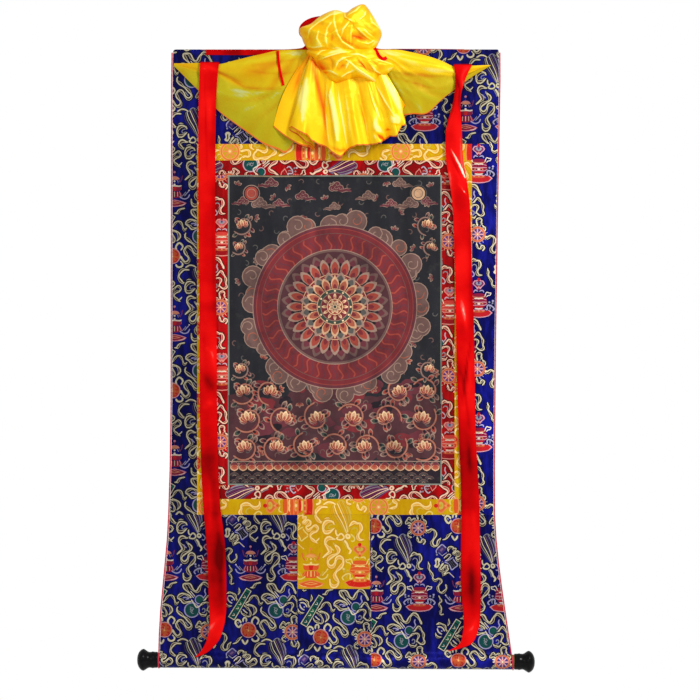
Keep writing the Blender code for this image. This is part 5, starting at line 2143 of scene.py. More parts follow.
    def glory(self) -> None:
        """Paint the great plum disc with its lobed rim and its rays."""
        for tone, grow in ((Pigment.TAN, 1.6), (Pigment.UMBER, 0.0)):
            for k in range(self.lobes):
                _, spot = self.lobe(k, 158)
                self.lay(tone, ring_of(*spot, 17 + 3 * math.sin(k * 3.1) + grow, 16))
        for k in range(self.lobes):
            turn, spot = self.lobe(k, 160)
            curl = [polar(*spot, 12.5 - 1.5 * step, turn + 0.95 * step) for step in range(7)]
            self.stroke(Pigment.TAN if k % 3 else Pigment.BRICK, 1.5, curl)
        self.rings(
            72, (154.0, Pigment.TAN), (152.4, Pigment.PLUM), (147.0, Pigment.RUST),
            (145.8, Pigment.WINE), (138.0, Pigment.UMBER), (137.0, Pigment.WINE),
        )
        bends = ((106, 0.0), (114, 0.035), (122, 0.0), (130, -0.03), (136, 0.0))
        for k in range(72):
            turn = 2 * math.pi * k / 72
            ray = [polar(*self.middle, reach, turn + bend) for reach, bend in bends]
            self.stroke(Pigment.RUST if k % 2 else Pigment.PLUM, 2.6, ray)

    def crown(
        self, count: int, shift: float, start: float, length: float, half: float,
        body: Pigment, rim: Pigment, tip: Pigment,
    ) -> None:
        """Paint a ring of petals around the great disc's middle.

        Args:
            count: how many petals.
            shift: how far they are turned, as a share of a petal.
            start: how far from the middle they begin.
            length: their length.
            half: half their width.
            body: their colour.
            rim: the colour of their edges.
            tip: the colour of their inner halves.
        """
        for k in range(count):
            turn = 2 * math.pi * (k + shift) / count
            self.petal(*self.middle, turn, start, length, half, body, rim, tip)

    def pearls(self, count: int, reach: float, radius: float, tone: Pigment) -> None:
        """Paint a ring of pearls around the great disc's middle."""
        for k in range(count):
            spot = polar(*self.middle, reach, 2 * math.pi * k / count)
            self.lay(tone, ring_of(*spot, radius, 8))

    def wheel(self) -> None:
        """Paint the lotus wheel inside the great disc."""
        bone, brick, deep, flesh = Pigment.BONE, Pigment.BRICK, Pigment.DEEP, Pigment.FLESH
        moss, plum, rust, slate = Pigment.MOSS, Pigment.PLUM, Pigment.RUST, Pigment.SLATE
        tan, umber, wine = Pigment.TAN, Pigment.UMBER, Pigment.WINE
        self.rings(64, (108.0, tan), (106.6, umber), (103.0, Pigment.DUSK))
        self.crown(24, 0.5, 66, 35, 9.6, plum, umber, deep)
        self.crown(24, 0.0, 58, 33, 8.8, rust, tan, wine)
        self.rings(48, (62.0, flesh), (60.6, wine), (54.0, umber))
        self.pearls(20, 57.3, 1.7, flesh)
        self.crown(16, 0.5, 36, 30, 9.0, slate, tan, deep)
        self.crown(16, 0.0, 30, 27, 7.6, brick, flesh, wine)
        self.rings(
            32, (34.0, flesh), (32.6, moss), (27.0, tan), (25.8, wine), (15.0, bone), (13.8, rust)
        )
        self.pearls(12, 29.8, 1.9, bone)
        self.crown(12, 0.0, 14.6, 10.4, 2.6, flesh, bone, brick)
        self.crown(8, 0.5, 3.2, 9.8, 3.2, flesh, bone, tan)
        self.rings(14, (4.0, bone))
        self.rings(12, (2.8, moss))

    def shore(self) -> None:
        """Paint the two tiers of petals and the water along the bottom."""
        left, right = self.left + 3, self.right - 3
        base = self.bottom - 3
        start, run = left + 9, right - left - 18
        self.lay(Pigment.DEEP, box_of(left, base - 36, right, base))
        for down, count, length, half, body, rim, tip in (
            (40.0, 25, 15.0, 8.6, Pigment.WINE, Pigment.TAN, Pigment.PLUM),
            (35.0, 24, 12.0, 8.0, Pigment.BRICK, Pigment.FLESH, Pigment.RUST),
        ):
            for k in range(count):
                x = start + run * k / (count - 1)
                self.petal(x, base - down, math.pi / 2, 0, length, half, body, rim, tip)
        line = ((left, base - 41), (left + 200, base - 41.4), (right, base - 41))
        self.stroke(Pigment.TAN, 1.8, line)
        waves = 17
        for row in range(3):
            y = base - 13 + row * 6.4
            for k in range(waves):
                x = start + run * (k + 0.5 * (row % 2)) / waves
                for grow, tone in ((9.0, Pigment.UMBER), (6.4, Pigment.SLATE), (3.6, Pigment.TAN)):
                    arc = [
                        (x + grow * math.cos(a), y - grow * 0.8 * math.sin(a))
                        for a in (0.2, 0.8, 1.57, 2.34, 2.94)
                    ]
                    self.stroke(tone, 1.1, arc)

    def sheet(self) -> Inlay:
        """The flat sheet with every painted area.

        Returns:
            The sheet.
        """
        left, right = self.left + GAP / 2, self.right - GAP / 2
        top, bottom = self.top + GAP / 2, self.bottom - GAP / 2
        wide, tall = self.steps
        outline = [(left + (right - left) * k / wide, top) for k in range(wide)]
        outline += [(right, top + (bottom - top) * k / tall) for k in range(tall)]
        outline += [(right - (right - left) * k / wide, bottom) for k in range(wide)]
        outline += [(left, bottom - (bottom - top) * k / tall) for k in range(tall)]
        spots = [
            (left + (right - left) * (i + 0.5 * (j % 2)) / wide, top + (bottom - top) * j / tall)
            for i in range(1, wide)
            for j in range(1, tall)
        ]
        held = []
        for tone, shape in self.areas:
            kept = [
                (within(x, left + 1, right - 1), within(y, top + 1, bottom - 1)) for x, y in shape
            ]
            held.append((tone, kept))
        return Inlay(outline, held, spots, Pigment.EDGE)

    def build(self, finish: bpy.types.Material) -> bpy.types.Object:
        """Paint every part of the picture and make its sheet.

        Args:
            finish: the painted canvas's material.

        Returns:
            The sheet's object.
        """
        for paint in (
            self.sky, self.haze, self.sprigs, self.meadow, self.lights, self.glory, self.wheel,
            self.shore,
        ):
            paint()
        flat, triangles, shown = self.sheet().triangles()
        skin = Skin(
            [HANG.point(x, along) for x, along in flat],
            [(a, c, b) for a, b, c in triangles],
            flat,
            [pigment.value for pigment in shown],
            [self.canvas] * len(triangles),
        )
        skin.plain_back(12.0)
        return skin.close("painted_canvas", CLOTH, finish)


# ---------------------------------------------------------------- silk cover
def beside(points: Sequence[Point2], x: float, z: float) -> tuple[float, float, float]:
    """How a place lies beside a line.

    Args:
        points: the line's points.
        x: the place across.
        z: the place above the cloth's top edge.

    Returns:
        The distance, the share of the line passed there, and the side: above 0 on its left.
    """
    nearest, share, side = 1e9, 0.0, 0.0
    count = len(points) - 1
    for index in range(count):
        ax, az = points[index]
        dx, dz = points[index + 1][0] - ax, points[index + 1][1] - az
        t = min(max(((x - ax) * dx + (z - az) * dz) / (dx * dx + dz * dz), 0.0), 1.0)
        distance = math.hypot(x - ax - t * dx, z - az - t * dz)
        if distance < nearest:
            nearest = distance
            share = (index + t) / count
            side = dx * (z - az) - dz * (x - ax)
    return nearest, share, side


@dataclass(frozen=True)
class Crease:
    """A soft ridge (+) or trough (-) along a line across the front, with painted shade along it
    where its tone is above 0 and a painted highlight where it is below.
    """

    width: float
    rise: float
    tone: float  # painted shade above 0, painted highlight below 0
    points: tuple[Point2, ...]  # across, and above the cloth's top edge

    def at(self, x: float, z: float) -> Point2:
        """How far the cloth rises at a place, and how much painted shade it gets (a painted
        highlight below 0).
        """
        distance, share, _ = beside(self.points, x, z)
        if distance > 4.5 * self.width:
            return 0.0, 0.0
        ends = 0.35 + 0.65 * math.sin(math.pi * min(max(share, 0.06), 0.94))
        near = distance / self.width
        return (
            self.rise * math.exp(-(near**1.15)) * ends,
            self.tone * math.exp(-((near * 1.3) ** 1.5)) * ends,
        )


@dataclass(frozen=True)
class Lip:
    """The edge of a fold that lies over the cloth beside it, raised on the left of its line, with a
    painted highlight on its crest and a painted shadow beside it.
    """

    rise: float
    reach: float  # how far from the edge the raised side comes down again
    points: tuple[Point2, ...]  # across, and above the cloth's top edge
    # crest: the painted highlight along the edge; shadow: the painted shadow beside it
    crest: float = 0.75
    shadow: float = 0.42

    def at(self, x: float, z: float) -> Point2:
        """How far the cloth rises at a place, and how much painted shade it gets (a painted
        highlight below 0).
        """
        distance, share, side = beside(self.points, x, z)
        if distance > 3 * self.reach:
            return 0.0, 0.0
        ends = math.sin(math.pi * min(max(share, 0.04), 0.96)) ** 0.5
        crest = self.crest * math.exp(-((distance / 1.5) ** 2))
        if side > 0:
            return self.rise * math.exp(-distance / self.reach) * ends, -crest * ends
        drop = math.exp(-((distance / 1.3) ** 2))
        shadow = self.shadow * math.exp(-distance / 3.2) * ease(distance / 1.6)
        return self.rise * drop * ends, (shadow - crest * drop) * ends


def crease_at(creases: Sequence[Crease | Lip], x: float, z: float) -> Point2:
    """What all the creases together add at one place: the rise and the painted shade."""
    found = [crease.at(x, z) for crease in creases]
    return sum(rise for rise, _ in found), sum(tone for _, tone in found)


def ridge_at(x: float, y: float, seed: float) -> float:
    """A random field from -1 to 1 whose high places are sharp, as pinched cloth is."""
    return 1 - 3.4 * abs(noise_at(x, y, seed))


def rays_at(x: float, z: float, gather: Point2, seed: float) -> float:
    """Sharp small folds that run out from where the cloth is gathered."""
    dx, dz = x - gather[0], z - gather[1]
    reach = math.hypot(dx, dz)
    turn = math.atan2(dz, abs(dx))
    return ridge_at(turn * 5.5 + 0.4 * noise_at(x / 30, z / 30, seed), reach / 150, seed)


def cloth_front(x: float, z: float) -> float:
    """The y of the hanging cloth's middle behind a piece that lies in front of it."""
    return HANG.ripple(x, -z) if z < 0 else 0.0


# a wing's sections from its tip to the middle: place across, top edge, fold line and hem below the
# cloth's top, and how far the band, the fold, the belly and the hem stand forward
LEFT_WING = (
    (-303, 26.6, 28.6, 31, 3.2, 3.2, 3.2, 3.2), (-280, 26.4, 36, 54, 4, 3.2, 4.4, 3.3),
    (-254, 26, 44, 80, 4.8, 3.3, 5.6, 3.4), (-220, 28.3, 52, 115, 5.6, 3.4, 7, 3.6),
    (-190, 21.4, 66, 138, 8, 3.6, 9, 4), (-162, 14.3, 72, 158, 9.6, 3.8, 10, 4.4),
    (-136, 8.4, 74, 176.7, 9.6, 3.8, 9, 4.6), (-110, 2.4, 74, 187, 7.6, 3.6, 7, 4),
    (-91, 1.4, 70, 191.7, 6, 3.4, 4.6, 3.4), (-66, 1.2, 54, 150, 5.6, 3.3, 3.6, 3.3),
    (-40, 1.2, 40, 96, 5.6, 3.3, 3.6, 3.3),
)
RIGHT_WING = (
    (288.5, 29.6, 30.2, 31, 3.2, 3.2, 3.2, 3.2), (268, 30.4, 36, 43, 4.4, 3.3, 4.2, 3.3),
    (246, 31.2, 45, 57, 5.6, 3.4, 5.4, 3.4), (221, 32.6, 50, 76, 6.4, 3.5, 6.4, 3.5),
    (198, 22.3, 48, 94, 9, 3.8, 8.6, 3.8), (171, 13, 46, 119.6, 11, 4, 10.4, 4.4),
    (144, 6.5, 43, 121.4, 11.4, 4.2, 11, 4.8), (118, 1.6, 40, 122.5, 9.6, 4, 8.6, 4.2),
    (90, 1.2, 36, 106, 6.4, 3.6, 4.6, 3.4), (60, 1.2, 34, 90, 5.6, 3.3, 3.6, 3.3),
    (34, 1.2, 32, 76, 5.6, 3.3, 3.6, 3.3),
)
# the skirt's fold lines, each from the neck to the hem: across, down and forward at both ends
SKIRT_FOLDS = (
    (-50, 6, 9.5, -117, 145.5, 11), (-48, 12, 9, -82, 171.5, 9.5), (-44, 18, 8.8, -38, 185, 9.5),
    (-46, 16, 12, -61, 170, 14), (-48, 12, 15.5, -85, 147.5, 19), (-44, 18, 21, -59, 160, 31),
    (-30, 30, 17, -21, 182, 17), (-13, 41, 22, 6, 202, 28), (0, 47, 19, 21, 190, 18),
    (19, 48, 23, 39, 182.5, 31), (37, 48, 19, 60, 180.5, 17), (54, 46, 22, 79, 178, 28),
    (69, 43, 18, 97, 165.5, 16), (80, 40, 19, 117, 156, 26), (86, 40, 15, 126, 136, 14),
    (90, 40, 11, 129, 106, 9.5),
)
# outline points around the rosette's two bunches
CROWN_OUTLINE = (
    (-68.3, 36.5), (-48, 45.5), (-28, 61.1), (-2.4, 71.2), (18.7, 66.6), (33.1, 75.9), (49.2, 82.4),
    (58, 77), (74.4, 51.2), (84.6, 29), (78.5, 10.3), (67.3, -6.5), (45, -13.5), (17, -14),
    (-14, -14), (-41, -12.2), (-57, 6.5), (-63.6, 21.5),
)
PUFF_OUTLINE = (
    (-52.4, -3), (-43, -19.6), (-26.2, -41.3), (-14.2, -58.9), (-0.4, -65.3), (21.3, -62.6),
    (33.7, -55.2), (50, -57), (72.4, -62.6), (81, -52), (94.1, -48.2), (109.4, -33.8), (99, -24),
    (84.2, -15.9), (70, 2), (10, 10),
)
# the creases of each part; each tone is painted shade above 0 and a painted highlight below 0
LEFT_CREASES = (
    Crease(9, 1, -0.6, ((-58, -6), (-76, -9), (-98, -10))),
    Crease(5, -1.6, 0.55, ((-218.8, -44.5), (-194.5, -57), (-170.2, -72), (-138.4, -75),
        (-104.7, -74.6))),
    Crease(4, 2.2, -0.3, ((-203.8, -74.6), (-179.5, -79.5), (-147.7, -81), (-104.7, -79.8))),
    Crease(12, 1, -0.35, ((-228.1, -31.8), (-179.5, -27.1), (-138.4, -19.6), (-97.2, -15.9))),
    Crease(3, -1, 0.35, ((-82.3, -68.3), (-97.2, -90.7), (-119.7, -113.1), (-138.4, -128.1))),
    Crease(3.4, 1.2, -0.25, ((-82.3, -75.7), (-89.8, -101.9), (-104.7, -131.8), (-112.2, -154.3))),
    Crease(3, -1.2, 0.4, ((-78.5, -83.2), (-82.3, -113.1), (-89.8, -143.1), (-97.2, -169.2))),
    Crease(3, 0.9, -0.2, ((-93.5, -68.3), (-119.7, -90.7), (-149.6, -105.7), (-168.3, -113.1))),
    Crease(2.6, -0.8, 0.3, ((-104.7, -75.7), (-138.4, -90.7), (-172, -98.2), (-205.7, -94.4))),
    Crease(2.6, 0.8, -0.2, ((-123.4, -79.5), (-160.8, -87), (-198.2, -87), (-231.9, -75.7))),
    Crease(3, -0.9, 0.3, ((-168.3, -64.5), (-194.5, -53.3), (-220.7, -42.1), (-246.8, -34.6))),
    Crease(3, 0.8, -0.25, ((-67.3, -0.9), (-93.5, -8.4), (-123.4, -12.2), (-153.3, -15.9))),
    Crease(3, -0.9, 0.3, ((-63.6, -15.9), (-93.5, -23.4), (-123.4, -27.1), (-157.1, -30.9))),
    Crease(2.6, -0.8, 0.25, ((-67.3, -42.1), (-93.5, -45.8), (-127.2, -45.8), (-160.8, -42.1))),
)
RIGHT_CREASES = (
    Crease(5, -1.8, 0.5, ((110.3, -45.8), (142.1, -46.8), (175.8, -50.5), (220.7, -51.4))),
    Crease(7, 1.6, -0.25, ((104.7, -30.9), (138.4, -36.5), (179.5, -40.2), (224.4, -42.1))),
    Crease(10, 1, -0.4, ((84, -6), (112, -12), (146, -22))),
    Crease(3, -1, 0.3, ((97.2, -12.2), (127.2, -15.9), (164.6, -23.4), (194.5, -30.9))),
    Crease(3, 1, -0.2, ((97.2, -57), (127.2, -72), (157.1, -87), (179.5, -94.4))),
    Crease(3, -1.2, 0.4, ((97.2, -49.6), (134.6, -60.8), (172, -72), (205.7, -75.7))),
    Crease(3.4, -1, 0.35, ((101, -72), (119.7, -87), (134.6, -105.7), (142.1, -118.7))),
    Crease(3, 1, -0.25, ((101, -64.5), (127.2, -83.2), (149.6, -101.9), (160.8, -116.9))),
    Crease(3, -0.9, 0.3, ((231.9, -38.3), (250.6, -38.3), (269.3, -35.5), (284.2, -31.6))),
)
CROWN_CREASES = (
    Lip(
        3.4, 7,
        (
            (59.9, -6.9), (41.7, -7.8), (28, -1.4), (12, 8.2), (3.4, 21.9), (-0.5, 33.3),
            (-3.5, 47), (-2.8, 58.4), (-1.2, 70.2),
        ),
    ),
    Lip(2.6, 6, ((27.3, 3.6), (28, 19.6), (29.6, 40.1))),
    Lip(3.6, 8, ((34.4, 38.3), (46.2, 26.4), (57.7, 17.3), (67.7, 11.4))),
    Lip(3, 8, ((15.5, 65.7), (17.1, 53.8), (28, 46.5), (34.8, 43.8))),
    Lip(2.2, 5, ((62.7, 59.5), (66.3, 45.8), (82.3, 35.1))),
    Lip(2.6, 7, ((-29, 45.1), (-10.8, 57.9), (10.9, 63.4))),
    Lip(2.6, 6, ((-15.8, 1.3), (-19, 16.2), (-15.8, 32.8), (-7.3, 44.2))),
    Lip(1.8, 5, ((-51.8, 17.3), (-48.4, 31), (-31.3, 45.8), (-17.6, 53.8))),
    Lip(1.8, 5, ((-26.7, 1.3), (-34.7, 15), (-31.3, 31))),
    Lip(1.6, 5, ((21.2, 56.1), (37.1, 67), (48.1, 78.4))),
    Lip(1.6, 5, ((41.7, 47), (53.1, 58.4), (55.8, 67.5))),
    Lip(1.8, 5, ((9.8, 17.3), (14.3, 31), (23.4, 43.5))),
    Lip(1.6, 4, ((71.3, 17.3), (59.9, 24.2), (50.8, 32.8))),
    Lip(1.6, 5, ((-56.4, 4.8), (-40.4, -0.9), (-22.2, 0.2))),
    Lip(1.8, 5, ((48.5, 7), (59.9, 5.9), (71.3, 12.7))),
    Lip(1.5, 5, ((-10.8, -3.2), (5.2, -2.8), (21.2, -6))),
    Crease(5, -5, 0.75, ((31.4, 18.4), (41.7, 16.9), (51.9, 12.7))),
    Crease(7, 2.5, -0.5, ((83.2, 23), (73.6, 10), (63.4, 0.9))),
    Crease(5, 2, -0.45, ((62.2, 67.5), (74.8, 49.2), (83.6, 32.8))),
    Crease(7, 2.5, -0.45, ((-17.6, 58.4), (-3.9, 64.7), (12, 67))),
    Crease(5, -3, 0.5, ((-9.6, 24.2), (-7.3, 13.9), (-10.8, 2.5))),
    Crease(5, -3, 0.45, ((-56.4, 29.9), (-48.4, 17.3), (-45, 1.3))),
    Crease(5, -3, 0.5, ((12, 13.9), (25.7, 4.8), (41.7, -1.4))),
    Crease(6, 2, -0.3, ((-31.3, 53.8), (-45, 43.5), (-58.7, 35.6))),
    Crease(5, -3, 0.4, ((18.9, 60.6), (21.2, 51.5), (32.6, 49.2))),
    Crease(5, -2.5, 0.4, ((50.8, 44.7), (59.9, 35.6), (71.3, 26.4))),
    Crease(6, 2, -0.25, ((38.3, 60.6), (47.4, 67.5), (53.1, 74.3))),
    Crease(6, 2, -0.25, ((-38.1, 24.2), (-37, 10.5), (-31.3, -0.9))),
)
PUFF_CREASES = (
    Lip(2.6, 6, ((-31.3, -23.3), (-10.8, -16.9), (9.8, -11.4), (22.3, -10.1))),
    Lip(2.4, 6, ((-2.1, -43.1), (3.8, -28.8), (14.3, -21.5), (35.3, -16.4))),
    Lip(3, 6, ((76.4, -63), (59.9, -53.8), (41.7, -42.4), (28, -31), (13.4, -20.5))),
    Lip(2.2, 5, ((59.5, -27.8), (73.6, -44.3), (88.2, -50))),
    Lip(2, 5, ((17.7, -42.4), (21.2, -35.1), (26.6, -26))),
    Lip(1.8, 5, ((71.3, -22.6), (87.3, -26), (106, -31.7))),
    Lip(1.8, 5, ((-27.9, -42), (-10.8, -44.3), (5.2, -53.4))),
    Lip(1.8, 5, ((41.7, -21.5), (50.8, -30.6), (59.9, -44.3))),
    Lip(1.6, 5, ((-37, -16.9), (-26.7, -7.8), (-10.8, -3.2))),
    Lip(1.6, 4, ((21.2, -14.6), (41.7, -14.6), (59.9, -21.5))),
    Lip(1.6, 4, ((9.8, -55.7), (21.2, -48.8), (32.6, -44.3))),
    Crease(4.5, 2.5, -0.7, ((-26.3, -18), (-10.8, -11.2), (7.5, -7.1), (17.1, -8))),
    Crease(5.5, 3, -0.8, ((37.1, -41.5), (53.1, -50.6), (73.6, -61.6))),
    Crease(7, 2, -0.55, ((88.4, -44.3), (101, -37.9), (108.3, -33.5))),
    Crease(6, -4, 0.6, ((-34.7, -22.6), (-26.3, -35.1), (-13, -48.8))),
    Crease(5, -3, 0.5, ((5.2, -42), (12, -35.1), (18.9, -28.3))),
    Crease(5, -3, 0.5, ((41.7, -26), (50.8, -35.1), (62.2, -44.3))),
    Crease(5, -3, 0.35, ((-10.8, -21.5), (-6.2, -30.6), (-7.3, -42))),
    Crease(4, -2.5, 0.4, ((59.9, -21.5), (71.3, -30.6), (82.7, -39.7))),
    Crease(5, 2, -0.35, ((-17.6, -42), (-8.5, -53.4), (0.6, -60.7))),
)
SKIRT_CREASES = (
    Crease(8, 1, -0.75, ((-54, -60), (-61.7, -98), (-61, -132))),
    Crease(7, -3, 0.85, ((-44.9, -23.4), (-35.5, -64.5), (-24.3, -113.1), (-18.7, -173))),
    Crease(5, -1.5, 0.6, ((-48.6, -15.9), (-37.4, -30.9), (-22.4, -45.8))),
    Lip(2, 5, ((-7.3, -64.8), (-12.6, -89.9), (-6.7, -124.1), (1.6, -172))),
    Lip(1.6, 5, ((-17.6, -67.1), (-18.3, -112.7), (-16.2, -158.3), (-13.5, -174.3))),
    Lip(1.5, 5, ((2.5, -71.6), (7, -108.1), (12.5, -137.8), (19.3, -176.5))),
    Lip(1.6, 5, ((38.3, -55.7), (46.2, -101.3), (54.9, -135.5), (59.9, -167.4))),
    Lip(1.2, 4, ((59.9, -67.1), (69.1, -101.3), (82.7, -135.5))),
    Crease(1.6, 0.6, -0.12, ((7.5, -79.5), (22.4, -75.7), (37.4, -79.5), (50.5, -98.2))),
    Crease(1.6, 0.6, -0.1, ((13.1, -90.7), (26.2, -90.7), (39.3, -101.9))),
    Crease(1.6, -0.6, 0.12, ((7.5, -87), (24.3, -83.2), (41.1, -90.7))),
    Crease(1.6, 0.5, -0.1, ((18.7, -113.1), (29.9, -115), (44.9, -128.1))),
    Crease(1.6, -0.5, 0.1, ((18.7, -118.7), (29.9, -122.5), (43, -135.6))),
    Lip(1.2, 4, ((73.6, -67.1), (89.6, -96.7), (107.8, -126.4))),
    Lip(1.4, 4, ((-45.9, -18.3), (-56.8, -35.1), (-66, -64.8), (-71.9, -94.4))),
    Lip(1.2, 4, ((-58.7, -67.1), (-62.3, -103.6), (-64.1, -140))),
    Crease(4.5, -2, 0.5, ((39.3, -57), (48.6, -109.4), (58, -161.8))),
    Crease(4, -1.5, 0.4, ((22.4, -94.4), (29.9, -141.2), (37.4, -173))),
    Crease(6.5, 2, -1.15, ((86, -45.8), (104.7, -79.5), (125.3, -118.7))),
    Crease(5, 1.5, -0.7, ((112.2, -126.2), (119.7, -139.3))),
    Crease(4, -2, 0.8, ((71.1, -154.3), (82.3, -167.4), (93.5, -171.1))),
    Crease(4.5, 1.5, -0.8, ((-8, -84), (-1, -130), (4, -172))),
    Crease(4.5, 1, -0.5, ((76.7, -113.1), (72.9, -146.8), (76.7, -161.8))),
    Crease(5, 0, 0.75, ((-15, -182.3), (7.5, -191.7), (29.9, -186.1))),
    Crease(4, -1.5, 0.5, ((59.8, -64.5), (74.8, -98.2), (89.8, -128.1))),
    Crease(4, -1.5, 0.35, ((-65.5, -38.3), (-72.9, -64.5), (-82.3, -94.4))),
    Crease(5, 1, -0.3, ((16.8, -79.5), (24.3, -122.5), (26.2, -165.5))),
    Crease(5.5, 2, -0.75, ((103, -130), (108, -136), (114, -140))),
    Crease(4.5, 1.6, -0.7, ((75, -146), (80, -152), (85, -157))),
    Crease(3.6, 1.4, -0.5, ((70, -160), (73, -166), (75, -171))),
    Crease(3.8, -2.2, 1.1, ((79, -163), (83, -166), (88, -169))),
    Crease(2.8, -1.6, 0.9, ((92, -152), (97, -151), (102, -153))),
    Crease(2.4, -1.2, 0.6, ((106, -142), (112, -143), (119, -142))),
)


SILK_THICK = 1.2
OLIVE: Colour = (0.45, 0.57, 1.0, 1.0)  # where it looks olive, as a share of its colour
HEM: Colour = (0.74, 0.27, 3.6, 1.0)  # its overlocked hem, as a share of its colour


@dataclass
class SilkPart:
    """One part of the gathered silk: a grid of points with a fold depth for each, painted as shade.
    """

    rows: list[list[Vector]]
    folds: list[list[float]]

    def skin(self, size: Point2, hem_rows: int, olive: Point2 = (0.0, 0.0)) -> Skin:
        """Make its surface.

        Args:
            size: the cut cloth's width and length here.
            hem_rows: how many of the last rows are the overlocked hem.
            olive: how olive the colour is above and below the middle fold, from 0 to 1.

        Returns:
            The surface.
        """
        skin = grid_skin(self.rows, self.folds, size)
        wide = len(self.rows[0]) - 1
        tall = len(self.rows) - 1
        for i in range(tall):
            share = olive[0] + (olive[1] - olive[0]) * ease((i / tall - 0.44) / 0.1)
            dyed = tuple(a + (b - a) * share for a, b in zip(WHITE, OLIVE))
            skin.colours[i * wide : (i + 1) * wide] = [dyed] * wide
            skin.backs[i * wide : (i + 1) * wide] = [dyed] * wide
        for i in range(tall - hem_rows, tall):
            for j in range(wide):
                skin.colours[i * wide + j] = HEM
                skin.backs[i * wide + j] = HEM
        return skin


def crumple(x: float, z: float, seed: float) -> float:
    """The sharp-crested unevenness of crushed silk, broad facets with small folds between.

    Args:
        x: the place across.
        z: the place above the cloth's top edge.
        seed: a number for its unevenness.

    Returns:
        How far it rises, from about -1 to 1.
    """
    drift = 9 * noise_at(x / 30, z / 30, seed + 9)
    broad = ridge_at((x + drift) / 34, (z - drift) / 26, seed)
    fine = ridge_at((x + z * 0.5) / 15, (z - x * 0.3) / 12, seed + 4)
    return 0.75 * broad + 0.25 * fine


@dataclass(frozen=True)
class Flutes:
    """Soft flutes along a stretch of the skirt's hem."""

    start: float  # where the stretch begins, as a share of the hem
    span: float  # how long it is, as a share of the hem
    count: int
    fade_in: float
    fade_out: float  # 0 where they go on to the hem's end
    above: float  # how far down the skirt they begin, as a share
    out: float
    lift: float
    aside: float
    mouth: float  # painted shade inside them

    def bend(self, across: float, fall: float) -> tuple[float, float, float, float]:
        """What the flutes do at one place of the skirt.

        Args:
            across: the place along the hem, as a share.
            fall: the place down the skirt, as a share.

        Returns:
            How far the cloth moves out, up and aside, and how much painted shade it gets.
        """
        strength = ease((across - self.start) / self.fade_in)
        strength *= ease((fall - self.above) / (1 - self.above))
        if self.fade_out:
            strength *= ease((self.start + self.span - across) / self.fade_out)
        wave = math.sin(math.pi * (across - self.start) / self.span * self.count)
        mouth = self.mouth * strength * (1 - abs(wave)) ** 2
        up = -strength * self.lift * abs(wave)
        return strength * self.out * wave, up, strength * self.aside * wave, mouth


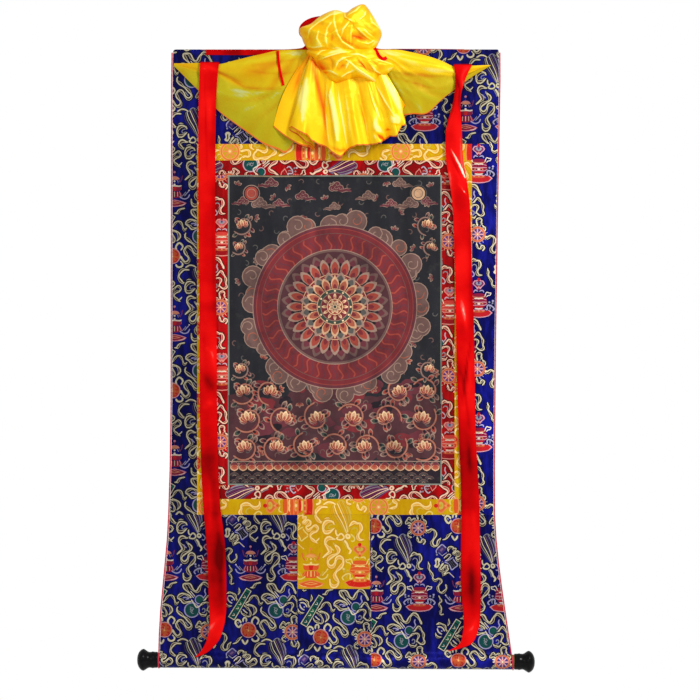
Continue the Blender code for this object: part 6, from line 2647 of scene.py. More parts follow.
@dataclass
class SilkCover:
    """The silk cover: two wings, a pleated skirt and a bunched rosette, all of one cloth."""

    wing_steps: tuple[int, int] = (96, 44)
    skirt_steps: tuple[int, int] = (170, 60)
    bunch_steps: tuple[int, int] = (260, 42)
    crown_middle: Point2 = (8.0, 30.0)
    puff_middle: Point2 = (20.0, -27.0)
    eye: float = 0.35  # where a bunch's rings begin, as a share of the first ring
    hem_flutes: tuple[Flutes, ...] = (
        Flutes(0.72, 0.28, 6, 0.1, 0.0, 0.72, 6.0, 4.5, 3.5, 0.3),
        Flutes(0.05, 0.41, 7, 0.04, 0.06, 0.76, 4.0, 3.2, 2.6, 0.34),
    )

    def wing(
        self,
        rows: Sequence[tuple],
        creases: Sequence[Crease | Lip],
        gather: Point2,
        seed: float,
        band_tone: float,
    ) -> SilkPart:
        """One wing from its tip to the middle, folded once along its length.

        Args:
            rows: its sections.
            creases: its folds.
            gather: where it is gathered, across and above the top edge.
            seed: a number for its unevenness.
            band_tone: how much painted shade (+) or painted highlight (-) its upper band gets.

        Returns:
            The wing.
        """
        points, folds = [], []
        along_steps, across_steps = self.wing_steps
        for i in range(across_steps + 1):
            across = i / across_steps
            line, depth = [], []
            for j in range(along_steps + 1):
                row = smooth_rows(rows, j / along_steps)
                x, top, fold, hem, band_out, fold_out, belly_out, hem_out = row
                profile = (
                    (top, 3.3),
                    (top + 0.5 * (fold - top), band_out),
                    (fold, fold_out),
                    (fold + 0.45 * (hem - fold), belly_out),
                    (hem, hem_out),
                )
                down, out = smooth_rows(profile, across)
                z = -down
                rise, tone = crease_at(creases, x, z)
                inner = math.sin(math.pi * across) ** 0.5 if 0 < across < 1 else 0.0
                span = min((hem - top) / 40, 1.0)
                small = rays_at(x, z, gather, seed)
                rise += 0.9 * small + 0.5 * crumple(x, z, seed)
                # a painted highlight on the small rays and a little all over; the upper band gets
                # its painted shade or highlight below
                tone -= 0.16 * small + 0.05
                line.append(Vector((x, cloth_front(x, z) - out - rise * inner * span, z)))
                depth.append(0.18 + tone + band_tone * (1 - ease((across - 0.3) / 0.25)))
            points.append(line)
            folds.append(depth)
        if rows[0][0] > 0:
            points = [list(reversed(line)) for line in points]
            folds = [list(reversed(line)) for line in folds]
        return SilkPart(points, folds)

    def skirt(self) -> SilkPart:
        """The pleated skirt from the gathered neck to the hem.

        Returns:
            The skirt.
        """
        points, folds = [], []
        across_steps, fall_steps = self.skirt_steps
        for i in range(fall_steps + 1):
            fall = i / fall_steps
            line, depth = [], []
            for j in range(across_steps + 1):
                row = smooth_rows(SKIRT_FOLDS, j / across_steps)
                neck_x, neck_down, neck_out, hem_x, hem_down, hem_out = row
                x = neck_x + (hem_x - neck_x) * fall
                z = -(neck_down + (hem_down - neck_down) * fall)
                belly = 3.0 * math.sin(math.pi * fall)
                out = neck_out + (hem_out - neck_out) * fall**0.9 + belly
                across = j / across_steps
                mouth = 0.0
                for flutes in self.hem_flutes:
                    forward, up, aside, deeper = flutes.bend(across, fall)
                    out, z, x = out + forward, z + up, x + aside
                    mouth += deeper
                settle = 1 - ease(across / 0.05)
                out += settle * (5.0 - out) * (1 - 0.5 * fall)
                x -= 11.0 * math.sin(math.pi * fall) * (1 - ease(across / 0.2))
                rise, tone = crease_at(SKIRT_CREASES, x, z)
                z -= 1.5 * ease((fall - 0.9) / 0.1) * noise_at(x / 6, 3.0, 8.0)
                small = ridge_at(across * 26, fall * 1.4, 5.0)
                rise += 0.8 * small + 0.5 * crumple(x, z * 0.5, 5.0)
                line.append(Vector((x, cloth_front(x, z) - out - rise, z)))
                # painted shade in the valleys that lie back, in the flutes' mouths and towards the
                # neck; painted highlight on the small ridges
                valley = ease((20 - out) / 15) * 0.34
                depth.append(0.04 + valley + tone - 0.1 * small + mouth + 0.3 * (1 - fall) ** 3)
            points.append(line)
            folds.append(depth)
        return SilkPart(points, folds)

    def bunch(
        self,
        outline: Sequence[Point2],
        middle: Point2,
        out: float,
        rim: float,
        back: float,
        creases: Sequence[Crease | Lip],
        seed: float,
    ) -> SilkPart:
        """A gathered bunch: a domed front whose rim curls back to the hanging.

        Args:
            outline: points around it.
            middle: where its middle lies.
            out: how far its middle stands forward.
            rim: how far its rim stands forward.
            back: how far forward the curled rim ends.
            creases: its folds.
            seed: a number for its unevenness.

        Returns:
            The bunch, from its middle to its rim.
        """
        around, rings = self.bunch_steps
        closed = tuple(outline) + tuple(outline[:3])
        loop = []
        for k in range(around + 1):
            place = ((k % around) / around * len(outline) + 1) / (len(closed) - 1)
            loop.append(smooth_rows(closed, place))
        points, folds = [], []
        for ring in (self.eye, *range(1, rings + 1)):
            reach = ring / rings
            line, depth = [], []
            for corner in loop:
                x = middle[0] + (corner[0] - middle[0]) * reach
                z = middle[1] + (corner[1] - middle[1]) * reach
                dome = rim + (out - rim) * math.sqrt(max(1 - reach**2.4, 0.0))
                rise, tone = crease_at(creases, x, z)
                fade = 1 - reach**7
                pinch = crumple(x, z, seed)
                rise += 1.7 * pinch
                line.append(Vector((x, -dome - rise * fade, z)))
                # a painted highlight on the pinched crests, painted shade towards the rim
                crest = max(pinch, 0.0) ** 2
                depth.append(0.24 + tone - 0.25 * crest - 0.1 * pinch + 0.3 * reach**8)
            points.append(line)
            folds.append(depth)
        for step in (0.4, 1.0):
            line = []
            for corner in loop:
                x = middle[0] + (corner[0] - middle[0]) * (1.0 - 0.03 * step)
                z = middle[1] + (corner[1] - middle[1]) * (1.0 - 0.03 * step)
                line.append(Vector((x, -rim + (rim - back) * step, z)))
            points.append(line)
            # the curled-back rim is painted in shade
            folds.append([0.5] * len(line))
        points = [list(reversed(line)) for line in points]
        folds = [list(reversed(line)) for line in folds]
        return SilkPart(points, folds)

    def build(self, finish: bpy.types.Material) -> bpy.types.Object:
        """Make the whole cover as one piece.

        Args:
            finish: the silk's material.

        Returns:
            The silk's object.
        """
        left = self.wing(LEFT_WING, LEFT_CREASES, (-58.0, 4.0), 1.0, 0.22)
        right = self.wing(RIGHT_WING, RIGHT_CREASES, (70.0, 6.0), 9.0, -0.02)
        crown = self.bunch(CROWN_OUTLINE, self.crown_middle, 50, 9, 2.8, CROWN_CREASES, 2.0)
        puff = self.bunch(PUFF_OUTLINE, self.puff_middle, 42, 12, 2.8, PUFF_CREASES, 6.0)
        skins = (
            ("silk_wing_left", left.skin((260, 190), 1, (0.6, 0.95))),
            ("silk_wing_right", right.skin((250, 120), 1, (0.05, 0.85))),
            ("silk_skirt", self.skirt().skin((420, 150), 1)),
            ("silk_puff", puff.skin((380, 60), 0)),
            ("silk_crown", crown.skin((380, 60), 0)),
        )
        parts = [skin.close(name, SILK_THICK, finish) for name, skin in skins]
        bpy.ops.object.select_all(action="DESELECT")
        for part in parts:
            part.select_set(True)
        bpy.context.view_layer.objects.active = parts[0]
        bpy.ops.object.join()
        parts[0].name = "silk_cover_cloth"
        return parts[0]


# a ribbon's sections downwards: down, left edge, right edge, how far forward, and its cupping
LEFT_RIBBON = (
    (27, -253.5, -218, 9.2, 0.4), (60, -255, -221.5, 9.6, 0.6), (115, -256.5, -224, 8.2, 0.8),
    (208, -257, -225.3, 5.2, 0.8), (330, -256.6, -225, 4.4, 0.6), (470, -255.3, -223.5, 4.6, 1.4),
    (560, -254.6, -222.6, 5.4, 3), (640, -254.4, -222.4, 6, 3.6), (730, -253.4, -220.7, 4.8, 1.6),
    (842, -248.7, -217, 4.6, 1.2), (932, -241.2, -206.8, 5, 1.6), (1029, -237.5, -204.6, 5.6, 2),
    (1063, -235.6, -206.6, 6.8, 2.6), (1084, -236.6, -211.3, 8.4, 3),
    (1104, -241.2, -218.8, 10.4, 2.6), (1124, -252, -238, 13, 1.4), (1134, -263, -259.6, 13.8, 0.2),
)
RIGHT_RIBBON = (
    (31, 219.7, 253.8, 9.6, 1.2), (50, 222.5, 244, 10.4, 5), (81, 221.6, 233.8, 11, 7),
    (108, 216.9, 231.9, 9.8, 6), (152, 205.7, 234.7, 7.4, 3.4), (207, 205.7, 237.5, 6.6, 2.8),
    (252, 212.8, 245, 8, 5), (304, 218.2, 250.6, 6.4, 2.6), (427, 222.5, 254.3, 4.8, 1),
    (537, 224.4, 258.1, 4.6, 0.8), (711, 229, 260.9, 5.6, 2.4), (842, 233.8, 267.4, 4.8, 1.2),
    (992, 233.2, 270.2, 5.2, 1.6), (1059, 238.4, 269.3, 6.8, 2.4), (1084, 237.5, 265.6, 8.8, 2.8),
    (1108, 231.9, 254.3, 11.4, 2.4), (1118, 219, 232, 13, 1), (1123, 208.9, 211.5, 13.4, 0.2),
)
# middle lines: across, behind (+) or in front (-) of the cloth, above the top edge
TAPE_ROUTE = (
    (-243, -1.45, -5.4), (-180, -1.45, -5.6), (-120, -1.45, -5.6), (-82, -1.45, -4.4),
    (-60, -1.45, -1), (-52, -1.30, 10), (-57, -0.60, 21), (-64.5, 0.40, 32), (-61.5, 0.90, 44),
    (-48, 1.20, 53.4), (-27, 1.40, 57.8), (0, 1.45, 56), (28, 1.45, 44), (50, 1.45, 24),
    (62, 1.45, 6), (80, 1.45, -3.4), (120, 1.45, -3.6), (180, 1.45, -3.8), (240, 1.45, -4.4),
)
LEFT_TIE_ROUTE = (
    (-109, -5.4, -3.4), (-107.6, -8.2, -22), (-104.6, -9, -42), (-101.4, -7.5, -56),
    (-98.4, -6.7, -68),
)
RIGHT_TIE_ROUTE = (
    (71.5, -27.4, -1), (75, -26.6, -7), (79, -27.8, -14), (83, -31, -19.5),
    (88, -31, -21.8), (94.5, -26.5, -18.8),
)
# the ribbons' creases; those that don't rise are only painted shade (tone above 0) and painted
# highlight (tone below 0)
RIBBON_LEFT_CREASES = (
    Crease(5, -0.5, 0.3, ((-228, -240), (-229, -380), (-226, -520))),
    Crease(6, 0.8, -0.4, ((-245, -31.8), (-231.9, -36.5), (-218.8, -42.1))),
    Crease(2, -0.4, 0.3, ((-245, -49.6), (-243.1, -131.8), (-241.2, -225.3))),
    Crease(3, 0.6, -0.35, ((-248.7, -36.5), (-241.2, -38.3))),
    Crease(6, 0.6, -0.25, ((-236, -96), (-234, -150))),
    Crease(8, -0.6, 0.3, ((-229, -110), (-230, -190))),
    Crease(8, -0.8, 0.4, ((-252, -478), (-232, -481), (-222, -476))),
    Crease(9, -0.5, 0.28, ((-248, -532), (-246, -575))),
    Crease(14, -0.6, 0.48, ((-250, -604), (-236, -622), (-226, -646))),
    Crease(5, 0.8, -0.4, ((-246, -668), (-236, -660), (-226, -656))),
    Crease(4, 0.6, -0.3, ((-248.7, -552.6), (-231.9, -565.7), (-224.4, -603.1))),
    Crease(26, 0, 0.42, ((-240, -690), (-238, -770), (-234, -860))),
    Crease(20, 0, 0.38, ((-240, -868), (-236, -930), (-230, -1000), (-226, -1040))),
    Crease(12, -0.8, 0.62, ((-224, -868), (-218, -930), (-214, -1000), (-213, -1052))),
    Crease(5, 0.8, -0.3, ((-238, -800), (-234, -850), (-238, -905))),
    Crease(6, 0.8, -0.35, ((-246, -1092), (-232, -1078), (-216, -1060))),
)
RIBBON_RIGHT_CREASES = (
    Crease(7, 0, 0.25, ((227, -560), (231, -700), (236, -850), (236, -1000))),
    Crease(5, -0.5, 0.25, ((249, -330), (251, -420), (253, -520))),
    Crease(3, -1.2, 0.5, ((224.4, -49.6), (230, -75.7), (228.1, -107.5))),
    Crease(3.6, 1, -0.6, ((235.6, -53), (237, -70), (233.8, -92))),
    Crease(7, 0.8, -0.5, ((231, -146), (234, -190), (238, -236))),
    Crease(1.5, 1.2, -1.3, ((214.9, -188.7), (228, -212), (241.6, -242))),
    Crease(1.3, 1, -1.2, ((227.6, -252), (236, -262), (243, -272.6))),
    Crease(3, -0.8, 0.45, ((213, -196), (224, -222), (238, -252))),
    Crease(5, 0.8, -0.45, ((210, -208), (213, -250), (219, -300))),
    Crease(5, 0.8, -0.5, ((233.8, -464.7), (239.4, -494.6), (243.1, -524.5))),
    Crease(3.4, -0.9, 0.6, ((252, -545), (243, -600), (236, -655))),
    Crease(3, -0.6, 0.4, ((230, -590), (241, -640), (248, -700))),
    Crease(3, 0.6, -0.3, ((246, -560), (250, -618), (244, -660))),
    Crease(24, 0, 0.26, ((242, -690), (246, -800), (250, -900))),
    Crease(5, -0.6, 0.35, ((248, -735), (250, -785))),
    Crease(7, 0.6, -0.3, ((256, -862), (259, -898))),
    Crease(22, 0, 0.42, ((254, -945), (254, -1000), (254, -1062))),
    Crease(9, -0.6, 0.3, ((252, -950), (255, -1052))),
    Crease(5, 0.8, -0.3, ((240, -1092), (254, -1080), (264, -1062))),
)


@dataclass
class Ribbon:
    """A satin ribbon folded over the silk's top edge, its long end hanging in front."""

    name: str
    rows: Sequence[tuple]
    creases: Sequence[Crease]
    width: float
    columns: int = 12
    steps: int = 190
    turns: int = 9  # how finely it turns over the silk's edge
    tuck: float = 20.0
    tuck_out: float = 1.5
    fold_rise: float = 2.6  # how far the turn stands above the silk's edge
    thick: float = 1.0

    def line(
        self, left: float, right: float, y: float, z: float, cup: float
    ) -> tuple[list[Vector], list[float]]:
        """One row across, cupped forward in its middle.

        Args:
            left: its left end.
            right: its right end.
            y: how far behind (+) or in front (-) it lies.
            z: how far above the cloth's top edge it lies.
            cup: how far its middle is cupped forward.

        Returns:
            Its points, and how deep in a fold each lies.
        """
        points, depth = [], []
        for j in range(self.columns + 1):
            u = j / self.columns
            x = left + (right - left) * u
            rise, tone = crease_at(self.creases, x, z)
            edge = math.sin(math.pi * min(max(u, 0.04), 0.96)) ** 0.5
            bulge = cup * (1 - (2 * u - 1) ** 2)
            wave = 0.35 * noise_at(x / 16, z / 60, 12.0)
            points.append(Vector((x, y - bulge - (rise + wave) * edge, z)))
            selvedge = 0.12 if j in (0, self.columns) else 0.0
            depth.append(0.3 + tone + selvedge + 0.35 * noise_at(x / 30, z / 70, 2.2))
        return points, depth

    def build(self, finish: bpy.types.Material) -> bpy.types.Object:
        """Make the ribbon.

        Args:
            finish: its satin.

        Returns:
            The ribbon's object.
        """
        down, left, right, out, _ = self.rows[0]
        z_top = -down
        silk = cloth_front(0.5 * (left + right), z_top)
        behind, front = silk - self.tuck_out, silk - out
        grid, folds = [], []
        for z in (z_top - self.tuck, z_top - self.tuck / 2, z_top - 1.0):
            points, depth = self.line(left, right, behind, z, 0.0)
            grid.append([Vector((p.x, behind, p.z)) for p in points])
            folds.append(depth)
        radius = 0.5 * (behind - front)
        for step in range(1, self.turns):
            angle = math.pi * step / self.turns
            y = behind - radius + radius * math.cos(angle)
            z = z_top + self.fold_rise * math.sin(angle)
            points, depth = self.line(left, right, y, z, 0.0)
            grid.append([Vector((p.x, y, p.z)) for p in points])
            # the turn over the silk's edge is painted in shade
            folds.append([value + 0.4 for value in depth])
        for step in range(self.steps + 1):
            down, left, right, out, cup = smooth_rows(self.rows, step / self.steps)
            y = cloth_front(0.5 * (left + right), -down) - out
            points, depth = self.line(left, right, y, -down, cup)
            grid.append(points)
            folds.append(depth)
        length = sum((b[0] - a[0]).length for a, b in zip(grid, grid[1:]))
        return grid_skin(grid, folds, (self.width, length)).close(self.name, self.thick, finish)


@dataclass
class Tape:
    """A narrow satin tape whose face looks forward, along a route, open or folded lengthwise."""

    name: str
    route: Sequence[tuple]
    width: float
    thick: float
    steps: int
    folded: bool = False
    columns: int = 4
    leg_gap: float = 0.45  # how far a folded tape's two layers lie from its middle
    deep: float = 0.35  # how deep its colour is, from 0 to 1

    def section(self) -> list[Point2]:
        """The tape's cross-section.

        Returns:
            Points: across from its middle, and behind (+) or in front (-).
        """
        half = self.width / 2
        if not self.folded:
            return [(half * (2 * j / self.columns - 1), 0.0) for j in range(self.columns + 1)]
        gap = self.leg_gap
        turn = half - self.thick / 2 - gap
        back = [(-half + (turn + half) * k / 3, gap) for k in range(4)]
        bend = [
            (turn + gap * math.sin(a), gap * math.cos(a))
            for a in (math.pi * k / 5 for k in range(1, 5))
        ]
        return back + bend + [(x, -gap) for x, _ in reversed(back)]

    def build(self, finish: bpy.types.Material) -> bpy.types.Object:
        """Make the tape.

        Args:
            finish: its satin.

        Returns:
            The tape's object.
        """
        path = [Vector(smooth_rows(self.route, k / self.steps)) for k in range(self.steps + 1)]
        section = self.section()
        grid, folds = [], []
        for index, centre in enumerate(path):
            ahead = path[min(index + 1, self.steps)] - path[max(index - 1, 0)]
            across = Vector((0, 1, 0)).cross(ahead).normalized()
            line = []
            for place, back in section:
                wave = 0.12 * noise_at(centre.x / 9 + place / 4, centre.z / 9, 7.7)
                line.append(centre + across * place + Vector((0, back + wave, 0)))
            grid.append(line)
            folds.append([self.deep + 0.3 * noise_at(p.x / 20, p.z / 12, 3.0) for p in line])
        length = sum((b - a).length for a, b in zip(path, path[1:]))
        return grid_skin(grid, folds, (self.width, length)).close(self.name, self.thick, finish)


# ---------------------------------------------------------------- piping and roller
@dataclass
class Piping:
    """The covered cord sewn along a side edge, around the rod below."""

    name: str
    side: int  # -1 on the left, 1 on the right
    sides: int = 10
    flat_steps: int = 260
    wrap_steps: int = 66  # for the whole way around the rod
    wrapped: int = 48  # how many of them it goes
    start: float = 6.0
    bumps: float = 0.08  # how uneven it is, as a share of its radius
    fold: float = 0.4  # how deep its colour is

    def path(self) -> list[Vector]:
        """The cord's middle line.

        Returns:
            Its points in millimetres.
        """
        inset = -self.side * HANG.piping_radius
        spots = []
        for k in range(self.flat_steps):
            down = self.start + (HANG.flat_end - self.start) * k / self.flat_steps
            left, right = HANG.edge_at(down)
            spots.append(HANG.point((left if self.side < 0 else right) + inset, down))
        whole = sum(HANG.wrap_lengths)
        for step in range(self.wrapped + 1):
            share = step / self.wrap_steps
            along = HANG.flat_end + share * whole
            left, right = HANG.edge_along(along)
            edge = (left if self.side < 0 else right) + inset
            spot = HANG.point(edge, along)
            axis = Vector((edge, HANG.roller_back, -HANG.roller_down + HANG.roller_tilt * edge))
            lift = HANG.piping_lift * min(1.0, share * 8)
            spots.append(spot + (spot - axis).normalized() * lift)
        return spots

    def build(self, finish: bpy.types.Material) -> bpy.types.Object:
        """Make the cord.

        Args:
            finish: its cloth.

        Returns:
            The cord's object.
        """
        path = self.path()
        rings, flat = [], []
        length = 0.0
        for index, spot in enumerate(path):
            ahead = (path[min(index + 1, len(path) - 1)] - path[max(index - 1, 0)]).normalized()
            across = ahead.cross(Vector((0, 1, 0)))
            if across.length < 0.1:
                across = Vector((1, 0, 0))
            across.normalize()
            out = across.cross(ahead).normalized()
            if index:
                length += (spot - path[index - 1]).length
            ring = []
            for k in range(self.sides):
                turn = 2 * math.pi * k / self.sides
                uneven = 1 + self.bumps * math.sin(turn * 2 + length / 1.6)
                radius = HANG.piping_radius * uneven
                ring.append(spot + (across * math.cos(turn) + out * math.sin(turn)) * radius)
                flat.append((k / self.sides, length))
            rings.append(ring)
        mesh = round_mesh(self.name, rings, True, 0.0, 60)
        layout = mesh.uv_layers.new(name=BAKE_UV)
        for loop in mesh.loops:
            around, along = flat[loop.vertex_index]
            layout.data[loop.index].uv = (0.05 + 0.9 * around, 0.99 * along / length)
        count = len(mesh.vertices)
        tone = mesh.color_attributes.new("thread", "FLOAT_COLOR", "POINT")
        tone.data.foreach_set("color", list(WHITE) * count)
        depth = mesh.attributes.new("fold", "FLOAT", "POINT")
        depth.data.foreach_set("value", [self.fold] * count)
        mesh.materials.append(finish)
        return link_object(self.name, mesh)


@dataclass
class Knob:
    """A turned knob with a socket for the rod's end."""

    name: str
    side: int  # -1 on the left, 1 on the right
    face: float = 333.6
    socket_depth: float = 12.4
    socket_radius: float = 8.3
    around: int = 72
    steps: int = 60  # along the profile
    # how far out from the knob's inner face, and the radius there
    profile: tuple[Point2, ...] = (
        (0.0, 14.0), (0.8, 14.8), (6.0, 14.9), (9.0, 15.5), (12.0, 14.9), (15.5, 14.6),
        (19.0, 15.9), (22.5, 18.3), (25.4, 20.0), (26.9, 20.3), (28.4, 20.0), (31.5, 18.2),
        (34.4, 15.0), (36.6, 10.8), (37.9, 6.0), (38.4, 0.01),
    )

    def build(self, finish: bpy.types.Material) -> bpy.types.Object:
        """Make the knob.

        Args:
            finish: its lacquer.

        Returns:
            The knob's object.
        """
        bottom = self.face + self.socket_depth
        line = [(bottom, 0.01), (bottom, self.socket_radius), (self.face, self.socket_radius)]
        for k in range(self.steps + 1):
            out, radius = smooth_rows(self.profile, k / self.steps)
            line.append((self.face + out, radius))
        rings = []
        axis_z = -HANG.roller_down
        for out, radius in line:
            x = self.side * out
            middle = axis_z + HANG.roller_tilt * x
            ring = []
            for k in range(self.around):
                turn = 2 * math.pi * k / self.around
                y = HANG.roller_back + radius * math.cos(turn)
                ring.append(Vector((x, y, middle + radius * math.sin(turn))))
            rings.append(ring)
        mesh = round_mesh(self.name, rings, False, 0.00002, 40)
        layout = mesh.uv_layers.new(name=BAKE_UV)
        for loop in mesh.loops:
            place = mesh.vertices[loop.vertex_index].co
            turn = math.atan2(place.z - axis_z * MM, place.y - HANG.roller_back * MM)
            out = within((abs(place.x) / MM - self.face) / 40, 0.0, 1.0)
            layout.data[loop.index].uv = (0.5 + turn / (2.1 * math.pi), out)
        mesh.materials.append(finish)
        return link_object(self.name, mesh)


# ---------------------------------------------------------------- studio
@dataclass(frozen=True)
class Studio:
    """The plain pale studio, its soft lights and the camera."""

    camera_at: tuple[float, float, float] = (0.0262, -4.2, -0.562)
    lens: float = 115.5
    aim: tuple[float, float, float] = (0.0, 0.0, -0.55)
    floor_half: float = 2.3
    floor_height: float = -1.62

    def lamp(self, name: str, at: tuple[float, float, float], size: float, power: float) -> None:
        """Add a square soft light that shines at the hanging's middle.

        Args:
            name: its name.
            at: where it stands.
            size: the length of its side.
            power: its power in watts.
        """
        data = bpy.data.lights.new(name, "AREA")
        data.size = size
        data.energy = power
        item = bpy.data.objects.new(name, data)
        item.location = at
        item.rotation_euler = (Vector(self.aim) - Vector(at)).to_track_quat("-Z", "Y").to_euler()
        bpy.context.scene.collection.objects.link(item)

    def floor(self) -> None:
        """Add the floor, below the hanging."""
        mesh = bpy.data.meshes.new("studio_floor")
        half = self.floor_half
        corners = [(x, y, self.floor_height) for x, y in box_of(-half, -half, half, half)]
        mesh.from_pydata(corners, [], [(0, 1, 2, 3)])
        surface = Surface("pale_floor")
        surface.dress(Base_Color=(0.86, 0.86, 0.86, 1.0), Roughness=0.8)
        mesh.materials.append(surface.material)
        link_object("studio_floor", mesh)

    def air(self) -> None:
        """Make the surroundings white to the camera and soft grey as light."""
        world = bpy.data.worlds.new("studio_air")
        bpy.context.scene.world = world
        world.use_nodes = True
        world.node_tree.nodes.clear()
        w = Wiring(world.node_tree)
        soft = w.add("Background", Color=(0.97, 0.98, 1.0, 1.0), Strength=0.62)
        white = w.add("Background", Color=WHITE, Strength=1.0)
        both = w.add("MixShader")
        seen = w.add("LightPath").outputs["Is Camera Ray"]
        for socket, value in zip(both.inputs, (seen, soft.outputs[0], white.outputs[0])):
            w.feed(socket, value)
        w.add("OutputWorld", Surface=both.outputs[0])

    def build(self) -> None:
        """Set up the whole studio."""
        self.air()
        self.floor()
        self.lamp("key_light", (2.1, -2.3, 1.5), 0.8, 100.0)
        self.lamp("fill_light", (-2.2, -2.6, 0.2), 1.6, 12.0)
        camera = bpy.data.objects.new("camera", bpy.data.cameras.new("camera"))
        camera.data.sensor_width = 36.0
        camera.data.lens = self.lens
        camera.location = self.camera_at
        camera.rotation_euler = (math.pi / 2, 0.0, 0.0)
        bpy.context.scene.collection.objects.link(camera)
        bpy.context.scene.camera = camera
        bpy.context.scene.view_settings.view_transform = "Standard"


# ---------------------------------------------------------------- the whole hanging
FAR = 9999.0  # beyond every edge
SIDE_REACH = (320.0, 340.0)  # beyond the side edges, above and below the low seam
INSERT_SIDES = (-37.4, 61.7)
DOOR_SIDES = (-71.8, 63.6)
DOOR_END = 1008.6
DOOR_FORWARD = 1.5  # how far in front of the cloth the door patch lies
TOP_CORNER = 5.0  # how far the top panel's corners are rounded
TOP_JOIN = 65.0  # where the top panel's two lays meet
STRIP_SCALE = 1.27  # how much larger the repeat of the narrow gold strips is

# how much lighter or darker each panel is painted, as painted light and shade; the others are 1
PAINTED_LIGHT = {
    "blue_top": 0.78, "blue_left": 0.62, "blue_right": 1.34, "blue_lower_left": 0.74,
    "blue_lower_middle": 0.9, "blue_lower_right": 0.94, "gold_bottom_left": 0.9,
    "gold_bottom_right": 0.9, "door_patch": 0.9, "red_left": 1.18, "red_right": 0.82,
}


def brocade_panels() -> list[tuple[Panel, str, Point2]]:
    """Every brocade panel.

    Returns:
        The panels, each with the name of its finish and its cut size in millimetres.
    """
    upper, lower = SIDE_REACH
    top, low = HANG.top_seam, HANG.low_seam
    door, upright = HANG.door_seam, HANG.upright_seam
    end = HANG.flat_end + sum(HANG.wrap_lengths)
    g_left, g_right = HANG.gold_sides
    r_left, r_right = HANG.red_sides
    r_top, r_bottom = HANG.red_ends
    p_left, p_right = HANG.picture_sides
    p_top, p_bottom = HANG.picture_ends
    i_left, i_right = INSERT_SIDES
    d_left, d_right = DOOR_SIDES
    strip_above = Lay(87.5, 54.2, Turn.CLOCKWISE, STRIP_SCALE)
    strip_below = Lay(-206.1, 992.4, Turn.COUNTER, STRIP_SCALE)
    upright_gold = Lay(-79.6, 860.5, Turn.UPRIGHT, 1.13)
    # the node, its left, right, top and bottom, and the lay of its repeat
    rows = (
        ("blue_top", -upper, upper, 0, top, Lay(-346.0, -127.2)),
        ("blue_left", -upper, g_left, top, low, Lay(-331.0, 164.6)),
        ("blue_right", g_right, upper, top, low, Lay(157.1, 120.6)),
        ("blue_lower_left", -lower, door, low, end, Lay(-188.9, 864.9)),
        ("blue_lower_middle", door, upright, low, end, Lay(-210.8, 877.2)),
        ("blue_lower_right", upright, lower, low, end, Lay(-110.9, 921.0)),
        ("gold_top", g_left, g_right, top, r_top, strip_above),
        ("gold_left", g_left, r_left, r_top, r_bottom, Lay(-290.0, 300.0)),
        ("gold_right", r_right, g_right, r_top, r_bottom, Lay(190.0, 260.0)),
        ("gold_bottom_left", g_left, i_left, r_bottom, low, strip_below),
        ("gold_insert", i_left, i_right, r_bottom, low, upright_gold),
        ("gold_bottom_right", i_right, g_right, r_bottom, low, strip_below),
        ("red_top", r_left, r_right, r_top, p_top, Lay(24.7, 138.4, Turn.CLOCKWISE)),
        ("red_bottom", r_left, r_right, p_bottom, r_bottom, Lay(-191.5, 910.2, Turn.COUNTER)),
        ("red_left", r_left, p_left, p_top, p_bottom, Lay(-323.5, 257.1)),
        ("red_right", p_right, r_right, p_top, p_bottom, Lay(102.9, 385.4)),
        ("door_patch", d_left, d_right, low, DOOR_END, upright_gold),
    )
    dyes = {"blue": BLUE_DYE, "red": RED_DYE}
    found = []
    for node, left, right, start, stop, lay in rows:
        dye = dyes.get(node.split("_")[0], GOLD_DYE)
        is_top, is_door = node == "blue_top", node == "door_patch"
        lays = ((lay, -FAR, FAR),)
        if is_top:
            lays = ((lay, -FAR, TOP_JOIN), (Lay(213.2, 23.4), TOP_JOIN, FAR))
        panel = Panel(
            node, dye, left, right, start, stop, lays, AUSPICIOUS,
            forward=DOOR_FORWARD if is_door else 0.0,
            side_left=left <= -upper,
            side_right=right >= upper,
            corner=TOP_CORNER if is_top else 0.0,
            # painted light and shade over the whole panel
            painted_light=PAINTED_LIGHT.get(node, 1.0),
        )
        edges = [panel.sides(row) for row in panel.rows()]
        wide = sum(b - a for a, b in edges) / len(edges)
        found.append((panel, dye.name + "_brocade", (wide, stop - start)))
    return found


def stand_for(piece: bpy.types.Object, node: str) -> None:
    """Let a piece take its node's place, and report it.

    Args:
        piece: the piece.
        node: the node that it stands for.
    """
    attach(piece, "root")
    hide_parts(node)
    triangles = sum(len(face.vertices) - 2 for face in piece.data.polygons)
    log.info("%s: %d triangles", piece.name, triangles)


def declare(
    piece: bpy.types.Object, node: str
) -> None:
    """Let a soft piece stand for its node.

    Args:
        piece: the piece.
        node: the node that it stands for.
    """
    stand_for(piece, node)


def hang_brocade() -> None:
    """Sew the brocade panels and the painted canvas together."""
    finishes = {
        "blue_brocade": Woven("blue_brocade_cloth", (0.12, 0.10, 0.26, 1.0)),
        "gold_brocade": Woven("gold_brocade_cloth", (0.78, 0.58, 0.3, 1.0), 0.5, 1.0),
        "red_brocade": Woven("red_brocade_cloth", (0.36, 0.2, 0.2, 1.0), 0.8),
    }
    made = {slot: finish.make() for slot, finish in finishes.items()}
    for panel, slot, size in brocade_panels():
        declare(panel.build(made[slot]), panel.node)
    picture = Picture()
    size = (picture.right - picture.left, picture.bottom - picture.top)
    canvas = picture.build(Painted("aged_painted_canvas").make())
    declare(canvas, "painting")


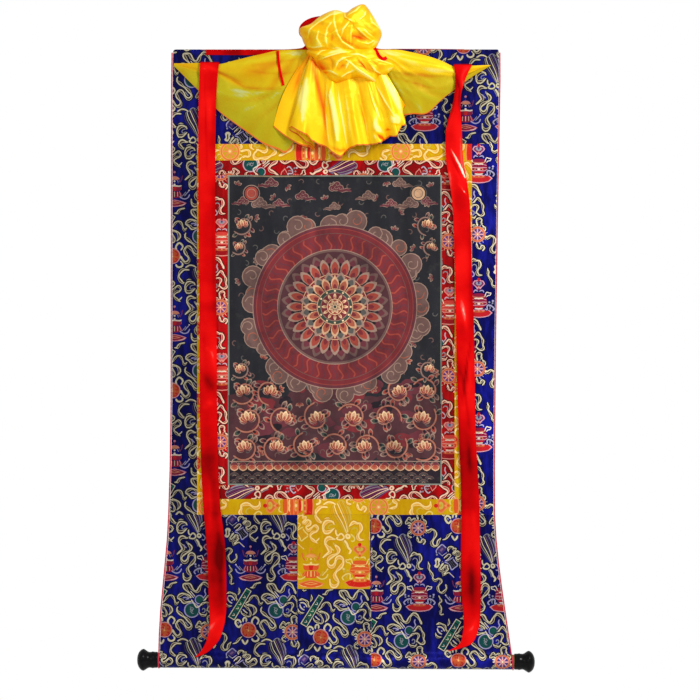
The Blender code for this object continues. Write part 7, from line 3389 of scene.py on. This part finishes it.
def drape_silk() -> None:
    """Gather the yellow silk and hang the red ribbons, the tape and the ties."""
    yellow = Silk(
        "yellow_silk",
        (
            (0.0, tint(255, 240, 130)), (0.2, tint(255, 216, 22)), (0.5, tint(252, 186, 4)),
            (0.78, tint(244, 138, 0)), (1.0, tint(226, 88, 0)),
        ),
    ).make()
    cover = SilkCover().build(yellow)
    declare(cover, "silk_cover")
    red = Silk(
        "red_satin",
        (
            (0.0, tint(255, 206, 180)), (0.05, tint(255, 96, 88)), (0.22, tint(246, 20, 16)),
            (0.55, tint(214, 4, 6)), (1.0, tint(108, 0, 2)),
        ),
        rough=0.36,
        crumples=0.14,
        drift=0.7,
        gloss=0.03,
    ).make()
    for name, rows, creases, width in (
        ("ribbon_left", LEFT_RIBBON, RIBBON_LEFT_CREASES, 32.6),
        ("ribbon_right", RIGHT_RIBBON, RIBBON_RIGHT_CREASES, 33.6),
    ):
        ribbon = Ribbon("red_" + name, rows, creases, width).build(red)
        declare(ribbon, name)
    tape = Tape("red_hanging_tape", TAPE_ROUTE, 10.0, 1.0, 150, deep=0.72).build(red)
    declare(tape, "hanging_tape")
    for name, route, width, length in (
        ("tie_left", LEFT_TIE_ROUTE, 5.2, 66.0),
        ("tie_right", RIGHT_TIE_ROUTE, 6.4, 34.0),
    ):
        tie = Tape("red_" + name, route, width, 0.6, 60, folded=True).build(red)
        declare(tie, name)


def fit_roller() -> None:
    """Sew on the piping, and fit the knobs and the rod's bare wood."""
    rose = Silk(
        "rose_piping", ((0.0, tint(226, 66, 84)), (1.0, tint(170, 24, 46))), rough=0.5, crumples=0.2
    ).make()
    black = Lacquer("black_lacquer", tint(8, 8, 10), tint(30, 25, 24)).make()
    for node, side in (("piping_left", -1), ("piping_right", 1)):
        stand_for(Piping(node + "_cord", side).build(rose), node)
    for node, side in (("knob_left", -1), ("knob_right", 1)):
        stand_for(Knob(node + "_turned", side).build(black), node)
    bare = Lacquer("bare_rod_wood", tint(128, 92, 58), tint(88, 60, 38), rough=0.6).make()
    bpy.data.objects["roller_rod"].material_slots[0].material = bare


def main() -> None:
    """Build and dress every sub-assembly in order."""
    logging.basicConfig(level=logging.INFO, format="%(message)s")
    hang_brocade()
    drape_silk()
    fit_roller()
    Studio().build()


if __name__ == "__main__":
    main()
